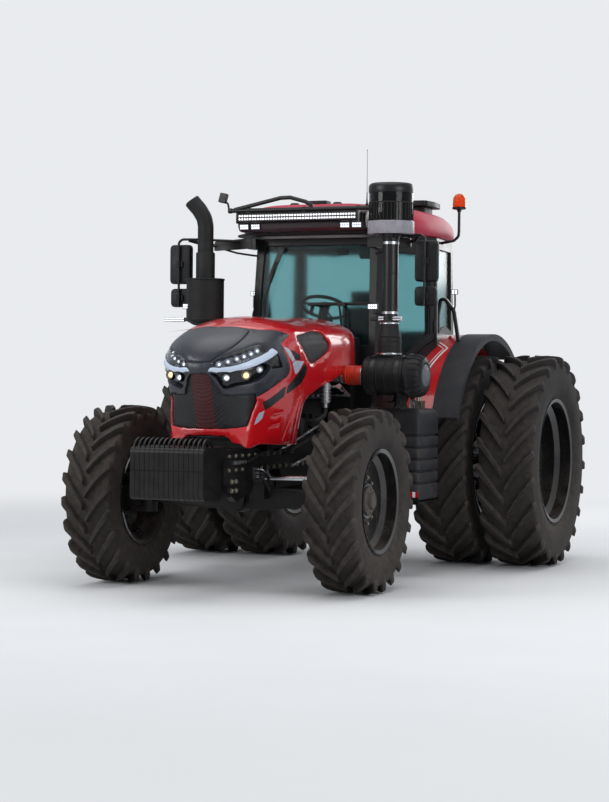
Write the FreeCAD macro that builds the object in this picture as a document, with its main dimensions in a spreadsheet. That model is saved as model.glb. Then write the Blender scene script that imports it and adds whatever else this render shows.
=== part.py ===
# Farm tractor with twin rear wheels, in millimetres.
# +Z is up, +X is the tractor's left, -Y is forward. The origin is on the ground under the middle.
import FreeCAD, Part

import math
import os
import re

import Sketcher

V = FreeCAD.Vector
doc = FreeCAD.newDocument("FarmTractor")
sheet = doc.addObject("Spreadsheet::Sheet", "Sizes")

# Driving sizes: alias, value, what it measures
SIZES = (
    ("axle_y", 1615, "rear axle behind the origin"),
    ("wheelbase", 3050, "front axle to rear axle"),
    ("seat_gap", 0.3, "gap where two bodies seat on each other"),
    ("fit", 0.05, "radial clearance of a running shaft"),
    # wheels
    ("front_radius", 737, "front tyre, out to its lugs"),
    ("front_width", 430, "front tyre"),
    ("front_bead", 400, "front tyre's inside radius"),
    ("front_track", 2090, "between the middles of the front tyres"),
    ("front_lugs", 22, "lugs on each side of a front tyre"),
    ("rear_radius", 967, "rear tyre, out to its lugs"),
    ("rear_width", 530, "rear tyre"),
    ("rear_bead", 552, "rear tyre's inside radius"),
    ("outer_track", 3200, "between the middles of the outer rear tyres"),
    ("inner_track", 1960, "between the middles of the inner rear tyres"),
    ("rear_lugs", 24, "lugs on each side of a rear tyre"),
    ("lug_height", 48, "tread lug"),
    ("lug_width", 62, "tread lug, along the tread"),
    ("lug_lead", 1.25, "how far a lug leans forward for each unit across"),
    ("rim_wall", 14, "rim barrel and disc"),
    ("rim_flange", 18, "rim flange above the bead seat"),
    ("flange_lean", 7, "rim flange, leaning out with the tyre's side"),
    ("rim_well", 45, "depth of the rim's drop centre"),
    ("disc_inset", 130, "front wheel disc behind the rim's edge"),
    ("front_hub_radius", 140, "front hub"),
    ("rear_hub_radius", 175, "rear hub"),
    ("bar_radius", 55, "rear bar axle"),
    ("bar_reach", 250, "bar axle inside its tube"),
    ("bar_stub", 70, "bar axle's end outside the outer disc"),
    ("inner_disc", 60, "inner rear wheel's disc outside the tyre's middle"),
    ("outer_disc", -45, "outer rear wheel's disc, set deep in its rim"),
    ("hub_face", 26, "hub in front of its disc"),
    ("hub_length", 180, "rear hub"),
    ("knuckle_face", 128, "knuckle plate's outer face from the kingpin"),
    ("knuckle_plate", 45, "knuckle plate"),
    ("spindle_end", 6, "spindle's end behind its cap"),
    ("steer_arm_width", 70, "steering arm"),
    ("tow_bore", 21, "front tow pin's bore"),
    # front axle
    ("kingpin_x", 815, "kingpin from the middle"),
    ("kingpin_radius", 28, "kingpin"),
    ("kingpin_boss", 68, "boss round the kingpin"),
    ("boss_height", 210, "kingpin boss"),
    ("beam_height", 190, "front axle beam at the middle"),
    ("beam_depth", 180, "front axle beam, along the tractor"),
    ("arm_thick", 40, "knuckle arms"),
    ("spindle_radius", 62, "front spindle"),
    ("steer_arm", 205, "kingpin to steering eye"),
    ("steer_rod_radius", 20, "steering cylinder's rod"),
    ("steer_barrel_radius", 48, "steering cylinder's barrel"),
    ("steer_barrel_length", 620, "steering cylinder's barrel"),
    ("pivot_radius", 45, "front axle's pivot pin"),
    ("casing_radius", 125, "front axle's drive casing"),
    ("casing_half", 100, "half the front axle's drive casing, along the tractor"),
    ("hanger_gap", 6, "drive casing to the pivot hangers"),
    ("hanger_thick", 40, "pivot hangers of the front frame"),
    # front frame
    ("frame_width", 560, "front support frame"),
    ("frame_bottom", 800, "underside of the front frame's rails"),
    ("frame_top", 1150, "top of the front frame's rails"),
    ("saddle_rise", 228, "rails' arch over the front axle, above its middle"),
    ("frame_wall", 55, "front frame's rails"),
    ("frame_nose", 860, "front frame's front end ahead of the front axle"),
    ("frame_tail", 760, "front frame's rear end behind the front axle"),
    ("carrier_length", 160, "weight carrier"),
    ("weight_count", 15, "suitcase weights"),
    ("weight_pitch", 41, "from weight to weight"),
    ("weight_thick", 38, "one weight"),
    ("weight_bottom", 778, "underside of the weights"),
    ("weight_height", 400, "one weight, without its handle"),
    ("weight_length", 430, "one weight, front to back"),
    ("weight_round", 45, "corner radius of a weight"),
    ("handle_thick", 14, "weight's handle"),
    # bonnet
    ("bonnet_wall", 12, "bonnet's sheet with its frame"),
    ("bonnet_half_rear", 480, "half width at the bonnet's rear edge"),
    ("bonnet_half_front", 490, "half width at the headlamps' outer ends"),
    ("bonnet_rear_y", 1665, "bonnet's rear edge ahead of the rear axle"),
    ("bonnet_top_rear", 2236, "bonnet's top at its rear edge"),
    ("bonnet_top_front", 2175, "bonnet's top over the headlamps"),
    ("nose_reach", 800, "nose's tip ahead of the front axle"),
    ("corner_reach", 350, "headlamps' outer ends ahead of the front axle"),
    ("nose_top_z", 2030, "top of the nose panel"),
    ("lamp_top", 1985, "top of the headlamps"),
    ("lamp_mid", 1835, "chrome strip at the nose's widest"),
    ("pod_bottom", 1585, "underside of the lamp pods"),
    ("grille_bottom", 1310, "underside of the grille"),
    ("grille_pitch", 34, "from one grille bar to the next"),
    ("wing_bottom", 1185, "underside of the bonnet's side wings"),
    ("wing_back", 140, "rear of the wings' underside behind the front axle"),
    ("side_bottom_front", 1530, "bonnet's lower edge behind the wings"),
    ("side_bottom_rear", 1711, "bonnet's lower edge at its rear"),
    # engine and transmission
    ("block_width", 430, "engine block"),
    ("head_half", 183, "half the cylinder head's width"),
    ("engine_back", 70, "engine's front face behind the front axle"),
    ("engine_length", 1180, "engine block"),
    ("engine_bottom", 1000, "engine block's underside"),
    ("engine_top", 1830, "engine's rocker cover"),
    ("sump_depth", 200, "sump below the block"),
    ("cooler_reach", 510, "cooling pack's front ahead of the front axle"),
    ("cooler_depth", 190, "cooling pack"),
    ("cooler_height", 620, "cooling pack"),
    ("gearbox_width", 460, "transmission housing"),
    ("gearbox_bottom", 640, "transmission's underside"),
    ("gearbox_top", 1230, "transmission's top"),
    ("rear_case_width", 620, "rear axle's centre case"),
    ("trumpet_radius", 150, "rear axle's tube"),
    ("trumpet_end", 665, "rear axle tube's end from the middle"),
    # boxes at the sides
    ("step_x", 760, "step box's inner face"),
    ("step_width", 375, "step box"),
    ("step_front", 1850, "step box's front ahead of the rear axle"),
    ("step_length", 520, "step box"),
    ("step_bottom", 670, "step box's underside"),
    ("step_top", 1455, "step box's top"),
    ("tread_count", 5, "steps cut in the step box"),
    ("tread_cut", 46, "depth of a step groove"),
    # stacks
    ("stack_x", 868, "intake and exhaust stacks from the middle"),
    ("stack_y", 1873, "stacks ahead of the rear axle"),
    ("intake_radius", 66, "intake pipe"),
    ("boot_radius", 100, "rubber boot under the intake pipe"),
    ("cleaner_radius", 190, "air cleaner"),
    ("cleaner_inner_x", 670, "air cleaner's inner end"),
    ("cleaner_outer_x", 1205, "air cleaner's outer end"),
    ("cleaner_z", 1735, "air cleaner's axis"),
    ("cleaner_y", 1905, "air cleaner's axis ahead of the rear axle"),
    ("boot_top", 2190, "top of the rubber boot"),
    ("hose_radius", 82, "intake hose"),
    ("pipe_top", 3000, "top of the intake pipe inside the pre-cleaner"),
    ("bowl_radius", 187, "pre-cleaner"),
    ("bowl_bottom", 2930, "pre-cleaner's underside"),
    ("bowl_top", 3345, "pre-cleaner's top"),
    ("muffler_radius", 166, "muffler"),
    ("muffler_bottom", 2165, "muffler's underside"),
    ("muffler_top", 2575, "muffler's top"),
    ("exhaust_radius", 62, "exhaust pipe"),
    ("exhaust_bend", 3090, "where the exhaust pipe turns out"),
    ("exhaust_tip", 3270, "exhaust pipe's tip"),
    # cab
    ("cab_floor", 1440, "cab's floor"),
    ("cab_roof", 2985, "top of the cab's frame"),
    ("cab_wall", 55, "cab's posts and doors"),
    ("post_width", 75, "cab's posts"),
    ("glass_thick", 8, "cab's glass"),
    ("front_post_x", 600, "front posts at the floor"),
    ("front_post_y", 1550, "front posts at the floor, ahead of the rear axle"),
    ("front_post_top_x", 572, "front posts at the roof"),
    ("front_post_top_y", 1390, "front posts at the roof, ahead of the rear axle"),
    ("middle_post_x", 875, "middle posts"),
    ("middle_post_y", 620, "middle posts ahead of the rear axle"),
    ("rear_post_x", 800, "rear posts"),
    ("rear_post_y", 120, "rear posts behind the rear axle"),
    ("cowl_top", 1990, "sill under the windscreen"),
    ("door_gap", 6, "gap round a door"),
    # roof
    ("roof_top", 3262, "roof's top"),
    ("roof_front", 1690, "roof's front ahead of the rear axle"),
    ("roof_rear", 330, "roof's rear behind the rear axle"),
    ("roof_half_front", 560, "half the roof's width at its front"),
    ("roof_half_rear", 860, "half the roof's width at its widest"),
    ("visor_front", 1780, "visor's front ahead of the rear axle"),
    ("bar_half", 545, "half the light bar"),
    ("bar_height", 62, "light bar"),
    ("rail_radius", 15, "roof rail's tube"),
    ("rail_half", 655, "half the roof rail"),
    ("rail_z", 3170, "roof rail"),
    ("rail_y", 1850, "roof rail ahead of the rear axle"),
    ("beacon_x", 1005, "beacon from the middle"),
    ("beacon_y", 420, "beacon ahead of the rear axle"),
    ("beacon_base", 3200, "beacon's foot"),
    ("beacon_radius", 62, "beacon's dome"),
    ("antenna_tip", 3677, "antenna's tip"),
    # mirrors
    ("mirror_x", 1155, "mirrors from the middle"),
    ("mirror_y", 1740, "mirrors ahead of the rear axle"),
    ("mirror_width", 205, "upper mirror"),
    ("mirror_height", 350, "upper mirror"),
    ("mirror_z", 2535, "upper mirror's underside"),
    ("mirror_depth", 60, "mirror shell"),
    # fenders
    ("fender_y", 100, "fender arc's middle ahead of the rear axle"),
    ("fender_z", 950, "fender arc's middle"),
    ("fender_radius", 1170, "fender's outer skin"),
    ("fender_wall", 30, "fender's skin"),
    ("fender_start", 25, "fender's front end, degrees above level"),
    ("fender_end", 124, "fender's rear end, degrees from the front level"),
    ("fender_inner_x", 640, "fender's inner edge"),
    ("fender_seam_x", 1015, "seam between panel and flare"),
    ("fender_outer_x", 1255, "flare's outer edge"),
    ("flare_drop", 55, "flare's lip"),
    # hitch
    ("link_spread", 470, "lower links' eyes from the middle"),
    ("link_eye_y", 1130, "lower links' eyes behind the rear axle"),
    ("link_front_y", 350, "lower links' front pins behind the rear axle"),
    ("link_z", 560, "lower links"),
    ("hinge_radius", 13, "door hinges"),
    ("hinge_pin", 6, "door hinges' pins"),
    ("hinge_height", 60, "door hinges"),
    ("hinge_lug", 20, "one lug of a hinge"),
    ("hinge_room", 5, "room round a hinge"),
    ("hinge_x", 858, "door hinges from the middle"),
    ("door_hinge_low", 2180, "lower door hinges"),
    ("door_hinge_high", 2780, "upper door hinges"),
    ("bonnet_hinge_x", 300, "bonnet hinges from the middle"),
    ("bonnet_hinge_z", 2150, "bonnet hinges"),
    ("bonnet_hinge_y", 1645, "bonnet hinges ahead of the rear axle"),
    ("pane_hinge_x", 400, "rear window hinges from the middle"),
    ("pane_hinge_radius", 9, "rear window hinges"),
    ("pane_pin", 4, "rear window hinges' pins"),
    ("link_thick", 40, "lower links"),
    ("lift_z", 1240, "lift arms' shaft"),
    ("lift_y", 370, "lift arms' shaft behind the rear axle"),
    ("lift_reach", 330, "lift arms' length"),
    ("drawbar_z", 430, "drawbar's underside"),
    ("drawbar_width", 90, "drawbar"),
    ("drawbar_thick", 45, "drawbar"),
    ("drawbar_tip", 900, "drawbar's tip behind the rear axle"),
    ("drawbar_bore", 17, "drawbar's pin bore"),
    ("pto_radius", 17.5, "power take-off shaft"),
    ("link_bore", 14.5, "lower links' eyes"),
    ("wheel_hand_radius", 205, "steering wheel"),
)

for row, (alias, number, note) in enumerate(SIZES, 1):
    sheet.set(f"A{row}", note)
    sheet.set(f"B{row}", str(number))
    sheet.setAlias(f"B{row}", alias)
doc.recompute()
ALIASES = {alias for alias, number, note in SIZES}


class Size:
    """Reads a size from the sheet by its alias. The places below lie ahead of the rear axle."""

    def __getattr__(self, alias):
        return float(sheet.get(alias))

    @property
    def nose_y(self):
        return self.wheelbase + self.nose_reach

    @property
    def nose_corner_y(self):
        return self.wheelbase + self.corner_reach

    @property
    def wing_rear_y(self):
        return self.wheelbase - self.wing_back

    @property
    def engine_front(self):
        return self.wheelbase - self.engine_back

    @property
    def engine_rear(self):
        return self.engine_front - self.engine_length


size = Size()
NODES = []


def bound(text):
    """An expression in which each alias names its cell."""
    return re.sub(r"[A-Za-z_]+", lambda word: "Sizes." + word.group() if word.group() in ALIASES else word.group(), str(text))


def value(text):
    """The number that an expression gives now."""
    return float(sheet.evalExpression(bound(text)))


def ahead(distance):
    """Y of a place that lies so far ahead of the rear axle."""
    return size.axle_y - distance


ALONG = {
    "x": FreeCAD.Rotation(V(0, 1, 0), 90),
    "y": FreeCAD.Rotation(V(1, 0, 0), -90),
    "z": FreeCAD.Rotation(),
}


def place(item, where, turn=ALONG["z"]):
    item.Placement = FreeCAD.Placement(V(), turn)
    for letter, text in zip("xyz", where):
        item.setExpression(f"Placement.Base.{letter}", bound(text))
    return item


def block(name, sides, where):
    item = doc.addObject("Part::Box", name)
    for side, text in zip(("Length", "Width", "Height"), sides):
        item.setExpression(side, bound(text))
    return place(item, where)


def rod(name, radius, length, where, along="z"):
    item = doc.addObject("Part::Cylinder", name)
    item.setExpression("Radius", bound(radius))
    item.setExpression("Height", bound(length))
    return place(item, where, ALONG[along])


def cone(name, radius, end_radius, length, where, along="z"):
    item = doc.addObject("Part::Cone", name)
    item.setExpression("Radius1", bound(radius))
    item.setExpression("Radius2", bound(end_radius))
    item.setExpression("Height", bound(length))
    return place(item, where, ALONG[along])


def fused(name, *items):
    item = doc.addObject("Part::MultiFuse", name)
    item.Shapes = list(items)
    return item


def cut(name, base, *tools):
    item = doc.addObject("Part::Cut", name)
    item.Base = base
    item.Tool = tools[0] if len(tools) == 1 else fused(name + "Tools", *tools)
    return item


def both_sides(name, item):
    """The item and its mirror image, as two solids of one object."""
    other = mirrored(name + "Right", item)
    pair = doc.addObject("Part::Compound", name)
    pair.Links = [item, other]
    return pair


def mirrored(name, item):
    other = doc.addObject("Part::Mirroring", name)
    other.Source = item
    other.Normal = V(1, 0, 0)
    return other


def shaped(name, shape):
    item = doc.addObject("Part::Feature", name)
    item.Shape = shape
    return item


def node(item, label):
    item.Label = label
    NODES.append(item)
    return item


def plane_of(body, role):
    return next(item for item in body.Origin.OriginFeatures if item.Role == role)


def outline(body, role, corners):
    """A closed sketch of straight lines, each corner held by its distances from the origin."""
    sketch = body.newObject("Sketcher::SketchObject", body.Name + "Outline")
    sketch.AttachmentSupport = [(plane_of(body, role), "")]
    sketch.MapMode = "FlatFace"
    points = [V(value(across), value(up), 0) for across, up in corners]
    count = len(points)
    for index in range(count):
        sketch.addGeometry(Part.LineSegment(points[index], points[(index + 1) % count]), False)
    for index in range(count):
        sketch.addConstraint(Sketcher.Constraint("Coincident", index, 2, (index + 1) % count, 1))
    for index, (across, up) in enumerate(corners):
        for kind, axis, text, number in (("DistanceX", -2, across, points[index].x), ("DistanceY", -1, up, points[index].y)):
            if number == 0:
                sketch.addConstraint(Sketcher.Constraint("PointOnObject", index, 1, axis))
                continue
            held = sketch.addConstraint(Sketcher.Constraint(kind, -1, 1, index, 1, number))
            sketch.setExpression(f"Constraints[{held}]", bound(text))
    return sketch


def turned(name, corners, where, axis="H_Axis", role="XY_Plane"):
    """A body turned about an axis of its outline."""
    body = doc.addObject("PartDesign::Body", name)
    sketch = outline(body, role, corners)
    spin = body.newObject("PartDesign::Revolution", name + "Spin")
    spin.Profile = sketch
    spin.ReferenceAxis = (sketch, [axis])
    spin.Angle = 360
    return place(body, where)


def face_of(points):
    return Part.Face(Part.makePolygon(points + [points[0]]))


def prism_x(name, outline_yz, low, high):
    """A prism along X from an outline of (distance ahead of the rear axle, height)."""
    face = face_of([V(low, ahead(front), up) for front, up in outline_yz])
    return face.extrude(V(high - low, 0, 0))


def prism_y(outline_xz, low, high):
    """A prism along Y from an outline of (x, height)."""
    face = face_of([V(across, low, up) for across, up in outline_xz])
    return face.extrude(V(0, high - low, 0))


def tube(points, radius, bend, inner=0):
    """A tube along straight runs joined by arcs of the bend's radius."""
    edges = []
    start = points[0]
    for before, corner, after in zip(points, points[1:], points[2:]):
        into = (corner - before).normalize()
        out = (after - corner).normalize()
        turn = into.getAngle(out)
        back = bend * math.tan(turn / 2)
        enter = corner - into * back
        leave = corner + out * back
        half = (out - into).normalize()
        middle = corner + half * (bend / math.cos(turn / 2) - bend)
        edges.append(Part.LineSegment(start, enter).toShape())
        edges.append(Part.Arc(enter, middle, leave).toShape())
        start = leave
    edges.append(Part.LineSegment(start, points[-1]).toShape())
    path = Part.Wire(edges)
    first = (points[1] - points[0]).normalize()
    ring = Part.Wire([Part.Circle(points[0], first, radius).toShape()])
    solid = path.makePipeShell([ring], True, False)
    if inner:
        hole = Part.Wire([Part.Circle(points[0], first, inner).toShape()])
        solid = solid.cut(path.makePipeShell([hole], True, False))
    return solid


def one_solid(shape):
    """The shape's own solid, out of any compound round it."""
    return shape.Solids[0] if len(shape.Solids) == 1 else shape


def hinge(centre, axis, radius, pin, length, lug):
    """A hinge's shapes: the leaf's bored knuckle, the room it needs, the two lugs with their pin, the room they need."""
    half = length / 2
    gap = size.seat_gap

    def roller(width, low, high):
        return Part.makeCylinder(width, high - low, centre + axis * low, axis)

    knuckle = roller(radius, -half, half).cut(roller(pin + size.fit, -half - 1, half + 1))
    knuckle_room = roller(radius + size.hinge_room, -half - gap, half + gap)
    pin_length = half + gap + lug
    lugs = Part.makeCompound([roller(radius, -pin_length, -half - gap), roller(radius, half + gap, pin_length)])
    lugs = lugs.fuse(roller(pin, 2 - pin_length, pin_length - 2))
    lug_room = Part.makeCompound([
        roller(radius + size.hinge_room, -pin_length - 5, -half), roller(radius + size.hinge_room, half, pin_length + 5),
    ])
    return knuckle, knuckle_room, lugs, lug_room


# Tyres: rings of points round the axle, joined by strips of triangles

CROWN_DROP = 0.25
SHOULDER_DROP = 1.7
SIDE_SHARE = 0.5
BEAD_SHARE = 0.385


def strip(first, second, faces):
    """Triangles between two closed rings of (angle, point) that run the same way."""
    first = sorted(first, key=lambda item: item[0] % (2 * math.pi))
    second = sorted(second, key=lambda item: item[0] % (2 * math.pi))
    turn = 2 * math.pi
    one = [(angle % turn, point) for angle, point in first]
    two = [(angle % turn, point) for angle, point in second]
    one.append((one[0][0] + turn, one[0][1]))
    two.append((two[0][0] + turn, two[0][1]))
    left, right = 0, 0
    while left < len(one) - 1 or right < len(two) - 1:
        step_left = right == len(two) - 1 or (left < len(one) - 1 and one[left + 1][0] < two[right + 1][0])
        if step_left:
            faces.append(face_of([one[left][1], one[left + 1][1], two[right][1]]))
            left += 1
        else:
            faces.append(face_of([one[left][1], two[right + 1][1], two[right][1]]))
            right += 1


def tyre(outer, width, bead, lugs):
    """One closed tyre about the X axis, its lugs standing on the carcass."""
    pitch = 2 * math.pi / lugs
    half = width / 2
    nose_x = half * 0.06
    shoulder_x = half * 0.97
    top_x = half * 0.93
    crown = outer - size.lug_height
    shoulder = outer - size.lug_height * SHOULDER_DROP
    top_shoulder = outer - size.lug_height * CROWN_DROP
    lean = size.lug_lead * (shoulder_x - nose_x) / outer
    foot = size.lug_width * 1.25 / outer
    top = size.lug_width / outer
    inset = (foot - top) / 2

    def point(across, radius, angle):
        return V(across, radius * math.cos(angle), radius * math.sin(angle))

    faces = []
    noses = {}
    beads = {}
    for side in (1, -1):
        phase = 0 if side > 0 else pitch / 2
        nose_ring, shoulder_ring = [], []
        for index in range(lugs):
            angle = phase + index * pitch
            before = angle - pitch
            lead_nose, trail_nose = angle, angle - foot
            lead_end, trail_end = angle - lean, angle - lean - foot
            base = [
                point(side * nose_x, crown, lead_nose),
                point(side * nose_x, crown, trail_nose),
                point(side * shoulder_x, shoulder, trail_end),
                point(side * shoulder_x, shoulder, lead_end),
            ]
            upper = [
                point(side * nose_x * 1.5, outer, lead_nose - inset),
                point(side * nose_x * 1.5, outer, trail_nose + inset),
                point(side * top_x, top_shoulder, trail_end + inset),
                point(side * top_x, top_shoulder, lead_end - inset),
            ]
            for one, two, three, four in (
                upper,
                (base[0], upper[0], upper[3], base[3]),
                (base[1], base[2], upper[2], upper[1]),
                (base[0], base[1], upper[1], upper[0]),
                (base[3], upper[3], upper[2], base[2]),
            ):
                faces.append(face_of([one, two, three]))
                faces.append(face_of([one, three, four]))
            next_nose = point(side * nose_x, crown, before)
            next_end = point(side * shoulder_x, shoulder, before - lean)
            faces.append(face_of([base[1], next_nose, next_end]))
            faces.append(face_of([base[1], next_end, base[2]]))
            nose_ring += [(lead_nose, base[0]), (trail_nose, base[1])]
            shoulder_ring += [(lead_end, base[3]), (trail_end, base[2])]
        noses[side] = nose_ring
        rows = ((SIDE_SHARE * width, (outer + bead) / 2), (BEAD_SHARE * width, bead / math.cos(pitch / 2)))
        ring = shoulder_ring
        for across, radius in rows:
            next_ring = [
                (index * pitch, point(side * across, radius, index * pitch)) for index in range(lugs)
            ]
            strip(ring, next_ring, faces)
            ring = next_ring
        beads[side] = ring
    strip(noses[1], noses[-1], faces)
    strip(beads[1], beads[-1], faces)
    shell = Part.makeShell(faces)
    shell.sewShape()
    solid = Part.makeSolid(shell)
    if solid.Volume < 0:
        solid.reverse()
    return solid


def make_tyres():
    front = tyre(size.front_radius, size.front_width, size.front_bead, int(size.front_lugs))
    rear = tyre(size.rear_radius, size.rear_width, size.rear_bead, int(size.rear_lugs))
    front.translate(V(size.front_track / 2, ahead(size.wheelbase), size.front_radius))
    left = node(shaped("FrontTyre", front), "front_tyre_left")
    node(mirrored("FrontTyreMirror", left), "front_tyre_right")
    twins = []
    for track in (size.inner_track, size.outer_track):
        one = rear.copy()
        one.translate(V(track / 2, size.axle_y, size.rear_radius))
        twins.append(one)
    left = node(shaped("RearTyres", Part.makeCompound(twins)), "rear_tyres_left")
    node(mirrored("RearTyresMirror", left), "rear_tyres_right")


# Rims: a barrel between two flanges, a disc and a hub, turned in one piece


def rim_outline(bead, width, disc, hub, core):
    """Corners of a rim's section, across the wheel and out from its axle. The core's corners close it at the axle."""
    edge = f"({BEAD_SHARE} * {width} + seat_gap)"
    seat = f"({bead} - seat_gap)"
    well = f"({bead} - rim_well)"
    return [
        (f"-{edge} - rim_wall - flange_lean", f"{bead} + rim_flange"),
        (f"-{edge} - flange_lean", f"{bead} + rim_flange"),
        (f"-{edge}", seat),
        (f"-{edge} * 0.6", seat),
        (f"-{edge} * 0.4", well),
        (f"{edge} * 0.4", well),
        (f"{edge} * 0.6", seat),
        (edge, seat),
        (f"{edge} + flange_lean", f"{bead} + rim_flange"),
        (f"{edge} + rim_wall + flange_lean", f"{bead} + rim_flange"),
        (f"{edge} + rim_wall", f"{seat} - rim_wall"),
        (f"{edge} * 0.6 - rim_wall / 2", f"{seat} - rim_wall"),
        (f"{edge} * 0.4 - rim_wall / 2", f"{well} - rim_wall"),
        (disc, f"{well} - rim_wall"),
        (f"{disc} - rim_wall", hub),
        *core,
        (f"{disc} - rim_wall * 3", hub),
        (f"{disc} - rim_wall * 2", f"{well} - rim_wall"),
        (f"-{edge} * 0.4 + rim_wall / 2", f"{well} - rim_wall"),
        (f"-{edge} * 0.6 + rim_wall / 2", f"{seat} - rim_wall"),
        (f"-{edge} - rim_wall", f"{seat} - rim_wall"),
    ]


FRONT_X = "front_track / 2"
FRONT_Y = "axle_y - wheelbase"
FRONT_Z = "front_radius"
REAR_Z = "rear_radius"


def make_rims():
    disc = f"({BEAD_SHARE} * front_width + rim_wall - disc_inset)"
    bore = "spindle_radius + fit"
    core = [
        (f"{disc} + hub_face", "front_hub_radius"),
        (f"{disc} + hub_face", "0"),
        (disc, "0"),
        (disc, bore),
        ("kingpin_x - front_track / 2 + knuckle_face + seat_gap", bore),
        ("kingpin_x - front_track / 2 + knuckle_face + seat_gap", "front_hub_radius"),
    ]
    corners = rim_outline("front_bead", "front_width", disc, "front_hub_radius", core)
    front = turned("FrontRim", corners, (FRONT_X, FRONT_Y, FRONT_Z))
    node(front, "front_rim_left")
    node(mirrored("FrontRimMirror", front), "front_rim_right")
    bar = rod("BarAxle", "bar_radius", "outer_track / 2 + outer_disc + bar_stub - trumpet_end + bar_reach", ("trumpet_end - bar_reach", "axle_y", REAR_Z), "x")
    rims = [bar]
    for name, track, disc in (("Inner", "inner_track", "inner_disc"), ("Outer", "outer_track", "outer_disc")):
        core = [
            (f"{disc} + hub_face", "rear_hub_radius"),
            (f"{disc} + hub_face", "0"),
            (f"{disc} - hub_length", "0"),
            (f"{disc} - hub_length", "rear_hub_radius"),
        ]
        corners = rim_outline("rear_bead", "rear_width", disc, "rear_hub_radius", core)
        rims.append(turned(f"{name}RearRim", corners, (f"{track} / 2", "axle_y", REAR_Z)))
    left = node(fused("RearRims", *rims), "rear_rims_left")
    node(mirrored("RearRimsMirror", left), "rear_rims_right")


def make_knuckles():
    """Each knuckle: a plate beside the kingpin boss, two arms with the kingpin, the spindle and the steering arm."""
    half_boss = "boss_height / 2"
    plate = block(
        "KnucklePlate",
        ("knuckle_plate", "kingpin_boss * 2", "boss_height + arm_thick * 2"),
        ("kingpin_x + knuckle_face - knuckle_plate", f"{FRONT_Y} - kingpin_boss", f"{FRONT_Z} - {half_boss} - arm_thick"),
    )
    spindle = rod(
        "Spindle", "spindle_radius", f"{BEAD_SHARE} * front_width + rim_wall - disc_inset + front_track / 2 - kingpin_x - knuckle_face - spindle_end",
        ("kingpin_x + knuckle_face - 1", FRONT_Y, FRONT_Z), "x",
    )
    pin = rod("Kingpin", "kingpin_radius", "boss_height + arm_thick * 2", ("kingpin_x", FRONT_Y, f"{FRONT_Z} - {half_boss} - arm_thick"))
    pieces = [plate, spindle, pin]
    for name, low in (("Lower", f"{FRONT_Z} - {half_boss} - arm_thick"), ("Upper", f"{FRONT_Z} + {half_boss} + seat_gap")):
        reach = ("knuckle_face", "kingpin_boss * 2", "arm_thick - seat_gap")
        pieces.append(block(f"{name}Arm", reach, ("kingpin_x", f"{FRONT_Y} - kingpin_boss", low)))
        pieces.append(rod(f"{name}ArmEnd", "kingpin_boss", "arm_thick - seat_gap", ("kingpin_x", FRONT_Y, low)))
    top = f"{FRONT_Z} + {half_boss} + seat_gap"
    pieces.append(block("SteerArm", ("steer_arm_width", "steer_arm", "arm_thick - seat_gap"), ("kingpin_x - steer_arm_width / 2", f"{FRONT_Y} - steer_arm", top)))
    pieces.append(rod("SteerEye", "steer_arm_width / 2", "arm_thick - seat_gap", ("kingpin_x", f"{FRONT_Y} - steer_arm", top)))
    left = node(fused("KnuckleLeft", *pieces), "knuckle_left")
    node(mirrored("KnuckleRight", left), "knuckle_right")


def make_front_axle():
    """A beam, deep in the middle, between two kingpin bosses, with the drive casing and its shaft."""
    half = size.beam_height / 2
    reach = size.kingpin_x - size.kingpin_boss * 0.8
    low = size.front_radius
    middle = half * 2.4
    corners = [
        (-reach, low - half * 0.6), (-middle, low - half), (middle, low - half), (reach, low - half * 0.6),
        (reach, low + half * 0.6), (middle, low + half * 0.9), (-middle, low + half * 0.9), (-reach, low + half * 0.6),
    ]
    y = ahead(size.wheelbase)
    beam = prism_y(corners, y - size.beam_depth / 2, y + size.beam_depth / 2)
    beam = beam.makeFillet(size.beam_depth * 0.12, [edge for edge in beam.Edges if abs(edge.tangentAt(edge.FirstParameter).y) < 0.1])
    casing = Part.makeCylinder(size.casing_radius, size.casing_half * 2, V(0, y - size.casing_half, low), V(0, 1, 0))
    shape = beam.fuse(casing)
    for side in (1, -1):
        spot = V(side * size.kingpin_x, y, low - size.boss_height / 2)
        boss = Part.makeCylinder(size.kingpin_boss, size.boss_height, spot)
        shape = shape.fuse(boss)
    for side in (1, -1):
        spot = V(side * size.kingpin_x, y, low - size.boss_height)
        shape = shape.cut(Part.makeCylinder(size.kingpin_radius + size.fit, size.boss_height * 2, spot))
    rod_y = y - size.steer_arm
    rod_z = low + size.boss_height / 2 + size.arm_thick + size.steer_barrel_radius * 0.6
    barrel = Part.makeCylinder(size.steer_barrel_radius, size.steer_barrel_length, V(-size.steer_barrel_length / 2, rod_y, rod_z), V(1, 0, 0))
    saddle_length = size.steer_barrel_length * 0.2
    for x in (-size.steer_barrel_length / 2, size.steer_barrel_length / 2 - saddle_length):
        saddle = Part.makeBox(saddle_length, size.steer_arm, rod_z - low, V(x, rod_y, low))
        shape = shape.fuse(saddle)
    shape = shape.fuse(barrel)
    bore = Part.makeCylinder(size.steer_rod_radius + size.fit, size.steer_barrel_length * 2, V(-size.steer_barrel_length, rod_y, rod_z), V(1, 0, 0))
    shape = shape.cut(bore)
    reach = size.casing_half + size.hanger_gap + size.hanger_thick + 9
    pivot = Part.makeCylinder(size.pivot_radius, reach * 2, V(0, y - reach, low), V(0, 1, 0))
    node(shaped("FrontAxle", one_solid(shape.fuse(pivot))), "front_axle")
    eye = size.steer_arm_width / 2
    reach = size.kingpin_x
    shape = Part.makeCylinder(size.steer_rod_radius, 2 * reach, V(-reach, rod_y, rod_z), V(1, 0, 0))
    floor = low + size.boss_height / 2 + size.arm_thick + size.seat_gap
    for side in (1, -1):
        head = Part.makeCylinder(eye, rod_z - floor + size.steer_rod_radius * 1.5, V(side * reach, rod_y, floor))
        shape = shape.fuse(head)
    node(shaped("SteeringRod", one_solid(shape)), "steering_rod")


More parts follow.
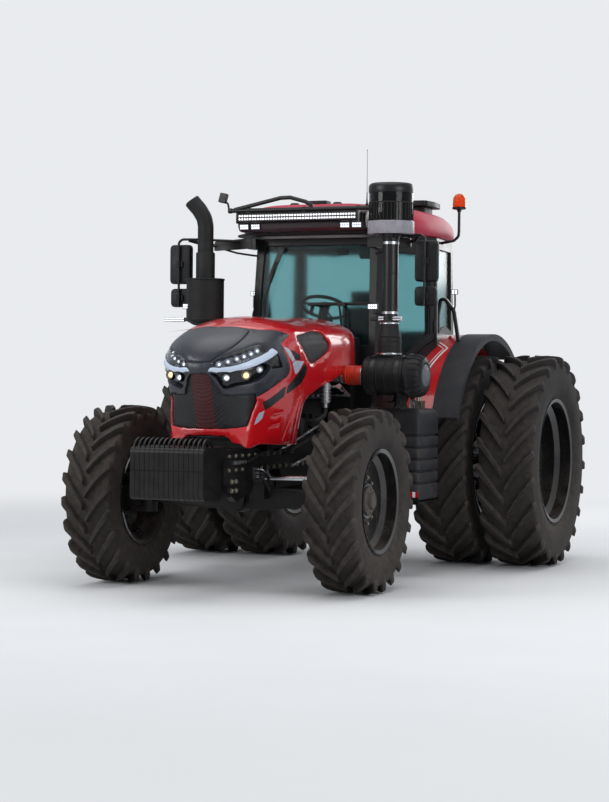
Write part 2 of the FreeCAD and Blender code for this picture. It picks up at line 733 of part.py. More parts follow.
def make_front_frame():
    """Two rails with a cross casting and a pivot cradle, open between them."""
    half = size.frame_width / 2
    wall = size.frame_wall
    nose, tail = size.wheelbase + size.frame_nose, size.wheelbase - size.frame_tail
    saddle = size.front_radius + size.saddle_rise
    low, high = size.frame_bottom, size.frame_top
    side = [
        (nose, low + 40), (nose, high), (tail, high - 60), (tail, low + 60),
        (size.wheelbase - 390, low + 60), (size.wheelbase - 290, saddle), (size.wheelbase + 290, saddle), (size.wheelbase + 390, low),
        (nose - 180, low - 60),
    ]
    shape = prism_x("Rail", side, half - wall, half)
    shape = shape.fuse(prism_x("Rail", side, -half, -half + wall))
    front = Part.makeBox(size.frame_width, wall * 1.5, high - low, V(-half, ahead(nose), low + 40 - wall))
    plate = Part.makeBox(size.frame_width, wall, 200, V(-half, ahead(size.wheelbase + 330), high - 200))
    top = Part.makeBox(size.frame_width, nose - size.wheelbase - 230, 30, V(-half, ahead(nose), high - 30))
    shape = shape.fuse([front, plate, top])
    near = size.casing_half + size.hanger_gap
    thick = size.hanger_thick
    for y in (size.wheelbase + near + thick, size.wheelbase - near):
        hanger = Part.makeBox(220, thick, saddle - size.front_radius + 20, V(-110, ahead(y), size.front_radius))
        ring = Part.makeCylinder(110, thick, V(0, ahead(y), size.front_radius), V(0, 1, 0))
        cross = Part.makeBox(size.frame_width, thick, 30, V(-half, ahead(y), saddle))
        shape = shape.fuse([hanger, ring, cross])
        hole = Part.makeCylinder(size.pivot_radius + size.fit, 80, V(0, ahead(y) - 10, size.front_radius), V(0, 1, 0))
        shape = shape.cut(hole)
    node(shaped("FrontFrame", one_solid(shape)), "front_frame")


def make_weights():
    nose = size.wheelbase + size.frame_nose
    half = size.frame_width / 2
    back = ahead(nose)
    face = back - size.carrier_length
    mid = size.weight_bottom + size.weight_height * 0.5
    bar_half = size.weight_count * size.weight_pitch / 2 + 20
    body = Part.makeBox(half * 1.4, size.carrier_length - 60, 145, V(-half * 0.7, back - size.carrier_length + 60, mid - 120))
    heel = Part.makeBox(half * 1.4, size.carrier_length - 108, 240, V(-half * 0.7, back - size.carrier_length + 108, mid - 120))
    bar = Part.makeBox(bar_half * 2, 60, 200, V(-bar_half, face, mid - 100))
    bore = Part.makeCylinder(size.tow_bore, 400, V(0, back - 26, mid - 200))
    carrier = body.fuse([heel, bar]).cut(bore)
    node(shaped("WeightCarrier", one_solid(carrier)), "weight_carrier")
    front = face - size.seat_gap
    rear_hook = front + 60
    low, high = size.weight_bottom, size.weight_bottom + size.weight_height
    start = front - (size.weight_length - 100)
    hook_low, hook_high = mid - 101, mid + 100 + size.seat_gap
    corners = [
        V(0, start, low), V(0, front, low), V(0, front, hook_high), V(0, rear_hook + 4, hook_high), V(0, rear_hook + 4, hook_low + 140),
        V(0, rear_hook + 40, hook_low + 140), V(0, rear_hook + 40, high), V(0, start, high),
    ]
    plate = face_of(corners).extrude(V(size.weight_thick, 0, 0))
    corner_edges = [
        edge for edge in plate.Edges
        if abs(edge.tangentAt(edge.FirstParameter).x) > 0.9 and edge.CenterOfMass.y < start + 1
    ]
    plate = plate.makeFillet(size.weight_round, corner_edges)
    span = (size.weight_length - 100) * 0.62
    ring = Part.makeCylinder(span / 2, size.handle_thick, V(size.weight_thick / 2 - size.handle_thick / 2, start + span / 2 + 20, high - span * 0.16), V(1, 0, 0))
    hole = Part.makeCylinder(span / 2 - size.handle_thick * 1.6, size.handle_thick * 2, V(0, start + span / 2 + 20, high - span * 0.16), V(1, 0, 0))
    below = Part.makeBox(size.weight_thick * 2, span * 2, span, V(-size.weight_thick / 2, start - span / 2, high - span - 2))
    handle = ring.cut(hole).cut(below)
    plate = plate.fuse(handle)
    seam = Part.makeBox(size.weight_thick * 2, 10, 8, V(-size.weight_thick / 2, start - 1, mid + 18))
    plate = one_solid(plate.cut(seam))
    plates = []
    count = int(size.weight_count)
    for index in range(count):
        copy = plate.copy()
        copy.translate(V((index - count / 2) * size.weight_pitch + (size.weight_pitch - size.weight_thick) / 2, 0, 0))
        plates.append(copy)
    node(shaped("FrontWeights", Part.makeCompound(plates)), "front_weights")


def make_engine():
    """A plain block at the engine's place, with its head, sump, fan drive, alternator, filters and manifold."""
    block_half = size.block_width / 2
    front, rear = size.engine_front, size.engine_rear
    length = front - rear
    low, high = size.engine_bottom, size.engine_top
    head_low = low + (high - low) * 0.62
    core = Part.makeBox(block_half * 2, length, head_low - low, V(-block_half, ahead(front), low))
    head = Part.makeBox(size.head_half * 2, length - 40, high - head_low, V(-size.head_half, ahead(front - 40), head_low))
    sump = Part.makeBox(block_half * 1.6, length * 0.7, size.sump_depth + 1, V(-block_half * 0.8, ahead(front - length * 0.25), low - size.sump_depth))
    pads = Part.makeBox(size.frame_width - 2 * size.frame_wall, 90, 70, V(-size.frame_width / 2 + size.frame_wall, ahead(front - 200), low + 30))
    shape = core.fuse([head, sump, pads])
    for x, z, radius in ((0, low + 180, 110), (140, low + 320, 70), (-130, low + 370, 60), (0, low + 460, 90)):
        pulley = Part.makeCylinder(radius, 60, V(x, ahead(front + 59), z), V(0, 1, 0))
        shape = shape.fuse(pulley)
    for y, z, radius in ((front - 200, low + 330, 50), (front - 420, low + 300, 52), (front - 580, low + 300, 52)):
        can = Part.makeCylinder(radius, 190, V(block_half + radius - 10, ahead(y), z - 120))
        shape = shape.fuse(can)
    for index in range(6):
        y = front - length * (0.12 + 0.155 * index)
        for side in (1, -1):
            port = Part.makeCylinder(30, 90, V(side * (size.head_half - 20), ahead(y), head_low + 60), V(side, 0, 0))
            shape = shape.fuse(port)
    for side in (1, -1):
        manifold = Part.makeCylinder(46, length * 0.9, V(side * (size.head_half + 70), ahead(front - length * 0.05), head_low + 60), V(0, 1, 0))
        shape = shape.fuse(manifold)
    node(shaped("Engine", one_solid(shape.removeSplitter())), "engine_block")
    low = size.frame_top + size.seat_gap
    corner = V(-size.frame_width / 2, ahead(size.wheelbase + size.cooler_reach), low)
    pack = Part.makeBox(size.frame_width, size.cooler_depth, size.cooler_height, corner)
    node(shaped("CoolingPack", pack), "cooling_pack")


def make_transmission():
    half = size.gearbox_width / 2
    front, low, high = size.engine_rear, size.gearbox_bottom, size.gearbox_top
    case_half = size.rear_case_width / 2
    house = Part.makeBox(size.gearbox_width, front - 300, high - low, V(-half, ahead(front), low))
    bell = Part.makeBox(size.gearbox_width * 1.15, 120, high - low + 60, V(-half * 1.15, ahead(front), low - 20))
    case = Part.makeBox(size.rear_case_width, 620, high - low + 90, V(-case_half, size.axle_y - 320, low - 40))
    shaft = Part.makeCylinder(42, size.wheelbase - front - 180, V(0, ahead(size.wheelbase - 180), size.front_radius), V(0, 1, 0))
    shape = house.fuse([bell, case, shaft])
    halves = [one_solid(shape)]
    for side in (1, -1):
        start = V(side * (case_half + size.seat_gap), size.axle_y, size.rear_radius)
        reach = size.trumpet_end - case_half - size.seat_gap
        tube_one = Part.makeCylinder(size.trumpet_radius, reach, start, V(side, 0, 0))
        flange = Part.makeCylinder(size.trumpet_radius * 1.3, 40, start, V(side, 0, 0))
        rim = Part.makeCylinder(size.trumpet_radius * 1.15, 35, V(side * (size.trumpet_end - 35), size.axle_y, size.rear_radius), V(side, 0, 0))
        bore = Part.makeCylinder(size.bar_radius + size.fit, size.bar_reach + 10, V(side * (size.trumpet_end - size.bar_reach), size.axle_y, size.rear_radius), V(side, 0, 0))
        halves.append(one_solid(tube_one.fuse([flange, rim]).cut(bore)))
    node(shaped("Transmission", Part.makeCompound(halves)), "transmission")


# Bonnet: plan sections at rising heights joined by a loft, its crown cut by an arched loft

def plan_section(height, corner_half, corner_ahead, centre_ahead, inset, rear):
    """A plan section: square at the back, straight sides to the lamps' corners, an arc across the nose."""
    half = size.bonnet_half_rear - inset
    corner = corner_half - inset
    side_half = min(half, corner_half + (size.bonnet_half_rear - corner_half) * 0.8 - inset)
    side_y = ahead(size.wing_rear_y)
    back = ahead(rear)
    nose = ahead(centre_ahead - inset)
    front = ahead(corner_ahead - inset * 0.7)
    points = [V(-corner, front, height), V(-side_half, side_y, height), V(-half, back, height), V(half, back, height), V(side_half, side_y, height), V(corner, front, height)]
    edges = [Part.LineSegment(one, two).toShape() for one, two in zip(points, points[1:])]
    edges.append(Part.Arc(points[-1], V(0, nose, height), points[0]).toShape())
    return Part.Wire(edges)


def bonnet_solid(inset, low_extra=0, rear_extra=0):
    lamp = size.nose_corner_y
    levels = (
        # height, half width at the corner, corner ahead, nose centre ahead
        (size.wing_bottom - low_extra, 345, lamp + 255, size.nose_y - 150),
        (size.grille_bottom, 358, lamp + 245, size.nose_y - 130),
        (size.pod_bottom, 405, lamp + 160, size.nose_y - 50),
        (size.lamp_mid, size.bonnet_half_front, lamp, size.nose_y),
        (size.lamp_top, 475, lamp - 80, size.nose_y - 110),
        (size.nose_top_z + 60, 455, lamp - 240, size.nose_y - 330),
        (size.bonnet_top_rear + 90, 400, lamp - 700, size.nose_y - 1000),
    )
    rear = size.bonnet_rear_y - rear_extra
    sections = [plan_section(height, half, corner, centre, inset, rear) for height, half, corner, centre in levels]
    body = Part.makeLoft(sections, True, True)
    arches = []
    for y, top in ((ahead(rear) + 1, size.bonnet_top_rear), (ahead(size.nose_y - 500), size.bonnet_top_front), (ahead(size.nose_y + 10), size.bonnet_top_front - 190)):
        half = size.bonnet_half_rear + 40
        low = size.wing_bottom - low_extra - 10
        top -= inset
        edge = top - 150
        points = [V(-half, y, edge), V(-half, y, low), V(half, y, low), V(half, y, edge)]
        edges = [Part.LineSegment(one, two).toShape() for one, two in zip(points, points[1:])]
        edges.append(Part.Arc(points[-1], V(0, y, top), points[0]).toShape())
        arches.append(Part.Wire(edges))
    crown = Part.makeLoft(arches, True, True)
    return body.common(crown)


def make_bonnet():
    wall = size.bonnet_wall
    outer = bonnet_solid(0)
    inner = bonnet_solid(wall, 60, 60)
    shell = outer.cut(inner)
    rear = size.bonnet_rear_y
    side_cut = prism_x("SideCut", [
        (size.wing_rear_y, size.wing_bottom - 200), (size.wing_rear_y, size.wing_bottom), (size.wing_rear_y - 120, size.side_bottom_front),
        (size.wing_rear_y - 260, size.side_bottom_front + 80), (size.stack_y + 140, size.side_bottom_rear - 15), (size.stack_y + 120, size.side_bottom_rear + 150),
        (rear - 20, size.side_bottom_rear + 150), (rear - 20, size.wing_bottom - 200),
    ], -700, 700)
    shell = shell.cut(side_cut)
    grille_outline = [
        (-338, size.grille_bottom + 8), (338, size.grille_bottom + 8), (392, size.pod_bottom - 25), (164, size.pod_bottom + 8), (64, size.pod_bottom + 165),
        (-64, size.pod_bottom + 165), (-164, size.pod_bottom + 8), (-392, size.pod_bottom - 25),
    ]
    front_low, front_high = ahead(size.nose_y + 60), ahead(size.nose_corner_y + 60)
    opening = prism_y(grille_outline, front_low, front_high)
    shell = shell.cut(opening)
    vent_outline = [(2909, 2040), (2400, 2085), (2262, 1958), (2628, 1815), (2730, 1915)]
    vents = []
    for side in (1, -1):
        low, high = (300, 600) if side > 0 else (-600, -300)
        opening_side = prism_x("Vent", vent_outline, low, high)
        vents.append(shell.common(opening_side))
        shell = shell.cut(opening_side)
    mask_zone = prism_x("MaskZone", [
        (size.nose_y + 100, 2400), (size.nose_corner_y - 260, 2400), (size.nose_corner_y - 380, 2070), (size.nose_corner_y - 190, 1971),
        (size.nose_corner_y - 390, 1748), (size.nose_corner_y + 110, size.pod_bottom - 40), (size.nose_y + 100, size.pod_bottom - 40),
    ], -700, 700)
    mask = shell.common(mask_zone)
    shell = shell.cut(mask_zone)
    lamps, strips, pods = [], [], []
    deep = ahead(size.nose_corner_y - 260)
    for side in (1, -1):
        lamp_zone = prism_y([(side * x, z) for x, z in ((75, 1775), (92, 1815), (367, 1982), (455, 1965), (530, 1905), (530, 1875), (300, 1795))], front_low, deep)
        strip_zone = prism_y([(side * x, z) for x, z in ((64, 1745), (75, 1775), (300, 1795), (530, 1875), (530, 1835), (300, 1755))], front_low, deep)
        pod_zone = prism_y([(side * x, z) for x, z in ((70, 1743), (300, 1753), (530, 1833), (530, 1760), (400, 1640), (170, 1625))], front_low, deep)
        lamps.append(mask.common(lamp_zone))
        strips.append(mask.common(strip_zone))
        pods.append(mask.common(pod_zone))
        mask = mask.cut([lamp_zone, strip_zone, pod_zone])
    bars = []
    plate = prism_y(grille_outline, front_low, front_high).common(bonnet_solid(wall * 0.6)).cut(bonnet_solid(wall * 2.6, 60, 60))
    low, high = size.grille_bottom, size.pod_bottom + 160
    rows = int((high - low) / size.grille_pitch)
    for row in range(rows):
        z = low + 30 + row * size.grille_pitch
        for x0, x1 in ((-380, -250), (-240, -70), (-60, 60), (70, 240), (250, 380)):
            slot = Part.makeBox(x1 - x0, 500, size.grille_pitch * 0.6, V(x0, front_low, z))
            bars.append(slot)
    inner_edge = prism_y([(x * 0.95, z + (12 if z < size.grille_bottom + 40 else -12)) for x, z in grille_outline], front_low, front_high)
    slots = Part.makeCompound(bars).common(inner_edge)
    grille = plate.cut(slots)
    for side in (1, -1):
        centre = V(side * size.bonnet_hinge_x, ahead(size.bonnet_hinge_y), size.bonnet_hinge_z)
        knuckle = hinge(centre, V(1, 0, 0), size.hinge_radius, size.hinge_pin, size.hinge_height, size.hinge_lug)[0]
        half = size.hinge_height / 2
        front = ahead(rear + 25)
        leaf = Part.makeBox(size.hinge_height, centre.y - front, size.hinge_radius * 2, V(centre.x - half, front, centre.z - size.hinge_radius))
        leaf = leaf.cut(Part.makeCylinder(size.hinge_pin + size.fit, 200, centre - V(100, 0, 0), V(1, 0, 0)))
        web = Part.makeBox(size.hinge_height, 22, 200, V(centre.x - half, front, centre.z))
        shell = shell.fuse([knuckle, leaf, web.common(bonnet_solid(wall * 0.5, 60, 60))])
    node(shaped("Bonnet", one_solid(shell)), "bonnet")
    node(shaped("NoseMask", Part.makeCompound(mask.Solids + [pod for item in pods for pod in item.Solids])), "nose_mask")
    node(shaped("Grilles", Part.makeCompound([one_solid(grille)] + [one_solid(vent) for vent in vents])), "grilles")
    node(shaped("Headlamps", Part.makeCompound(lamps)), "headlamps")
    node(shaped("LampStrips", Part.makeCompound(strips)), "lamp_strips")


def make_side_boxes():
    """Left: ridged step box. Right: the same body as a plain tank with straps."""
    deep = "tread_cut"
    for name in ("StepBox",):
        body = doc.addObject("PartDesign::Body", name)
        rib = "(step_top - step_bottom) / (tread_count * 2 + 4)"
        corners = [("0", "0")]
        corners.append(("step_width", "0"))
        for index in range(int(size.tread_count)):
            low = f"{rib} * {index * 2 + 1}"
            high = f"{rib} * {index * 2 + 2}"
            corners += [("step_width", low), (f"step_width - {deep}", f"{low} + {rib} / 3"), (f"step_width - {deep}", f"{high} - {rib} / 3"), ("step_width", high)]
        corners += [("step_width", "step_top - step_bottom - 30"), ("step_width - 30", "step_top - step_bottom"), ("0", "step_top - step_bottom")]
        sketch = outline(body, "XZ_Plane", corners)
        pad = body.newObject("PartDesign::Pad", name + "Pad")
        pad.Profile = sketch
        pad.setExpression("Length", bound("step_length"))
        place(body, ("step_x", "axle_y - step_front + step_length", "step_bottom"))
        hanger = block("StepHanger", ("step_x - gearbox_width / 2 + 1", "80", "90"), ("gearbox_width / 2", "axle_y - step_front + step_length / 2", "gearbox_bottom + 200"))
        left = fused(name + "Left", body, hanger)
    tank = block("TankBody", ("step_width", "step_length", "step_top - step_bottom"), ("-step_x - step_width", "axle_y - step_front", "step_bottom"))
    hanger = block("TankHanger", ("step_x - gearbox_width / 2 + 1", "80", "90"), ("-step_x - 1", "axle_y - step_front + step_length / 2", "gearbox_bottom + 200"))
    right = fused("TankRight", tank, hanger)
    pair = doc.addObject("Part::Compound", "SideBoxes")
    pair.Links = [left, right]
    node(pair, "side_boxes")


def make_stacks():
    """Intake on the left, exhaust on the right, each standing beside the bonnet's rear end."""
    y = "axle_y - stack_y"
    pipe = rod("IntakeTube", "intake_radius", "pipe_top - boot_top + 20", ("stack_x", y, "boot_top - 20"))
    boot = cone("Boot", "boot_radius", "intake_radius + 12", "boot_top - cleaner_z - cleaner_radius + 30", ("stack_x", y, "cleaner_z + cleaner_radius - 30"))
    node(fused("IntakePipe", pipe, boot), "intake_pipe")
    bowl = turned("PreCleaner", [
        ("intake_radius + 0.3", "0"), ("intake_radius + 20", "0"), ("bowl_radius * 0.62", "40"), ("bowl_radius * 0.93", "110"), ("bowl_radius * 0.93", "bowl_top - bowl_bottom - 115"),
        ("bowl_radius", "bowl_top - bowl_bottom - 105"), ("bowl_radius", "bowl_top - bowl_bottom - 45"), ("bowl_radius * 0.96", "bowl_top - bowl_bottom - 40"), ("bowl_radius * 0.9", "bowl_top - bowl_bottom"),
        ("0", "bowl_top - bowl_bottom"), ("0", "pipe_top - bowl_bottom + 0.3"), ("intake_radius + 0.3", "pipe_top - bowl_bottom + 0.3"),
    ], ("stack_x", y, "bowl_bottom"), "V_Axis", "XZ_Plane")
    node(bowl, "pre_cleaner")
    cleaner = rod("CleanerCan", "cleaner_radius", "cleaner_outer_x - cleaner_inner_x - 60", ("cleaner_inner_x", "axle_y - cleaner_y", "cleaner_z"), "x")
    cap = cone("CleanerCap", "cleaner_radius * 1.05", "cleaner_radius * 0.86", "60", ("cleaner_outer_x - 60", "axle_y - cleaner_y", "cleaner_z"), "x")
    disc = rod("CleanerDisc", "cleaner_radius * 0.5", "14", ("cleaner_outer_x - 1", "axle_y - cleaner_y", "cleaner_z"), "x")
    foot = block("CleanerFoot", ("60", "120", "cleaner_z - cleaner_radius - step_top + 60"), ("stack_x - 30", "axle_y - cleaner_y", "step_top + seat_gap"))
    can = fused("CleanerAll", cleaner, cap, disc, foot)
    hole = cone("CleanerHole", "boot_radius + 0.3", "intake_radius + 12.3", "boot_top - cleaner_z - cleaner_radius + 30", ("stack_x", y, "cleaner_z + cleaner_radius - 30.3"))
    node(cut("AirCleaner", can, hole), "air_cleaner")
    hose = rod("HoseTube", "hose_radius", "cleaner_inner_x - seat_gap - head_half", ("head_half", "axle_y - cleaner_y + 30", "cleaner_z"), "x")
    node(hose, "intake_hose")
    can = turned("Muffler", [
        ("0", "0"), ("muffler_radius * 0.6", "0"), ("muffler_radius * 0.98", "35"), ("muffler_radius", "45"), ("muffler_radius", "muffler_top - muffler_bottom - 12"),
        ("muffler_radius * 1.03", "muffler_top - muffler_bottom - 10"), ("muffler_radius * 1.03", "muffler_top - muffler_bottom"), ("0", "muffler_top - muffler_bottom"),
    ], ("-stack_x", y, "muffler_bottom"), "V_Axis", "XZ_Plane")
    leg = rod("ExhaustLeg", "exhaust_radius", "muffler_bottom - cleaner_z + 40", ("-stack_x", y, "cleaner_z - 20"))
    elbow = rod("ExhaustElbow", "exhaust_radius", "stack_x - head_half", ("-stack_x", y, "cleaner_z + 20"), "x")
    node(fused("MufflerAll", can, leg, elbow), "muffler")
    start = V(-size.stack_x, ahead(size.stack_y), size.muffler_top + size.seat_gap)
    turn = V(-size.stack_x, ahead(size.stack_y), size.exhaust_bend)
    mid = V(-size.stack_x - 95, ahead(size.stack_y), size.exhaust_bend + 100)
    tip = V(-size.stack_x - 105, ahead(size.stack_y), size.exhaust_tip)
    pipe = tube([start, turn, mid, tip], size.exhaust_radius, 75, size.exhaust_radius - 6)
    node(shaped("ExhaustPipe", one_solid(pipe)), "exhaust_pipe")


# Cab: a plan of six corners at the floor and the roof, joined by flat walls

def cab_solid(inset, low_extra=0, high_extra=0):
    def plan(height, front, middle, rear):
        left = [V(front[0] - inset, ahead(front[1] - inset), height), V(middle[0] - inset, ahead(middle[1]), height), V(rear[0] - inset, ahead(rear[1] + inset), height)]
        right = [V(-point.x, point.y, point.z) for point in reversed(left)]
        return Part.makePolygon(left + right + [left[0]])

    low, high = size.cab_floor - low_extra, size.cab_roof + high_extra
    share = 1 / (size.cab_roof - size.cab_floor)

    def leaning(floor_value, roof_value, height):
        return floor_value + (roof_value - floor_value) * (height - size.cab_floor) * share

    wires = []
    for height in (low, high):
        front = (leaning(size.front_post_x, size.front_post_top_x, height), leaning(size.front_post_y, size.front_post_top_y, height))
        middle = (leaning(size.middle_post_x, size.middle_post_x - 15, height), size.middle_post_y)
        rear = (leaning(size.rear_post_x, size.rear_post_x - 15, height), leaning(-size.rear_post_y, -size.rear_post_y + 60, height))
        wires.append(plan(height, front, middle, rear))
    return Part.makeLoft(wires, True, True)


def arch_cylinder(radius, low_x, high_x):
    centre = V(low_x, ahead(size.fender_y), size.fender_z)
    return Part.makeCylinder(radius, high_x - low_x, centre, V(1, 0, 0))


def door_outline(grow=0):
    """The door's edge seen from the side: raked front, foot cut to follow the fender."""
    front_low = size.front_post_y - size.post_width + grow
    front_high = size.front_post_top_y - size.post_width + grow
    hinge = size.middle_post_y + size.post_width / 2 - grow
    foot = size.cab_floor + 70 - grow
    head = size.cab_roof - 95 + grow
    return [
        (front_low - 10, foot), (front_high - 10, head), (hinge, head), (hinge, 2065 - grow),
        (hinge + 180, 1985 - grow), (hinge + 360, 1855 - grow), (hinge + 530, 1690 - grow), (hinge + 610, foot),
    ]


def window_outline():
    """The door's window, a post's width inside its edge."""
    edge = size.post_width * 0.75
    front_low = size.front_post_y - size.post_width
    front_high = size.front_post_top_y - size.post_width
    hinge = size.middle_post_y + size.post_width / 2
    foot = size.cab_floor + 70
    head = size.cab_roof - 95
    return [
        (front_low - 14 - edge, foot + edge), (front_high - 6 - edge, head - edge), (hinge + edge, head - edge), (hinge + edge, 2065 + edge * 0.9),
        (hinge + 180 + edge * 0.4, 1985 + edge), (hinge + 360 + edge * 0.6, 1855 + edge),
        (hinge + 530 + edge * 0.9, 1690 + edge * 0.8), (hinge + 610 + edge * 0.8, foot + edge),
    ]


def make_cab():
    wall = size.cab_wall
    outer = cab_solid(0)
    inner = cab_solid(wall, 20, 20)
    shell = outer.cut(inner)
    layer = cab_solid(wall * 0.35).cut(cab_solid(wall * 0.35 + size.glass_thick, 20, 20))
    arches = [arch_cylinder(size.fender_radius, size.fender_inner_x, 1500), arch_cylinder(size.fender_radius, -1500, -size.fender_inner_x)]
    shell = shell.cut(arches)
    top = size.cab_roof - 95
    doors, door_glass, quarters = [], [], []
    hinge_y = ahead(size.middle_post_y + size.post_width / 2)
    post_lugs = []
    for side in (1, -1):
        low, high = (300, 1200) if side > 0 else (-1200, -300)
        door_zone = prism_x("Door", door_outline(), low, high)
        window = prism_x("Window", window_outline(), low, high)
        door = shell.common(door_zone).cut(window)
        for height in (size.door_hinge_low, size.door_hinge_high):
            centre = V(side * size.hinge_x, hinge_y, height)
            knuckle, knuckle_room, lugs, lug_room = hinge(
                centre, V(0, 0, 1), size.hinge_radius, size.hinge_pin, size.hinge_height, size.hinge_lug
            )
            door = door.cut([lug_room, Part.makeCylinder(size.hinge_pin + size.fit, size.hinge_height, centre - V(0, 0, size.hinge_height / 2))])
            door = door.fuse(knuckle)
            shell = shell.cut(knuckle_room)
            post_lugs.append(lugs)
        doors.append(one_solid(door))
        door_glass.append(layer.common(window))
        shell = shell.cut(prism_x("DoorHole", door_outline(size.door_gap), low, high))
        back = size.middle_post_y - size.post_width / 2
        rear_edge = -size.rear_post_y + size.post_width + 60
        quarter = prism_x("Quarter", [(back, 2110), (back, top), (rear_edge - 10, top), (rear_edge, 2150), (220, 2190), (430, 2165)], low, high)
        quarters.append(layer.common(quarter))
        shell = shell.cut(quarter)
    front_low, front_high = ahead(size.front_post_y + 60), ahead(size.front_post_top_y - 160)
    half_low = size.front_post_x - size.post_width * 0.9
    half_high = size.front_post_top_x - size.post_width * 0.9
    screen = prism_y([(-half_low, size.cowl_top), (half_low, size.cowl_top), (half_high, top), (-half_high, top)], front_low, front_high)
    screen_glass = layer.common(screen)
    shell = shell.cut(screen)
    rear_low, rear_high = ahead(60), ahead(-size.rear_post_y - 60)
    rear_half = size.rear_post_x - size.post_width * 1.3
    rear_zone = [(-rear_half, 2210), (-rear_half + 60, 2150), (rear_half - 60, 2150), (rear_half, 2210), (rear_half - 8, top), (-rear_half + 8, top)]
    hole = prism_y([(x * 1.008, z - 6 if z < 2300 else z + 6) for x, z in rear_zone], rear_low, rear_high)
    shell = shell.cut(hole)
    rear_pane = outer.cut(cab_solid(size.glass_thick * 1.5, 20, 20)).common(prism_y(rear_zone, rear_low, rear_high))
    top_y = -size.rear_post_y + 60 * (top + 3 - size.cab_floor) / (size.cab_roof - size.cab_floor)
    for x in (size.pane_hinge_x, -size.pane_hinge_x):
        centre = V(x, ahead(top_y), top + 3)
        knuckle, knuckle_room, lugs, lug_room = hinge(
            centre, V(1, 0, 0), size.pane_hinge_radius, size.pane_pin, size.hinge_height, size.hinge_lug
        )
        bore = Part.makeCylinder(size.pane_pin + size.fit, size.hinge_height, centre - V(size.hinge_height / 2, 0, 0), V(1, 0, 0))
        rear_pane = rear_pane.cut([lug_room, bore]).fuse(knuckle)
        shell = shell.cut(knuckle_room)
        post_lugs.append(lugs)
    shell = one_solid(shell.fuse(post_lugs))
    node(shaped("CabFrame", shell), "cab_frame")
    node(shaped("CabGlass", Part.makeCompound([screen_glass] + quarters)), "cab_glass")
    for name, door, glass in zip(("left", "right"), doors, door_glass):
        node(shaped(f"Door_{name}", door), f"door_{name}")
        node(shaped(f"DoorGlass_{name}", glass), f"door_glass_{name}")
    node(shaped("RearWindow", one_solid(rear_pane)), "rear_window")
    slab = Part.makeBox(3000, 4000, 40, V(-1500, ahead(2500), size.cab_floor + 1))
    floor = cab_solid(wall + size.seat_gap, 20, 20).common(slab).cut(arches)
    beam = Part.makeBox(size.gearbox_width * 0.9, size.front_post_y, size.cab_floor - size.gearbox_top - 48, V(-size.gearbox_width * 0.45, ahead(size.front_post_y - 60), size.gearbox_top + 50 + size.seat_gap))
    low, half, rear = size.cab_floor, size.bonnet_half_rear, size.bonnet_rear_y
    sill = size.bonnet_top_rear
    cowl = prism_y([
        (-half + 30, low), (half - 30, low), (half - 30, sill - 178), (half * 0.5, sill - 112), (-half * 0.5, sill - 112), (-half + 30, sill - 178),
    ], ahead(rear + 40), ahead(size.front_post_top_y))
    cowl = cowl.cut(cab_solid(-size.seat_gap, 20, 20))
    cowl = max(cowl.Solids, key=lambda solid: solid.Volume)
    span = size.hinge_height / 2 + size.seat_gap
    for side in (1, -1):
        centre = V(side * size.bonnet_hinge_x, ahead(size.bonnet_hinge_y), size.bonnet_hinge_z)
        lugs = hinge(centre, V(1, 0, 0), size.hinge_radius, size.hinge_pin, size.hinge_height, size.hinge_lug)[2]
        arms = []
        for x in (centre.x - span - size.hinge_lug, centre.x + span):
            foot = V(x, centre.y - size.hinge_radius, sill - 190)
            arms.append(Part.makeBox(size.hinge_lug, size.hinge_radius * 2, centre.z - foot.z, foot))
        cowl = cowl.fuse(arms).fuse(lugs)
    node(shaped("CabFloor", Part.makeCompound([one_solid(floor.fuse(beam)), cowl])), "cab_floor")


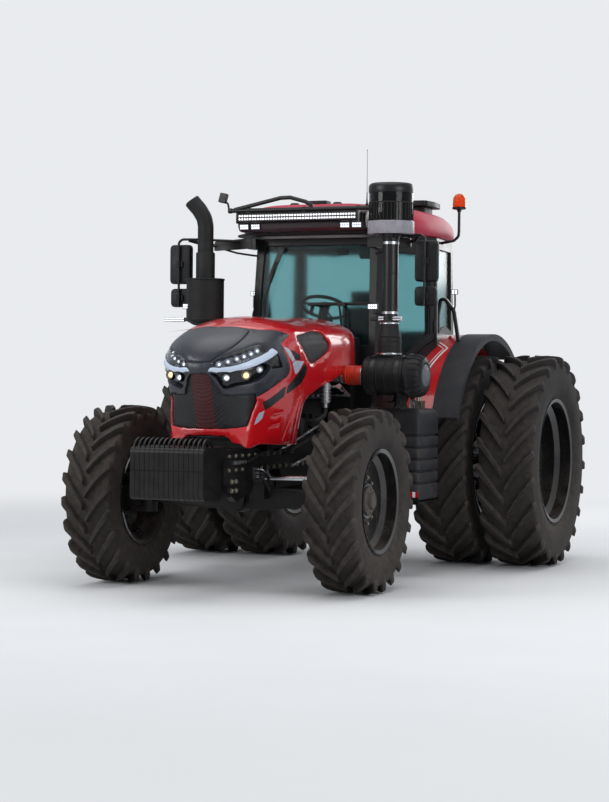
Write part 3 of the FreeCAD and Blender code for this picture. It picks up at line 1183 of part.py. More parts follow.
def make_roof():
    def plan(height, inset):
        front, rear = size.roof_front, -size.roof_rear
        left = [
            V(size.roof_half_front - inset, ahead(front - inset), height), V(size.roof_half_rear - inset, ahead(900), height),
            V(size.roof_half_rear - inset, ahead(150), height), V(size.roof_half_rear - 160 - inset, ahead(rear + inset), height),
        ]
        right = [V(-point.x, point.y, point.z) for point in reversed(left)]
        return Part.makePolygon(left + right + [left[0]])

    low, high = size.cab_roof + size.seat_gap, size.roof_top
    rise = high - low
    levels = ((low, 45), (low + rise * 0.3, 0), (low + rise * 0.72, 60), (high, 260))
    roof = Part.makeLoft([plan(height, inset) for height, inset in levels], True, True)
    node(shaped("Roof", roof), "roof")
    front = size.visor_front
    back = size.roof_front + size.seat_gap
    profile = [(front - 15, low + 25), (front, low + 60), (front - 6, low + 105), (front - 60, low + 165), (back, low + 165), (back, low), (back + 60, low)]
    visor = prism_x("Visor", profile, -size.roof_half_front - 30, size.roof_half_front + 30)
    node(shaped("Visor", visor), "roof_visor")
    bar = Part.makeBox(size.bar_half * 2, 45, size.bar_height, V(-size.bar_half, ahead(front + 45 + size.seat_gap), low + 70))
    for x in (-size.bar_half * 0.8, size.bar_half * 0.8):
        foot = Part.makeBox(40, 45, 30, V(x - 20, ahead(front + 45), low + 45))
        bar = bar.fuse(foot)
    bar = one_solid(bar)
    lamps = []
    for x in (-0.97, -0.77, 0.77, 0.97):
        centre = x * size.bar_half
        lamps.append(Part.makeBox(82, 46, 40, V(centre - 41, ahead(front + 30), low + 2)))
    lamps = [lamp.cut(visor) for lamp in lamps]
    node(shaped("WorkLamps", Part.makeCompound([bar] + [one_solid(lamp) for lamp in lamps])), "work_lamps")
    radius = size.rail_radius
    half, y, z = size.rail_half, ahead(size.rail_y), size.rail_z
    rail = Part.makeCylinder(radius, 2 * half, V(-half, y, z), V(1, 0, 0))
    for x in (-half * 0.78, 0, half * 0.78):
        stay = Part.makeBox(26, ahead(front - 90) - y, 16, V(x - 13, y, z - 12))
        post = Part.makeBox(26, 40, z - low - 165, V(x - 13, ahead(front - 90) - 40, low + 165 + size.seat_gap))
        rail = rail.fuse([stay, post])
    arch = tube([V(-half * 0.95, y, z), V(-half * 0.5, y, z + 72), V(-half * 0.1, y, z + 95), V(half * 0.14, y, z)], radius * 0.9, 160)
    post = Part.makeCylinder(radius * 0.7, 70, V(-half + radius, y, z - radius))
    lamp = Part.makeBox(60, 55, 70, V(-half - 15, y - 28, z + 50))
    mast = Part.makeCylinder(4, size.antenna_tip - z, V(half - 20, y, z))
    rail = rail.fuse([arch, post, lamp, mast])
    rail = one_solid(rail)
    pod = Part.makeBox(230, 480, 75, V(440, ahead(420), high - 30))
    pod = pod.makeFillet(25, [edge for edge in pod.Edges if edge.CenterOfMass.z > high + 30])
    dome = Part.makeCylinder(80, 62, V(0, ahead(500), high - 1))
    pod = one_solid(pod.cut(roof))
    dome = one_solid(dome.cut(roof))
    node(shaped("RoofUnits", Part.makeCompound([pod, dome])), "roof_units")
    x, y = size.beacon_x, ahead(size.beacon_y)
    arm = tube([V(size.middle_post_x - 60, y, low - 30), V(x, y, low - 30), V(x, y, size.beacon_base)], 13, 50)
    arm = one_solid(arm.cut(cab_solid(-size.seat_gap, 0, 0)).cut(roof))
    node(shaped("RoofRail", Part.makeCompound([rail, arm])), "roof_rail")
    beacon = turned("Beacon", [
        ("0", "0"), ("beacon_radius * 0.55", "0"), ("beacon_radius * 0.9", "12"), ("beacon_radius", "30"), ("beacon_radius", "50"), ("beacon_radius * 0.92", "52"),
        ("beacon_radius * 0.85", "100"), ("beacon_radius * 0.6", "130"), ("0", "140"),
    ], ("beacon_x", "axle_y - beacon_y", "beacon_base + seat_gap"), "V_Axis", "XZ_Plane")
    node(beacon, "beacon")


def make_mirrors():
    x, y = size.mirror_x, ahead(size.mirror_y)
    high = size.mirror_z + size.mirror_height + 15
    start = V(size.front_post_top_x - 20, ahead(size.front_post_top_y - 20), high)
    arm = tube([start, V(x, y, high), V(x, y, size.mirror_z - 190)], 12, 45)
    arm = max(arm.cut(cab_solid(-size.seat_gap)).Solids, key=lambda solid: solid.Volume)
    shell = Part.makeBox(size.mirror_width, size.mirror_depth, size.mirror_height, V(x - size.mirror_width / 2, y - size.mirror_depth / 2 - 20, size.mirror_z))
    shell = shell.makeFillet(22, shell.Edges)
    low = Part.makeBox(size.mirror_width * 0.95, size.mirror_depth * 0.9, 165, V(x - size.mirror_width * 0.475, y - size.mirror_depth / 2 - 18, size.mirror_z - 205))
    low = low.makeFillet(20, low.Edges)
    node(both_sides("Mirrors", shaped("MirrorLeft", one_solid(arm.fuse([shell, low])))), "mirrors")


def arch_ring(outer, inner, low_x, high_x, start, end):
    """Part of a ring about the fender's middle, between two angles from the level ahead."""
    def spot(radius, angle):
        turn = math.radians(angle)
        return V(low_x, ahead(size.fender_y) - radius * math.cos(turn), size.fender_z + radius * math.sin(turn))

    middle = (start + end) / 2
    edges = [
        Part.Arc(spot(outer, start), spot(outer, middle), spot(outer, end)).toShape(),
        Part.LineSegment(spot(outer, end), spot(inner, end)).toShape(),
        Part.Arc(spot(inner, end), spot(inner, middle), spot(inner, start)).toShape(),
        Part.LineSegment(spot(inner, start), spot(outer, start)).toShape(),
    ]
    return Part.Face(Part.Wire(edges)).extrude(V(high_x - low_x, 0, 0))


def make_fenders():
    radius, wall = size.fender_radius, size.fender_wall
    start, end = size.fender_start, size.fender_end
    skin = arch_ring(radius, radius - wall, size.fender_inner_x, size.fender_seam_x, start, end)
    side = arch_ring(radius - wall + 1, 300, size.fender_inner_x, size.fender_inner_x + 20, start, end)
    above = Part.makeBox(3000, 6000, 3000, V(-1500, ahead(4000), size.cab_floor + 45))
    panel = skin.fuse(side.common(above))
    node(both_sides("Fenders", shaped("FenderLeft", one_solid(panel))), "fenders")
    flare = arch_ring(radius + 6, radius - wall, size.fender_seam_x + size.seat_gap, size.fender_outer_x, start - 4, end)
    lip = arch_ring(radius - wall + 1, radius - size.flare_drop, size.fender_outer_x - 22, size.fender_outer_x, start - 4, end)
    node(both_sides("Flares", shaped("FlareLeft", one_solid(flare.fuse(lip)))), "fender_flares")
    y = ahead(500)
    foot = size.fender_z + math.sqrt(radius ** 2 - (500 - size.fender_y) ** 2) + size.seat_gap
    loop = tube([V(905, y, foot - 30), V(905, y, 2440), V(1000, y, 2400), V(1005 + 5, y, foot - 30)], 15, 40)
    loop = loop.cut([arch_cylinder(radius + size.seat_gap, 500, 1500), arch_cylinder(radius + 6 + size.seat_gap, size.fender_seam_x, 1500)])
    node(both_sides("GrabLoops", shaped("GrabLoopLeft", one_solid(loop))), "grab_loops")


def make_inside():
    floor = size.cab_floor + 41 + size.seat_gap
    y = ahead(420)
    base = Part.makeBox(420, 460, 330, V(-210, y - 230, floor))
    cushion = Part.makeBox(500, 480, 110, V(-250, y - 260, floor + 330 + size.seat_gap))
    cushion = cushion.makeFillet(30, cushion.Edges)
    back = Part.makeBox(480, 110, 620, V(-240, y + 150, floor + 430))
    back = back.makeFillet(35, back.Edges)
    node(shaped("Seat", one_solid(cushion.fuse(back))), "seat")
    console = Part.makeBox(300, 200, 640, V(-150, ahead(1400), floor))
    column = Part.makeCylinder(42, 260, V(0, ahead(1330), floor + 600), V(0, 0.5, 1))
    side = Part.makeBox(180, 620, 520, V(-520, ahead(700), floor))
    node(shaped("Console", Part.makeCompound([one_solid(console.fuse(column)), side, base])), "console")
    tilt = V(0, 0.5, 1).normalize()
    hub_at = V(0, ahead(1330), floor + 600) + tilt * (260 + size.seat_gap)
    ring = Part.makeTorus(size.wheel_hand_radius, 16, hub_at + tilt * 30, tilt)
    hub = Part.makeCylinder(45, 40, hub_at, tilt)
    wheel = ring.fuse(hub)
    spoke_dir = V(1, 0, 0)
    for angle in (90, 210, 330):
        direction = FreeCAD.Rotation(tilt, angle).multVec(spoke_dir)
        spoke = Part.makeCylinder(9, size.wheel_hand_radius, hub_at + tilt * 30, direction)
        wheel = wheel.fuse(spoke)
    node(shaped("SteeringWheel", one_solid(wheel)), "steering_wheel")


def make_hitch():
    x_front, x_eye = size.link_spread * 0.55, size.link_spread
    front, eye, z = size.link_front_y, size.link_eye_y, size.link_z
    half = size.link_thick / 2
    pin_y, eye_y = ahead(-front), ahead(-eye)
    case_rear = size.axle_y + 300
    links = []
    for side in (1, -1):
        start, end = V(side * x_front, pin_y, z), V(side * x_eye, eye_y, z)
        along = (end - start).normalize()
        bar = Part.makeBox(half * 2, (end - start).Length, half * 3, V(-half, 0, -half * 1.5))
        turn = FreeCAD.Rotation(V(0, 1, 0), along)
        bar.Placement = FreeCAD.Placement(start, turn)
        balls = [Part.makeCylinder(half * 2, half * 2, V(spot.x - half, spot.y, spot.z), V(1, 0, 0)) for spot in (start, end)]
        link = bar.fuse(balls)
        holes = [Part.makeCylinder(radius, 200, V(spot.x - 100, spot.y, spot.z), V(1, 0, 0)) for spot, radius in ((start, 14 + size.fit), (end, size.link_bore))]
        links.append(one_solid(link.cut(holes)))
    node(shaped("LowerLinks", Part.makeCompound(links)), "lower_links")
    low = size.gearbox_bottom - 40
    bracket = None
    for side in (1, -1):
        plate_x = side * (x_front - 45)
        plate = Part.makeBox(30, 190, low - z + 120, V(plate_x - 15, pin_y - 95, z - 60))
        pin = Part.makeCylinder(14, 90, V(plate_x, pin_y, z), V(side, 0, 0))
        piece = plate.fuse(pin)
        bracket = piece if bracket is None else Part.makeCompound([bracket, piece])
    housing = Part.makeBox(size.rear_case_width, 620, size.gearbox_top - size.gearbox_bottom + 90, V(-size.rear_case_width / 2, size.axle_y - 320, low))
    bracket = bracket.cut(housing)
    lift_y, lift_z = ahead(-size.lift_y), size.lift_z
    arm_x = size.link_spread * 0.79
    shaft = Part.makeCylinder(45, arm_x * 2, V(-arm_x, lift_y, lift_z), V(1, 0, 0))
    for side in (1, -1):
        arm = Part.makeBox(36, size.lift_reach, 70, V(side * arm_x - 18, lift_y, lift_z - 35))
        boss = Part.makeCylinder(62, 36, V(side * arm_x - 18, lift_y, lift_z), V(1, 0, 0))
        end = Part.makeCylinder(38, 36, V(side * arm_x - 18, lift_y + size.lift_reach, lift_z), V(1, 0, 0))
        pin = Part.makeCylinder(13, 60, V(side * arm_x, lift_y + size.lift_reach, lift_z), V(side, 0, 0))
        shaft = shaft.fuse([arm, boss, end, pin])
    node(shaped("LiftArms", one_solid(shaft)), "lift_arms")
    cradles = []
    for side in (1, -1):
        block_x = side * size.rear_case_width * 0.3
        deep = lift_y + 70 - case_rear
        carrier = Part.makeBox(90, deep - size.seat_gap, 140, V(block_x - 45, case_rear + size.seat_gap, lift_z - 70))
        carrier = carrier.cut(Part.makeCylinder(45 + size.fit, 200, V(block_x - 100, lift_y, lift_z), V(1, 0, 0)))
        cradles.append(carrier)
    rods = []
    for side in (1, -1):
        rod_x = side * (arm_x + 18 + 20)
        y = lift_y + size.lift_reach
        upper = Part.makeCylinder(34, 36, V(rod_x - 18, y, lift_z), V(1, 0, 0))
        stem = Part.makeCylinder(20, lift_z - z - 20, V(rod_x, y, z + 20))
        sleeve = Part.makeCylinder(30, 260, V(rod_x, y, z + 260))
        lower = Part.makeCylinder(30, 36, V(rod_x - 18, y, z + 30), V(1, 0, 0))
        rod_piece = upper.fuse([stem, sleeve, lower]).cut(Part.makeCylinder(13 + size.fit, 100, V(rod_x - 50, y, lift_z), V(1, 0, 0)))
        rods.append(one_solid(rod_piece))
    node(shaped("LiftRods", Part.makeCompound(rods)), "lift_rods")
    tip = ahead(-size.drawbar_tip)
    bar = Part.makeBox(size.drawbar_width, tip - size.axle_y + 350, size.drawbar_thick, V(-size.drawbar_width / 2, size.axle_y - 350, size.drawbar_z))
    hole = Part.makeCylinder(size.drawbar_bore, 100, V(0, tip - 60, size.drawbar_z - 20))
    top = size.drawbar_z + size.drawbar_thick
    hanger = Part.makeBox(170, 120, low - top, V(-85, case_rear - 130, top))
    rear_hanger = Part.makeBox(170, 120, low - top, V(-85, size.axle_y - 300, top))
    node(shaped("Drawbar", one_solid(bar.cut(hole).fuse([hanger, rear_hanger]))), "drawbar")
    plate = Part.makeBox(260, 60, 270, V(-130, case_rear + size.seat_gap, size.gearbox_top - 330))
    stub = Part.makeCylinder(size.pto_radius, 95, V(0, case_rear + 59, size.gearbox_top - 480 + 190), V(0, 1, 0))
    ear = Part.makeBox(90, 80, 70, V(-45, case_rear + 59, size.gearbox_top - 140))
    top_link = Part.makeCylinder(24, 470, V(0, case_rear + 110, size.gearbox_top - 105), V(0, 1, 0.9))
    frame = one_solid(plate.fuse([stub, ear, top_link]))
    node(shaped("HitchFrame", Part.makeCompound([frame] + cradles + bracket.Solids)), "hitch_frame")


def build():
    make_tyres()
    make_rims()
    make_knuckles()
    make_front_axle()
    make_front_frame()
    make_weights()
    make_engine()
    make_transmission()
    make_bonnet()
    make_side_boxes()
    make_stacks()
    make_cab()
    make_roof()
    make_mirrors()
    make_fenders()
    make_inside()
    make_hitch()
    doc.recompute()


def check_and_write():
    for item in doc.Objects:
        if "Invalid" in item.State or "Error" in item.State:
            raise RuntimeError(f"{item.Name} failed: {item.State}")
    for item in NODES:
        if item.Shape.isNull() or not item.Shape.isValid() or not item.Shape.Solids:
            raise RuntimeError(f"{item.Label} has no valid solid")
    os.makedirs("parts", exist_ok=True)
    for item in NODES:
        item.Shape.exportStep(f"parts/{item.Label}.step")
        box = item.Shape.BoundBox
        print(item.Label, len(item.Shape.Solids), [round(number) for number in (box.XMin, box.XMax, box.YMin, box.YMax, box.ZMin, box.ZMax)])


build()
check_and_write()
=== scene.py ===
# %% [markdown]
# # A farm tractor with twin rear wheels
# The CAD solids arrive as a fixed frame, in metres. X is across, Y runs to the rear, Z is up.
# This lesson gives each surface its finish, and swaps the plain forms for finer ones.

# %% Load the frame
import math

import bmesh
import bpy
import numpy as np
from mathutils import Matrix, Vector
from mathutils.bvhtree import BVHTree
from mathutils.geometry import delaunay_2d_cdt


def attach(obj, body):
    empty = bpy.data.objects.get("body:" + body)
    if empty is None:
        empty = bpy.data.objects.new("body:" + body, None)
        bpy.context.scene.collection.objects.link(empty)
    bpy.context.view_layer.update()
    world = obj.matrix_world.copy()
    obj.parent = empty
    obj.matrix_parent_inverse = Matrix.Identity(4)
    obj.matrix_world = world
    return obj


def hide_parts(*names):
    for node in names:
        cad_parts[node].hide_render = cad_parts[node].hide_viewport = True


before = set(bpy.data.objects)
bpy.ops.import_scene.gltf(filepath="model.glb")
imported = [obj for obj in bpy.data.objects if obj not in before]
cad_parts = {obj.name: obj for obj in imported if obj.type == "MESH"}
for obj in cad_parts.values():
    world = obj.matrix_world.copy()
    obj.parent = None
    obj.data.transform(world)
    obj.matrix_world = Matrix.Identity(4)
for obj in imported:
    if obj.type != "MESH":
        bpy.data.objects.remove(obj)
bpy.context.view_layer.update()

scene = bpy.context.scene

# %% [markdown]
# ## Camera, floor and light
# The camera stands 18 m from the tractor's middle, in front and to its left, 1.7 m above the ground.
# Its place, turn and focal length come from fitting the wheels' outlines.

# %% Camera
EYE = Vector((6.756, -16.583, 1.728))
YAW, PITCH, ROLL = (math.radians(angle) for angle in (22.219, 0.714, 0.489))
FOCAL_LENGTH, SENSOR_WIDTH, CLIP_END = 91.44, 36, 200
ahead_axis = Vector((-math.sin(YAW) * math.cos(PITCH), math.cos(YAW) * math.cos(PITCH), -math.sin(PITCH)))
level_right = Vector((math.cos(YAW), math.sin(YAW), 0))
level_up = level_right.cross(ahead_axis)
right = level_right * math.cos(ROLL) + level_up * math.sin(ROLL)
up = level_up * math.cos(ROLL) - level_right * math.sin(ROLL)
camera = bpy.data.objects.new("Camera", bpy.data.cameras.new("Camera"))
scene.collection.objects.link(camera)
camera.matrix_world = Matrix.Translation(EYE) @ Matrix((right, up, -ahead_axis)).transposed().to_4x4()
camera.data.lens = FOCAL_LENGTH
camera.data.sensor_width = SENSOR_WIDTH
camera.data.clip_end = CLIP_END
scene.camera = camera
scene.view_settings.view_transform = "Standard"
print("camera", [round(value, 3) for value in EYE], "lens", FOCAL_LENGTH)


# %% Colours and nodes
def linear(code):
    """An sRGB hex colour as linear RGBA."""
    parts = [int(code[place:place + 2], 16) / 255 for place in (1, 3, 5)]
    return [part / 12.92 if part <= 0.04045 else ((part + 0.055) / 1.055) ** 2.4 for part in parts] + [1.0]


def add(tree, kind, settings=None, links=None):
    """Adds a node, sets its sockets or its own settings, and links its inputs."""
    item = tree.nodes.new("ShaderNode" + kind)
    for key, value in (settings or {}).items():
        if isinstance(key, int) or key in item.inputs:
            item.inputs[key].default_value = value
        else:
            setattr(item, key, value)
    for key, source in (links or {}).items():
        tree.links.new(source, item.inputs[key])
    return item


def new_material(name, **sockets):
    """A material with one Principled shader, and the object's own coordinates in metres."""
    made = bpy.data.materials.new(name)
    made.use_nodes = True
    tree = made.node_tree
    tree.nodes.clear()
    shader = add(tree, "BsdfPrincipled", {key.replace("_", " "): value for key, value in sockets.items()})
    add(tree, "OutputMaterial", links={"Surface": shader.outputs["BSDF"]})
    place = add(tree, "TexCoord").outputs["Object"]
    return made, tree, shader, place


def noise(tree, place, scale, detail, rough=0.5):
    """Cloudy noise from 0 to 1."""
    return add(tree, "TexNoise", {"Scale": scale, "Detail": detail, "Roughness": rough},
               {"Vector": place}).outputs["Fac"]


def ramp(tree, value, low, high, start=0.0, end=1.0, **settings):
    """Maps a value from low and high to start and end, and holds it there."""
    ranges = {"From Min": low, "From Max": high, "To Min": start, "To Max": end}
    return add(tree, "MapRange", {**ranges, **settings}, {"Value": value}).outputs["Result"]


def tones_by(tree, tones, share):
    """One colour that goes from the first tone to the second with a share."""
    return add(tree, "Mix", {"data_type": "RGBA", 6: linear(tones[0]), 7: linear(tones[1])}, {0: share}).outputs[2]


def times(tree, one, two, clamp=False):
    """The product of two values."""
    return add(tree, "Math", {"operation": "MULTIPLY", "use_clamp": clamp}, {0: one, 1: two}).outputs[0]


def bumps(tree, height, strength, distance):
    """A normal roughened by a height."""
    return add(tree, "Bump", {"Strength": strength, "Distance": distance}, {"Height": height}).outputs["Normal"]


def feed(tree, shader, **sources):
    """Links sources to a shader's sockets, named with _ for a space."""
    for key, source in sources.items():
        tree.links.new(source, shader.inputs[key.replace("_", " ")])


DUST, DUST_ROUGHNESS = "#75695E", 0.85


def finish(name, tones, blotch=0.35, rough=(0.4, 0.5), grain=0, depth=0, dust=0.0, dust_top=1.9, **sockets):
    """A finish whose colour wanders between two tones, with a fine grain and field dust low down.
    blotch and grain are sizes in metres, depth is the grain's height in metres, dust is how much settles."""
    made, tree, shader, place = new_material(name, **sockets)
    shade = tones_by(tree, tones, ramp(tree, noise(tree, place, 1 / blotch, 4.0, 0.6), 0.35, 0.65))
    smear = noise(tree, place, 3.1 / blotch, 5.0, 0.65)
    dull = ramp(tree, smear, 0.3, 0.7, *rough)
    if dust:
        height = add(tree, "SeparateXYZ", links={"Vector": place}).outputs["Z"]
        normal = add(tree, "NewGeometry").outputs["Normal"]
        facing = add(tree, "SeparateXYZ", links={"Vector": normal}).outputs["Z"]
        low = ramp(tree, height, dust_top, 0.1, 0.05, 1.0)
        lying = ramp(tree, facing, -0.2, 1.0, 0.45, 1.2)
        patchy = ramp(tree, smear, 0.3, 0.75, 0.2, 1.4)
        settled = times(tree, times(tree, low, lying), patchy, clamp=True)
        amount = add(tree, "Math", {"operation": "MULTIPLY", 1: dust, "use_clamp": True}, {0: settled}).outputs[0]
        shade = add(tree, "Mix", {"data_type": "RGBA", 7: linear(DUST)}, {0: amount, 6: shade}).outputs[2]
        dull = add(tree, "Mix", {"data_type": "FLOAT", 3: DUST_ROUGHNESS}, {0: amount, 2: dull}).outputs[0]
    feed(tree, shader, Base_Color=shade, Roughness=dull)
    if grain:
        feed(tree, shader, Normal=bumps(tree, noise(tree, place, 1 / grain, 2.0), 0.6, depth))
    return made


# %% Materials
RED = finish("red_acrylic_enamel", ("#B80712", "#C40A17"), 0.9, (0.2, 0.28), 0.006, 0.00004, 0.16, 1.8, Coat_Weight=0.8,
             Coat_Roughness=0.05)
# The roof is red enamel; its pinkish crimson tone is a painted reflection of the sky, not the paint's own colour.
ROOF_RED_SKY_TINTED = finish("red_roof_enamel_painted_sky_tint", ("#9C1230", "#A81A3A"), 0.9, (0.42, 0.52), 0.006, 0.00004, 0.1, 4.0,
                  Specular_IOR_Level=0.3)
SLATE = finish("charcoal_moulded_abs", ("#23262E", "#2A2E37"), 0.5, (0.3, 0.4), 0.0016, 0.00006, 0.1, 2.2)
BLACK_STEEL = finish("black_powder_coated_steel", ("#08080A", "#0E0F11"), 0.3, (0.3, 0.42), 0.003, 0.00008, 0.14, 1.6,
                     Specular_IOR_Level=0.25)
CAST = finish("painted_cast_iron", ("#0C0D0F", "#151618"), 0.25, (0.42, 0.6), 0.005, 0.0006, 0.22, 1.5,
              Specular_IOR_Level=0.25)
RIM_BLACK = finish("gloss_black_rim_enamel", ("#08080A", "#101113"), 0.5, (0.16, 0.28), 0.004, 0.00005, 0.3, 1.2,
                   Coat_Weight=0.4, Coat_Roughness=0.08)
BLACK_PLASTIC = finish("grained_black_polypropylene", ("#0D0E10", "#151619"), 0.3, (0.4, 0.55), 0.0018, 0.00015, 0.14,
                       2.0, Specular_IOR_Level=0.25)
FLARE_PLASTIC = finish("slate_grained_polypropylene", ("#1B1E24", "#23272E"), 0.4, (0.5, 0.62), 0.0022, 0.0002, 0.3,
                       2.4, Specular_IOR_Level=0.25)
RUBBER = finish("dusty_tyre_rubber", ("#131314", "#222021"), 0.16, (0.72, 0.9), 0.004, 0.0006, 0.42, 2.6,
                Specular_IOR_Level=0.3)
SOFT_RUBBER = finish("black_epdm_rubber", ("#0E0E0F", "#171718"), 0.2, (0.55, 0.7), 0.002, 0.0001, 0.1,
                     Specular_IOR_Level=0.35)
ALUMINIUM = finish("cast_aluminium", ("#8B8C8E", "#A0A1A3"), 0.1, (0.34, 0.5), 0.003, 0.0003, 0.3, 1.8, Metallic=1.0)
CHROME = finish("chromed_steel", ("#C8CACD", "#D9DBDE"), 0.2, (0.07, 0.14), Metallic=1.0)
ZINC = finish("zinc_plated_steel", ("#8F8A7C", "#A7A294"), 0.03, (0.3, 0.45), 0.002, 0.0001, 0.4, 1.5, Metallic=1.0)
BRONZE_GREY = finish("dusty_cast_hub_paint", ("#3B3633", "#4A443F"), 0.1, (0.5, 0.68), 0.004, 0.0005, 0.3, 1.4)
MATT_BLACK = finish("heat_proof_matt_black", ("#0A0A0B", "#111213"), 0.2, (0.55, 0.7), 0.0015, 0.0001, 0.05,
                    Specular_IOR_Level=0.35)
SATIN_BLACK = finish("satin_black_tube_enamel", ("#0B0B0C", "#121314"), 0.2, (0.28, 0.4), 0.003, 0.00005, 0.08,
                     Specular_IOR_Level=0.35)
SILICONE = finish("ribbed_red_silicone", ("#C5301A", "#D63A20"), 0.1, (0.35, 0.48), 0.002, 0.0001)
SILVER_FILM = finish("silver_decal_film", ("#A9B4C4", "#BAC5D3"), 0.2, (0.25, 0.34), Metallic=0.2)
BLACK_FILM = finish("black_decal_film", ("#0E0F12", "#15161A"), 0.2, (0.2, 0.3))
GREY_DISC = finish("grey_filter_cap", ("#4A4E55", "#5A5E65"), 0.1, (0.45, 0.55), 0.002, 0.0001)
GLOSS_BLACK = finish("gloss_black_abs", ("#08090B", "#101216"), 0.3, (0.1, 0.18), 0.004, 0.00003, 0.05)
DARK_CHROME = finish("dark_vacuum_chrome", ("#5A5F68", "#6E747E"), 0.08, (0.12, 0.2), Metallic=1.0)
INTERIOR = finish("grey_cab_trim", ("#2B2C2E", "#36373A"), 0.2, (0.6, 0.75), 0.002, 0.0002)
HEADLINER = finish("pale_grey_headliner_felt", ("#8A8C8C", "#999B9A"), 0.2, (0.85, 0.95), 0.003, 0.0005)
GRIP = finish("polyurethane_grip", ("#101011", "#19191A"), 0.1, (0.5, 0.62), 0.0012, 0.0001)


def clear(name, tint, rough, **sockets):
    """A clear or tinted solid, with faint smears on its face."""
    made, tree, shader, place = new_material(name, Transmission_Weight=1.0, **sockets)
    smear = noise(tree, place, 6.0, 4.0, 0.6)
    feed(tree, shader, Roughness=ramp(tree, smear, 0.3, 0.8, *rough), Base_Color=tones_by(tree, tint, smear))
    return made


CAB_GLASS = clear("tinted_safety_glass", ("#9CC6C8", "#A8CFD2"), (0.17, 0.22), IOR=1.17)
LENS = clear("clear_polycarbonate", ("#F2F6FA", "#FFFFFF"), (0.0, 0.03), IOR=1.3)
BOWL = clear("smoked_polycarbonate", ("#3A3D41", "#484B50"), (0.05, 0.12), IOR=1.3)
SKIRT = finish("milky_polycarbonate", ("#A5A3AC", "#B9B7C0"), 0.05, (0.3, 0.45), 0.004, 0.0001,
               Transmission_Weight=0.45, IOR=1.3)
AMBER = clear("amber_acrylic", ("#F07A1C", "#F58A2C"), (0.08, 0.16), IOR=1.3)
ZINC_BRIGHT = finish("bright_zinc_clamp", ("#A9ACB0", "#BDC0C4"), 0.05, (0.22, 0.34), 0.002, 0.00005, Metallic=1.0)
MIRROR_GLASS = finish("silvered_mirror_glass", ("#C9CED3", "#D4D9DD"), 0.3, (0.02, 0.05), Metallic=1.0)
VISOR = finish("plum_black_visor_abs", ("#231219", "#2C171F"), 0.4, (0.25, 0.36), 0.002, 0.00006)
HEADLINER_DARK = finish("black_roof_underside", ("#131316", "#1C1C20"), 0.3, (0.6, 0.75), 0.002, 0.0001)
WHITE_FILM = finish("white_reflective_film", ("#D9DCE0", "#E6E8EB"), 0.1, (0.25, 0.35), 0.002, 0.00003, 0.1, 2.2)
RADIATOR = finish("black_radiator_core", ("#101113", "#191A1D"), 0.1, (0.5, 0.65), 0.004, 0.0008, 0.3, 1.8,
                  Specular_IOR_Level=0.3)
MARKER = finish("red_tail_lens", ("#A01218", "#B5161D"), 0.02, (0.12, 0.2))
ORANGE_LENS = finish("orange_turn_lens", ("#D9590A", "#E8660E"), 0.02, (0.12, 0.2))


def lit(name, tones, strength, rough=0.3, **sockets):
    """A lamp face that glows a little, finely ribbed like the moulded lens."""
    made, tree, shader, place = new_material(name, Roughness=rough, Emission_Strength=strength, **sockets)
    ribs = add(tree, "TexWave", {"Scale": 60.0, "Distortion": 0.5}, {"Vector": place}).outputs["Fac"]
    tone = tones_by(tree, tones, ribs)
    feed(tree, shader, Base_Color=tone, Emission_Color=tone)
    return made


LED_FACE = lit("led_lamp_face", ("#8F98A6", "#B7BFCB"), 0.35)
LED = lit("white_led_lens", ("#E9EEF6", "#FFFFFF"), 1.1)
LIGHT_GUIDE = lit("frosted_light_guide", ("#AEBBD0", "#C2CDDD"), 0.12, 0.22)
WARM_LAMP = lit("warm_bulb_lamp", ("#F3C888", "#FFE3B4"), 1.3)
SCREEN = lit("display_glass", ("#0E2433", "#14384E"), 0.25, 0.12)
BEACON_CORE = lit("beacon_reflector", ("#E87828", "#FFB468"), 0.3)


# %% Grille mesh
def mesh_panel(name, wire, shaded_opening, pitch):
    """Woven or pressed mesh: dark wire at a pitch in metres, its openings a darker painted shade for the dark space
    behind them.
    """
    made, tree, shader, place = new_material(name, Roughness=0.5)
    pattern = {"Scale": 1 / pitch, "Randomness": 0.0, "feature": "DISTANCE_TO_EDGE"}
    cells = add(tree, "TexVoronoi", pattern, {"Vector": place}).outputs["Distance"]
    wires = ramp(tree, cells, 0.1, 0.2, 1.0, 0.0)
    feed(tree, shader, Base_Color=tones_by(tree, (shaded_opening, wire), wires), Normal=bumps(tree, wires, 0.8, 0.002))
    return made


# Each mesh's second colour is painted shade: its openings are drawn near black for the dark space behind them.
GRILLE_MESH = mesh_panel("fine_black_grille_mesh", "#1C1D20", "#050506", 0.009)
GRILLE_RED = mesh_panel("red_backed_grille_mesh", "#4E0F14", "#1B0507", 0.009)
VENT_MESH = mesh_panel("side_vent_mesh", "#26282C", "#08080A", 0.011)


def seat_cloth():
    """Woven polyester: crossed threads 2 mm apart, drawn a little coarse so that they show."""
    made, tree, shader, place = new_material("woven_seat_polyester", Roughness=0.9, Sheen_Weight=0.3)
    threads = {"Scale": 160.0, "Distortion": 0.6}
    across, along = (
        add(tree, "TexWave", {**threads, "bands_direction": axis}, {"Vector": place}).outputs["Fac"]
        for axis in ("X", "Z")
    )
    weave = times(tree, across, along)
    feed(tree, shader, Base_Color=tones_by(tree, ("#232427", "#3A3B3F"), weave), Normal=bumps(tree, weave, 0.5, 0.0008))
    return made


SEAT_CLOTH = seat_cloth()
print("materials", len(bpy.data.materials))

# %% [markdown]
# ## Floor and light
# A pale floor and a big soft sky of lamps, so that colours render about as they are written.


# %% Floor and lamps
BACKDROP = "#E9EBEE"


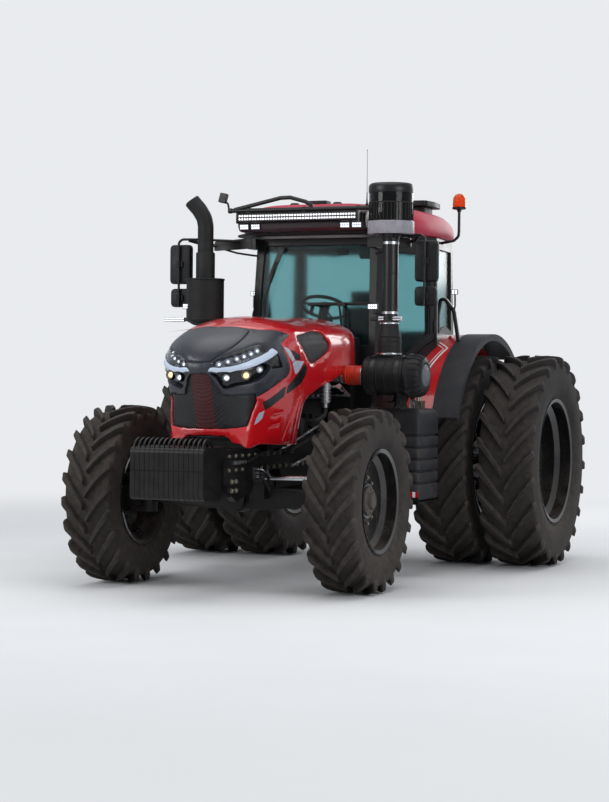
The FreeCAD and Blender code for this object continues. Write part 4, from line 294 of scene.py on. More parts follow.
def floor_finish():
    """A pale matt floor that fades into the backdrop away from the tractor, for the camera alone."""
    made, tree, shader, place = new_material("pale_studio_floor", Roughness=0.9)
    feed(tree, shader, Base_Color=tones_by(tree, ("#DADBDC", "#E2E3E4"), noise(tree, place, 0.8, 3.0)))
    away = add(tree, "VectorMath", {"operation": "LENGTH"}, {0: place}).outputs["Value"]
    far = ramp(tree, away, 4.5, 13.0, interpolation_type="SMOOTHSTEP")
    hidden = times(tree, far, add(tree, "LightPath").outputs["Is Camera Ray"])
    glow = add(tree, "Emission", {"Color": linear(BACKDROP), "Strength": 1.0})
    both = add(tree, "MixShader", links={0: hidden, 1: shader.outputs["BSDF"], 2: glow.outputs["Emission"]})
    output = next(item for item in tree.nodes if item.type == "OUTPUT_MATERIAL")
    tree.links.new(both.outputs[0], output.inputs["Surface"])
    return made


FLOOR_REACH = 60
corners = [(x * FLOOR_REACH, y * FLOOR_REACH, 0) for x, y in ((-1, -1), (1, -1), (1, 1), (-1, 1))]
floor_mesh = bpy.data.meshes.new("Floor")
floor_mesh.from_pydata(corners, [], [(0, 1, 2, 3)])
floor = bpy.data.objects.new("Floor", floor_mesh)
floor_mesh.materials.append(floor_finish())
scene.collection.objects.link(floor)

world = bpy.data.worlds.new("Studio")
world.use_nodes = True
scene.world = world
sky = world.node_tree
sky.nodes.clear()
path = add(sky, "LightPath")
rays = {0: path.outputs["Is Camera Ray"], 1: path.outputs["Is Transmission Ray"]}
seen = add(sky, "Math", {"operation": "MAXIMUM"}, rays).outputs[0]
soft = add(sky, "Background", {"Color": linear("#E8ECF2"), "Strength": 0.62}).outputs[0]
plain = add(sky, "Background", {"Color": linear(BACKDROP), "Strength": 1.0}).outputs[0]
both = add(sky, "MixShader", links={0: seen, 1: soft, 2: plain})
add(sky, "OutputWorld", links={"Surface": both.outputs[0]})

LAMPS = (
    # name, place, looks at, width, height, watts
    ("Overhead", (0.0, -1.0, 9.0), (0, 0, 1.5), 9.0, 9.0, 420),
    ("Key", (-6.5, -9.5, 5.5), (0, -0.5, 1.3), 5.0, 4.0, 420),
    ("Fill", (9.5, -5.0, 4.0), (0, 0, 1.2), 5.0, 4.0, 260),
    ("Back", (2.0, 11.0, 5.0), (0, 0, 1.5), 6.0, 4.0, 300),
)
for name, place, target, width, height, watts in LAMPS:
    lamp = bpy.data.lights.new(name, "AREA")
    lamp.shape = "RECTANGLE"
    lamp.size, lamp.size_y, lamp.energy = width, height, watts
    item = bpy.data.objects.new(name, lamp)
    item.location = place
    item.rotation_euler = (Vector(target) - Vector(place)).to_track_quat("-Z", "Y").to_euler()
    item.visible_camera = False
    item.visible_transmission = False
    scene.collection.objects.link(item)
print("lamps", len(LAMPS))

# %% [markdown]
# ## Tools of the trade
# Shapes are collected in millimetres, as in the CAD model, and scaled to metres once.


# %% Shape helpers
MM = 0.001
AXLE_Y = 1615
UP = Vector((0, 0, 1))
HANDS = ((1, "left"), (-1, "right"))


def ahead(distance):
    """Y of a place so far ahead of the rear axle, in millimetres."""
    return AXLE_Y - distance


def round_edges(item, width, angle):
    """Gives edges sharper than the angle a small radius."""
    edge = item.modifiers.new("Edge", "BEVEL")
    edge.width, edge.segments, edge.limit_method = width * MM, 2, "ANGLE"
    edge.angle_limit = math.radians(angle)
    return edge


def make(shape, name, material, angle=35, bevel=0, body="chassis", replaces=()):
    """Turns collected faces into one piece that rides on a body. Edges sharper than the angle stay crisp."""
    bmesh.ops.remove_doubles(shape, verts=shape.verts, dist=0.02)
    bmesh.ops.recalc_face_normals(shape, faces=shape.faces)
    bmesh.ops.scale(shape, vec=(MM, MM, MM), verts=shape.verts)
    mesh = bpy.data.meshes.new(name)
    shape.to_mesh(mesh)
    shape.free()
    for item in material if isinstance(material, (list, tuple)) else [material]:
        mesh.materials.append(item)
    mesh.polygons.foreach_set("use_smooth", [True] * len(mesh.polygons))
    mesh.set_sharp_from_angle(angle=math.radians(angle))
    piece = bpy.data.objects.new(name, mesh)
    scene.collection.objects.link(piece)
    if bevel:
        round_edges(piece, bevel, angle)
    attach(piece, body)
    if replaces:
        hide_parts(*replaces)
    print(name, len(mesh.polygons))
    return piece


def grow(shape, points, faces, index=0):
    """Adds points and faces to a shape, faces as lists of point numbers."""
    made = [shape.verts.new(point) for point in points]
    for face in faces:
        shape.faces.new([made[number] for number in face]).material_index = index


def hull(shape, rings, index=0, capped=True):
    """Joins rings of vertices side by side, and closes both ends."""
    count = len(rings[0])
    for one, two in zip(rings, rings[1:]):
        for k in range(count):
            shape.faces.new((one[k], one[(k + 1) % count], two[(k + 1) % count], two[k])).material_index = index
    if capped:
        shape.faces.new(list(reversed(rings[0]))).material_index = index
        shape.faces.new(rings[-1]).material_index = index


CUBE_FACES = [(0, 2, 3, 1), (4, 5, 7, 6), (0, 1, 5, 4), (2, 6, 7, 3), (0, 4, 6, 2), (1, 3, 7, 5)]


def cube_corners(low, high):
    """A box's eight corners, whichever way round its limits are given."""
    across, along, rise = (sorted(pair) for pair in zip(low, high))
    return [Vector((x, y, z)) for z in rise for y in along for x in across]


def box(shape, low, high, index=0, turn=None):
    """A box, turned about its own middle if a turn is given."""
    points = cube_corners(low, high)
    if turn is not None:
        middle = (Vector(low) + Vector(high)) / 2
        points = [middle + turn @ (point - middle) for point in points]
    grow(shape, points, CUBE_FACES, index)


def prism(shape, outline, axis, low, high, index=0):
    """A prism from an outline: (y, z) along x, (x, z) along y, or (x, y) along z."""
    def spot(one, two, along):
        return {"x": (along, one, two), "y": (one, along, two), "z": (one, two, along)}[axis]

    count = len(outline)
    points = [spot(one, two, low) for one, two in outline] + [spot(one, two, high) for one, two in outline]
    faces = [tuple(range(count)), tuple(range(2 * count - 1, count - 1, -1))]
    faces += [(i, count + i, count + (i + 1) % count, (i + 1) % count) for i in range(count)]
    grow(shape, points, faces, index)


def frame_of(direction):
    """Two unit vectors square to a direction."""
    direction = Vector(direction).normalized()
    side = direction.cross(Vector((0, 0, 1)))
    if side.length < 0.1:
        side = direction.cross(Vector((0, 1, 0)))
    side.normalize()
    return side, side.cross(direction).normalized()


def spaced(count, radius, start=0.0):
    """Points spaced round a circle, as (turn, cosine side, sine side)."""
    for k in range(count):
        turn = math.tau * (k + start) / count
        yield turn, radius * math.cos(turn), radius * math.sin(turn)


def lathe(shape, profile, centre, direction, segments=48, index=0):
    """Turns a closed profile of (along, radius) about an axis through centre."""
    along = Vector(direction).normalized()
    side, other = frame_of(along)
    centre = Vector(centre)
    rings = []
    for distance, radius in profile:
        if radius < 0.01:
            rings.append([shape.verts.new(centre + along * distance)] * segments)
            continue
        middle = centre + along * distance
        spots = [middle + side * one + other * two for turn, one, two in spaced(segments, radius)]
        rings.append([shape.verts.new(spot) for spot in spots])
    closed = profile[0][1] >= 0.01 and profile[-1][1] >= 0.01
    count = len(rings)
    for number in range(count if closed else count - 1):
        one, two = rings[number], rings[(number + 1) % count]
        for step in range(segments):
            corners = []
            for vert in (one[step], one[(step + 1) % segments], two[(step + 1) % segments], two[step]):
                if vert not in corners:
                    corners.append(vert)
            if len(corners) > 2:
                shape.faces.new(corners).material_index = index


def rod(shape, start, end, radius, end_radius=None, segments=20, index=0):
    """A round bar between two points, tapered if it has an end radius."""
    start, end = Vector(start), Vector(end)
    length = (end - start).length
    lathe(shape, [(0, 0), (0, radius), (length, end_radius or radius), (length, 0)], start, end - start, segments,
          index)


def rounded(points, bend, steps=7):
    """A path's corners rounded to a bend radius."""
    points = [Vector(point) for point in points]
    path = [points[0]]
    for before, corner, after in zip(points, points[1:], points[2:]):
        into, out = (corner - before).normalized(), (after - corner).normalized()
        turn = into.angle(out)
        if turn < 0.02:
            continue
        back = min(bend * math.tan(turn / 2), 0.49 * (corner - before).length, 0.49 * (after - corner).length)
        enter, leave = corner - into * back, corner + out * back
        for step in range(steps + 1):
            share = step / steps
            path.append(enter * (1 - share) ** 2 + corner * 2 * share * (1 - share) + leave * share ** 2)
    path.append(points[-1])
    return path


def sweep(shape, path, section, index=0, start_side=None):
    """Sweeps a closed section of (across, up) along a path, without twist."""
    path = [Vector(point) for point in path]
    side = None
    rings = []
    for number, point in enumerate(path):
        before, after = path[max(number - 1, 0)], path[min(number + 1, len(path) - 1)]
        along = (after - before).normalized()
        if side is None:
            side = Vector(start_side) if start_side else frame_of(along)[0]
        side = (side - along * side.dot(along)).normalized()
        up = side.cross(along)
        rings.append([shape.verts.new(point + side * across + up * rise) for across, rise in section])
    hull(shape, rings, index)


def circle(radius, sides=16):
    """A round section for sweep."""
    return [(one, two) for turn, one, two in spaced(sides, radius)]


def tube(shape, points, radius, bend=60, sides=16, index=0):
    """A round tube along a path whose corners are bent."""
    sweep(shape, rounded(points, bend), circle(radius, sides), index)


def bolt(shape, place, direction, size, index=0):
    """A hexagon head on its washer."""
    direction = Vector(direction).normalized()
    washer = ((0, 0), (0, 1.15), (0.22, 1.15), (0.22, 0))
    head = ((0.22, 0), (0.22, 0.9), (0.8, 0.9), (0.95, 0.7), (0.95, 0))
    for profile, sides in ((washer, 18), (head, 6)):
        lathe(shape, [(size * along, size * radius) for along, radius in profile], Vector(place), direction, sides,
              index)


def soft_outline(points, radius, steps=5):
    """A closed flat outline with its corners rounded."""
    count = len(points)
    out = []
    for number in range(count):
        before, corner, after = Vector(points[number - 1]), Vector(points[number]), Vector(points[(number + 1) % count])
        back_in = min(radius, 0.45 * (corner - before).length)
        back_out = min(radius, 0.45 * (after - corner).length)
        enter = corner + (before - corner).normalized() * back_in
        leave = corner + (after - corner).normalized() * back_out
        for step in range(steps + 1):
            share = step / steps
            spot = enter * (1 - share) ** 2 + corner * 2 * share * (1 - share) + leave * share ** 2
            out.append((spot.x, spot.y))
    return out


def plate(low, high, radius, steps=5):
    """A rectangle's outline with rounded corners."""
    return soft_outline([low, (high[0], low[1]), high, (low[0], high[1])], radius, steps)


def to_side(hand, points):
    """A path or outline with its first coordinate put on one side of the tractor."""
    return [(hand * point[0], *point[1:]) for point in points]


def mirror(shape):
    """Adds the shape's mirror image across the tractor's middle."""
    copy = bmesh.ops.duplicate(shape, geom=shape.verts[:] + shape.edges[:] + shape.faces[:])["geom"]
    for item in copy:
        if isinstance(item, bmesh.types.BMVert):
            item.co.x = -item.co.x
    bmesh.ops.reverse_faces(shape, faces=[item for item in copy if isinstance(item, bmesh.types.BMFace)])


def surface(*names):
    """The faces of CAD nodes as one search tree, in millimetres."""
    points, faces = [], []
    for name in names:
        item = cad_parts[name]
        start = len(points)
        points += [item.matrix_world @ vert.co * 1000 for vert in item.data.vertices]
        faces += [[start + number for number in face.vertices] for face in item.data.polygons]
    return BVHTree.FromPolygons(points, faces)


def seat_on(tree, start, way, least=0.9):
    """Where a line meets the surface square on, or None where it doesn't."""
    way = Vector(way).normalized()
    spot, normal, number, distance = tree.ray_cast(Vector(start), way)
    return spot if spot is not None and abs(normal.dot(way)) > least else None


def dress(finish_name, *names, bevel=0):
    """Gives CAD nodes their finish, and the edge radius of a real casting or pressing."""
    for name in names:
        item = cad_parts[name]
        if not item.material_slots:
            item.data.materials.append(finish_name)
        for slot in item.material_slots:
            slot.material = finish_name
        if bevel:
            round_edges(item, bevel, 40)


# %% [markdown]
# ## Wheels
# A tractor tyre is a bulged carcass with slanting lugs, whose shoulders run down the side.
# The carcass is turned, and each lug is a closed bar laid over it.

# %% Tyres
LUG_HEIGHT = 48
LUG_LEAD = 1.25
FRONT_Y = ahead(3050)
FRONT_RADIUS, REAR_RADIUS = 737, 967
FRONT_WIDTH, REAR_WIDTH = 430, 530
FRONT_MIDDLE, INNER_MIDDLE, OUTER_MIDDLE = 1045, 980, 1600


def smooth_profile(points, steps=3):
    """A Catmull-Rom curve through a profile's points."""
    out = []
    for number in range(len(points) - 1):
        before = points[max(number - 1, 0)]
        one, two = points[number], points[number + 1]
        after = points[min(number + 2, len(points) - 1)]
        for step in range(steps):
            t = step / steps
            spot = []
            for a, b, c, d in zip(before, one, two, after):
                square, cube = 2 * a - 5 * b + 4 * c - d, 3 * b - a - 3 * c + d
                spot.append(0.5 * (2 * b + (c - a) * t + square * t * t + cube * t ** 3))
            out.append(tuple(spot))
    out.append(points[-1])
    return out


def tyre(shape, outer, width, bead, lugs, centre):
    """A carcass turned about its axle, with slanting lugs laid over it, left and right in turn."""
    half = width / 2
    crown = outer - LUG_HEIGHT
    wall = outer - bead
    side = [
        (0, crown), (0.4 * half, crown - 3), (0.72 * half, crown - 12), (0.88 * half, crown - 26),
        (0.94 * half, crown - 48), (0.965 * half, bead + 0.56 * wall), (0.97 * half, bead + 0.44 * wall),
        (0.945 * half, bead + 0.28 * wall), (0.88 * half, bead + 0.16 * wall), (0.83 * half, bead + 0.11 * wall),
    ]
    side = smooth_profile(side, 3)
    side += [
        (0.845 * half, bead + 0.10 * wall), (0.84 * half, bead + 0.07 * wall), (0.80 * half, bead + 0.055 * wall),
        (0.775 * half, bead + 19), (0.77 * half, bead),
    ]
    profile = [(-across, radius) for across, radius in reversed(side)] + side[1:]
    lathe(shape, profile, centre, (1, 0, 0), 96)
    pitch = 2 * math.pi / lugs
    stations = (
        # top: share of the half width, below the tread; foot: the same
        (0.05, -1, 0.05, -52), (0.25, -1, 0.25, -54), (0.5, -3, 0.5, -60), (0.72, -7, 0.72, -70),
        (0.88, -12, 0.80, -84), (0.955, -24, 0.84, -96), (0.99, -52, 0.88, -108), (0.992, -88, 0.90, -118),
        (0.975, -116, 0.90, -124),
    )
    reach = (0.97 - 0.06) * half
    centre = Vector(centre)
    for hand in (1, -1):
        for number in range(lugs):
            angle = (0 if hand > 0 else pitch / 2) + number * pitch
            rings = []
            for k, (top_x, top_r, foot_x, foot_r) in enumerate(stations):
                t = min((top_x - 0.05) / 0.92, 1.0)
                lead = angle - LUG_LEAD * reach * (t * (1.2 - 0.2 * t)) / outer
                wide = 54 + 18 * t
                if k > 6:
                    wide -= 10 * (k - 6)
                trail = lead - wide / outer
                ring = [(share, lead + slide / outer) for share, slide in ((0, 9), (0.84, 1), (1, -6))]
                ring += [(share, trail + slide / outer) for share, slide in ((1, 6), (0.84, -1), (0, -9))]
                verts = []
                for share, turn in ring:
                    x = hand * half * (foot_x + (top_x - foot_x) * share)
                    r = outer + foot_r + (top_r - foot_r) * share
                    verts.append(shape.verts.new(centre + Vector((x, r * math.cos(turn), r * math.sin(turn)))))
                rings.append(verts)
            hull(shape, rings)


WHEELS = (
    # piece, body, node, outer radius, width, bead, lugs, the tyres' middles
    ("front_tyre", "front_wheel", "front_tyre", FRONT_RADIUS, FRONT_WIDTH, 400, 22, (FRONT_MIDDLE,)),
    ("rear_tyre", "rear_wheels", "rear_tyres", REAR_RADIUS, REAR_WIDTH, 552, 24, (INNER_MIDDLE, OUTER_MIDDLE)),
)
for name, body, node, outer, width, bead, lugs, middles in WHEELS:
    for hand, word in HANDS:
        shape = bmesh.new()
        for x in middles:
            tyre(shape, outer, width, bead, lugs, (x * hand, FRONT_Y if name == "front_tyre" else AXLE_Y, outer))
        make(shape, f"{name}_{word}", RUBBER, 38, body=f"{body}_{word}", replaces=(f"{node}_{word}",))

# %% Wheel hubs, nuts and valves
FACE_GAP = 0.2
HUB_FACE = 26.2
FRONT_DISC = 0.385 * FRONT_WIDTH + 14 - 130  # half the rim, its wall, less how deep the disc sits
REAR_DISCS = ((INNER_MIDDLE, 60), (OUTER_MIDDLE, -45))


def ring_of_bolts(shape, face, hand, count, radius, out, size, start=0.0):
    """Bolts round an axle, their heads facing away from the tractor."""
    for turn, one, two in spaced(count, radius, start):
        bolt(shape, face + Vector((hand * out, one, two)), (hand, 0, 0), size)


for hand, word in HANDS:
    face = Vector((hand * (FRONT_MIDDLE + FRONT_DISC), FRONT_Y, FRONT_RADIUS))
    shape = bmesh.new()
    profile = [(HUB_FACE, 0), (HUB_FACE, 118), (40, 116), (46, 108), (50, 70), (72, 62), (78, 52), (78, 0)]
    lathe(shape, profile, face, (hand, 0, 0), 48)
    ring_of_bolts(shape, face, hand, 8, 90, 46, 9)
    make(shape, f"front_hub_{word}", BRONZE_GREY, 30, body=f"front_wheel_{word}")
    shape = bmesh.new()
    ring_of_bolts(shape, face, hand, 12, 190, FACE_GAP, 15, 0.5)
    rod(shape, face + Vector((hand * FACE_GAP, 0, 300)), face + Vector((hand * 45, 0, 325)), 7, 5, 12)
    make(shape, f"front_nuts_{word}", ZINC, 30, body=f"front_wheel_{word}")
    shape = bmesh.new()
    for middle, place in REAR_DISCS:
        face = Vector((hand * (middle + place), AXLE_Y, REAR_RADIUS))
        ring_of_bolts(shape, face, hand, 10, 225, FACE_GAP, 17, 0.5)
        ring_of_bolts(shape, face, hand, 6, 120, HUB_FACE, 13)
    make(shape, f"rear_nuts_{word}", ZINC, 30, body=f"rear_wheels_{word}")

# %% [markdown]
# ## Bonnet and nose
# The skin is one smooth function: sides, a rounded front and an arched top, blended softly.
# Each panel is an outline on that skin: how far along from the rear axle, and how far round from the top.

# %% The bonnet's skin
SKIN_LEVELS = (
    # height, half width at the corner, where the corner starts, where the nose ends
    (1120, 338, 3650, 3690), (1185, 345, 3655, 3700), (1310, 358, 3645, 3720), (1585, 405, 3560, 3800),
    (1835, 490, 3400, 3850), (1985, 475, 3320, 3740), (2090, 455, 3160, 3520), (2326, 400, 2700, 2850),
)
SKIN_TOP = ((1600, 2237), (2400, 2212), (3350, 2165), (3860, 1985))
SKIN_REAR, SKIN_WAIST, SKIN_HALF = 1665, 2910, 480  # where the sides start, where they draw in, half width
CORE_Y, CORE_Z = 3200, 1600  # the point that the skin's coordinates turn about
FAN, ROUND = 630, 500  # millimetres for each radian, along the nose and round the bonnet
BOTTOM = math.pi * ROUND


def bend(value, table, column=1):
    """A smooth curve through a table's points."""
    xs = np.array([row[0] for row in table], float)
    ys = np.array([row[column] for row in table], float)
    slope = np.gradient(ys, xs)
    value = np.clip(value, xs[0], xs[-1])
    place = np.clip(np.searchsorted(xs, value, side="right") - 1, 0, len(xs) - 2)
    wide = xs[place + 1] - xs[place]
    t = (value - xs[place]) / wide
    start = (2 * t ** 3 - 3 * t ** 2 + 1) * ys[place] + (t ** 3 - 2 * t ** 2 + t) * wide * slope[place]
    return start + (3 * t ** 2 - 2 * t ** 3) * ys[place + 1] + (t ** 3 - t ** 2) * wide * slope[place + 1]


def soft_max(one, two, blend):
    """The larger of two values, rounded where they meet."""
    return 0.5 * (one + two + np.sqrt((one - two) ** 2 + blend * blend))


def skin(spots):
    """Below 0 inside the skin, above 0 outside it, at points (across, ahead of the rear axle, up)."""
    x, y, z = np.abs(spots[..., 0]), spots[..., 1], spots[..., 2]
    corner, start, nose = (bend(z, SKIN_LEVELS, column) for column in (1, 2, 3))
    share = np.clip((y - SKIN_REAR) / (SKIN_WAIST - SKIN_REAR), 0, 1)
    shoulder = np.minimum(SKIN_HALF, corner + (SKIN_HALF - corner) * 0.8)
    late = np.clip((y - SKIN_WAIST) / np.maximum(start - SKIN_WAIST, 1), 0, 1)
    side = SKIN_HALF + (shoulder - SKIN_HALF) * share ** 2 + (corner - shoulder) * late * late * (3 - 2 * late)
    reach = nose - start
    radius = (corner ** 2 + reach ** 2) / (2 * reach)
    past = y - (nose - radius)
    front = np.hypot(x, np.maximum(past, 0)) - radius + np.minimum(past, 0) * 0.3
    arch = (520 ** 2 + 150 ** 2) / 300
    over = np.hypot(x, z - (bend(y, SKIN_TOP) - arch)) - arch
    return soft_max(soft_max(x - side, front, 40), over, 50)


def outward(spots):
    """The skin's unit normals at points near it."""
    spots = np.asarray(spots, float)
    steps = [(skin(spots + step) - skin(spots - step)) / 4 for step in np.eye(3) * 2.0]
    found = np.stack(steps, -1)
    return found / np.maximum(np.linalg.norm(found, axis=-1, keepdims=True), 1e-9)


def search(base, way, reach):
    """Where rays leave the skin."""
    low, high = np.zeros(len(base)), np.full(len(base), float(reach))
    for _ in range(34):
        middle = (low + high) / 2
        inside = skin(base + way * middle[:, None]) < 0
        low, high = np.where(inside, middle, low), np.where(inside, high, middle)
    return base + way * low[:, None]


def round_skin(pairs):
    """Points on the skin from (along, round) pairs: round is from the top's middle line."""
    pairs = np.asarray(pairs, float)
    along, turn = pairs[:, 0], pairs[:, 1] / ROUND
    fan = np.clip((along - CORE_Y) / FAN, 0, math.pi / 2)
    way = np.stack([np.sin(turn) * np.cos(fan), np.sin(fan), np.cos(turn) * np.cos(fan)], -1)
    base = np.stack([along * 0, np.minimum(along, CORE_Y), along * 0 + CORE_Z], -1)
    return search(base, way, 900)


def front_skin(pairs):
    """Points on the skin's front from (across, up) pairs."""
    pairs = np.asarray(pairs, float)
    base = np.stack([pairs[:, 0], pairs[:, 0] * 0 + 2900, pairs[:, 1]], -1)
    return search(base, np.tile((0.0, 1.0, 0.0), (len(pairs), 1)), 1100)


def dense(outline, step=24, closed=True):
    """An outline or an open line with points at most a step apart."""
    out = []
    for one, two in zip(outline, list(outline[1:]) + ([outline[0]] if closed else [])):
        parts = max(1, round(math.dist(one, two) / step))
        for k in range(parts):
            out.append((one[0] + (two[0] - one[0]) * k / parts, one[1] + (two[1] - one[1]) * k / parts))
    return out if closed else out + [tuple(outline[-1])]


def within(spots, outline):
    """Which points lie inside an outline."""
    inside = np.zeros(len(spots), bool)
    x, y = spots[:, 0], spots[:, 1]
    for (x1, y1), (x2, y2) in zip(outline, list(outline[1:]) + [outline[0]]):
        if y1 == y2:
            continue
        crosses = (y1 > y) != (y2 > y)
        inside ^= crosses & (x < (x2 - x1) * (y - y1) / (y2 - y1) + x1)
    return inside


def near(spots, outline, distance):
    """Which points lie within a distance of an outline's line."""
    found = np.zeros(len(spots), bool)
    for one, two in zip(outline, list(outline[1:]) + [outline[0]]):
        one, two = np.array(one), np.array(two)
        run = two - one
        t = np.clip((spots - one) @ run / max(run @ run, 1e-9), 0, 1)
        found |= np.linalg.norm(spots - one - t[:, None] * run, axis=1) < distance
    return found


def patchwork(outlines, spacing):
    """Triangles over the first outline, numbered by the last outline that holds each one."""
    outlines = [dense(outline) for outline in outlines]
    border = np.array(outlines[0])
    low, high = border.min(0), border.max(0)
    grid = []
    for row, v in enumerate(np.arange(low[1] + spacing / 2, high[1], spacing * 0.87)):
        for u in np.arange(low[0] + spacing * (0.5 if row % 2 else 0.25), high[0], spacing):
            grid.append((u, v))
    grid = np.array(grid)
    keep = within(grid, outlines[0])
    for outline in outlines:
        keep &= ~near(grid, outline, spacing * 0.45)
    points = [tuple(point) for point in grid[keep]]
    edges = []
    for outline in outlines:
        start, count = len(points), len(outline)
        points += outline
        edges += [(start + k, start + (k + 1) % count) for k in range(count)]
    found = delaunay_2d_cdt([Vector(point) for point in points], edges, [], 0, 0.05)
    flat = np.array([tuple(point) for point in found[0]])
    faces = [face for face in found[2] if len(face) == 3]
    middles = np.array([flat[list(face)].mean(0) for face in faces])
    label = np.full(len(faces), -1)
    for number, outline in enumerate(outlines):
        label[within(middles, outline) & (label >= (0 if number else -1))] = number
    return flat, faces, label


def panel(spots, faces, labels, lift, chamfer, depth):
    """A closed panel on both sides of the skin: its face raised by lift, rounded edges, its back depth below."""
    shape = bmesh.new()
    used = sorted({corner for face in faces for corner in face})
    verts = {number: shape.verts.new(spots[number]) for number in used}
    for face, label in zip(faces, labels):
        shape.faces.new([verts[number] for number in face]).material_index = label
    mirror(shape)
    for vert in shape.verts:
        if abs(vert.co.x) < 0.6:
            vert.co.x = 0
    bmesh.ops.remove_doubles(shape, verts=shape.verts, dist=0.05)
    bmesh.ops.recalc_face_normals(shape, faces=shape.faces)
    face = max(shape.faces, key=lambda item: item.calc_area())
    if Vector(outward(np.array(face.calc_center_median()))).dot(face.normal) < 0:
        bmesh.ops.reverse_faces(shape, faces=shape.faces)
    edge_verts = {vert for edge in shape.edges if len(edge.link_faces) == 1 for vert in edge.verts}
    bmesh.ops.inset_region(shape, faces=shape.faces, thickness=chamfer, use_boundary=True, use_even_offset=True)
    places = np.array([tuple(vert.co) for vert in shape.verts])
    normals = outward(places)
    bottoms = {}
    top = list(shape.verts)
    shape.verts.index_update()
    back_faces = [[vert.index for vert in item.verts] for item in shape.faces]
    border = [
        (edge.verts[0].index, edge.verts[1].index, edge.link_faces[0].material_index)
        for edge in shape.edges if len(edge.link_faces) == 1
    ]
    for vert, place, normal in zip(top, places, normals):
        fall = chamfer * 0.75 if vert in edge_verts else 0
        vert.co = place + normal * (lift - fall)
        bottoms[vert.index] = place - normal * depth
    backs = {number: shape.verts.new(spot) for number, spot in bottoms.items()}
    shape.verts.ensure_lookup_table()
    for corners in back_faces:
        shape.faces.new([backs[number] for number in reversed(corners)])
    for one, two, index in border:
        shape.faces.new((shape.verts[one], shape.verts[two], backs[two], backs[one])).material_index = index
    for vert in shape.verts:
        vert.co.y = AXLE_Y - vert.co.y
    return shape


BONNET_OUTLINE = (
    (1665, 0), (4189, 0), (4189, BOTTOM), (3813, BOTTOM), (3813, 1513), (3779, 1360), (3744, 1328), (3708, 1321),
    (3675, 1272), (3479, 1213), (3335, 1198), (3057, 1171), (2932, 1167), (2893, 1088), (2851, 985), (2798, 888),
    (2701, 823), (2599, 792), (2475, 751), (2258, 708), (2054, 657), (1783, 613), (1665, 600),
)
MARKS = (
    # what it is, corner radius, outline as (along, round)
    ("mask", 20, ((3501, 0), (3459, 159), (3368, 280), (3190, 344), (3067, 383), (3263, 437), (3207, 507), (3142, 562),
                  (3113, 618), (3150, 662),
                  (3316, 717), (3643, 829), (3700, 850), (3874, 880), (4189, 900), (4189, 0))),
    ("centre", 25, ((3501, 0), (3459, 159), (3447, 238), (3584, 271), (3683, 291), (3769, 295), (3842, 275),
                    (3951, 199), (3975, 68), (3978, 0))),
    ("lamp", 14, ((3959, 223), (3970, 286), (3943, 371), (3881, 444), (3823, 474), (3756, 485), (3629, 483),
                  (3521, 470), (3484, 456), (3491, 434),
                  (3520, 412), (3550, 399), (3652, 386), (3744, 369), (3820, 333), (3875, 290), (3924, 243))),
    ("strip", 10, ((4027, 237), (3995, 250), (3980, 290), (3952, 376), (3886, 451), (3826, 481), (3759, 492),
                   (3622, 490), (3512, 476), (3474, 462), (3443, 459), (3365, 490), (3473, 518), (3590, 539),
                   (3689, 550), (3789, 550), (3905, 511),
                   (3993, 392))),
    ("pod", 12, ((4034, 303), (4004, 380), (3909, 520), (3790, 556), (3719, 556), (3648, 550), (3582, 551), (3517, 581),
                 (3532, 612), (3599, 656),
                 (3672, 683), (3766, 705), (3873, 712), (3958, 745), (3999, 738), (4018, 661))),
    ("dark_end", 10, ((3472, 524), (3357, 501), (3329, 542), (3272, 594), (3505, 602), (3511, 578), (3556, 545))),
    ("grille", 8, ((4189, 0), (4063, 0), (4043, 283), (4053, 595), (4017, 865), (3873, 830), (3693, 812), (3665, 885),
                   (3697, 1005), (3700, 1123),
                   (3747, 1181), (3796, 1264), (3848, 1417), (3862, BOTTOM), (4189, BOTTOM))),
    ("silver_a", 0, ((3245, 453), (3194, 462), (3128, 479), (3027, 540), (3079, 556), (3167, 510))),
    ("black_a", 0, ((3119, 476), (3037, 485), (2918, 506), (2913, 538), (3018, 542))),
    ("silver_b", 0, ((3082, 564), (3022, 544), (2834, 548), (2902, 592), (2967, 634), (3013, 642))),
    ("black_b", 0, ((2830, 562), (2770, 588), (2797, 648), (2870, 712), (3071, 791), (3130, 809), (3122, 737),
                    (2993, 658))),
    ("black_c", 0, ((3592, 893), (3488, 865), (3326, 809), (3177, 747), (3143, 741), (3161, 836), (3427, 939),
                    (3517, 968))),
    ("silver_c", 0, ((3524, 971), (3540, 1043), (3587, 1075), (3638, 1103), (3636, 1049), (3612, 1000))),
    ("vent", 24, ((2972, 399), (2851, 384), (2493, 341), (2365, 351), (2339, 401), (2253, 442), (2285, 477),
                  (2489, 529), (2640, 565), (2699, 560),
                  (2836, 476))),
    ("ridge", 12, ((2880, 818), (2872, 862), (2927, 985), (2998, 1089), (3046, 1162), (3170, 1168), (3109, 1082),
                   (3008, 946))),
    ("slit_a", 3, ((3382, 1012), (3341, 993), (3168, 967), (3186, 982), (3307, 1010))),
    ("slit_b", 3, ((3397, 1100), (3345, 1082), (3203, 1054), (3220, 1067), (3341, 1094))),
)


def eased(radius, outline):
    """Rounds an outline's corners, but not those on the middle line."""
    if not radius:
        return list(outline)
    out = []
    count = len(outline)
    for number, corner in enumerate(outline):
        before, after = outline[number - 1], outline[(number + 1) % count]
        if corner[1] in (0, BOTTOM) or corner[0] > 4180:
            out.append(corner)
            continue
        here = Vector(corner)
        enter = here + (Vector(before) - here).normalized() * min(radius, 0.4 * math.dist(before, corner))
        leave = here + (Vector(after) - here).normalized() * min(radius, 0.4 * math.dist(after, corner))
        for share in (0, 0.33, 0.67, 1):
            out.append(tuple(enter * (1 - share) ** 2 + here * 2 * share * (1 - share) + leave * share ** 2))
    return out


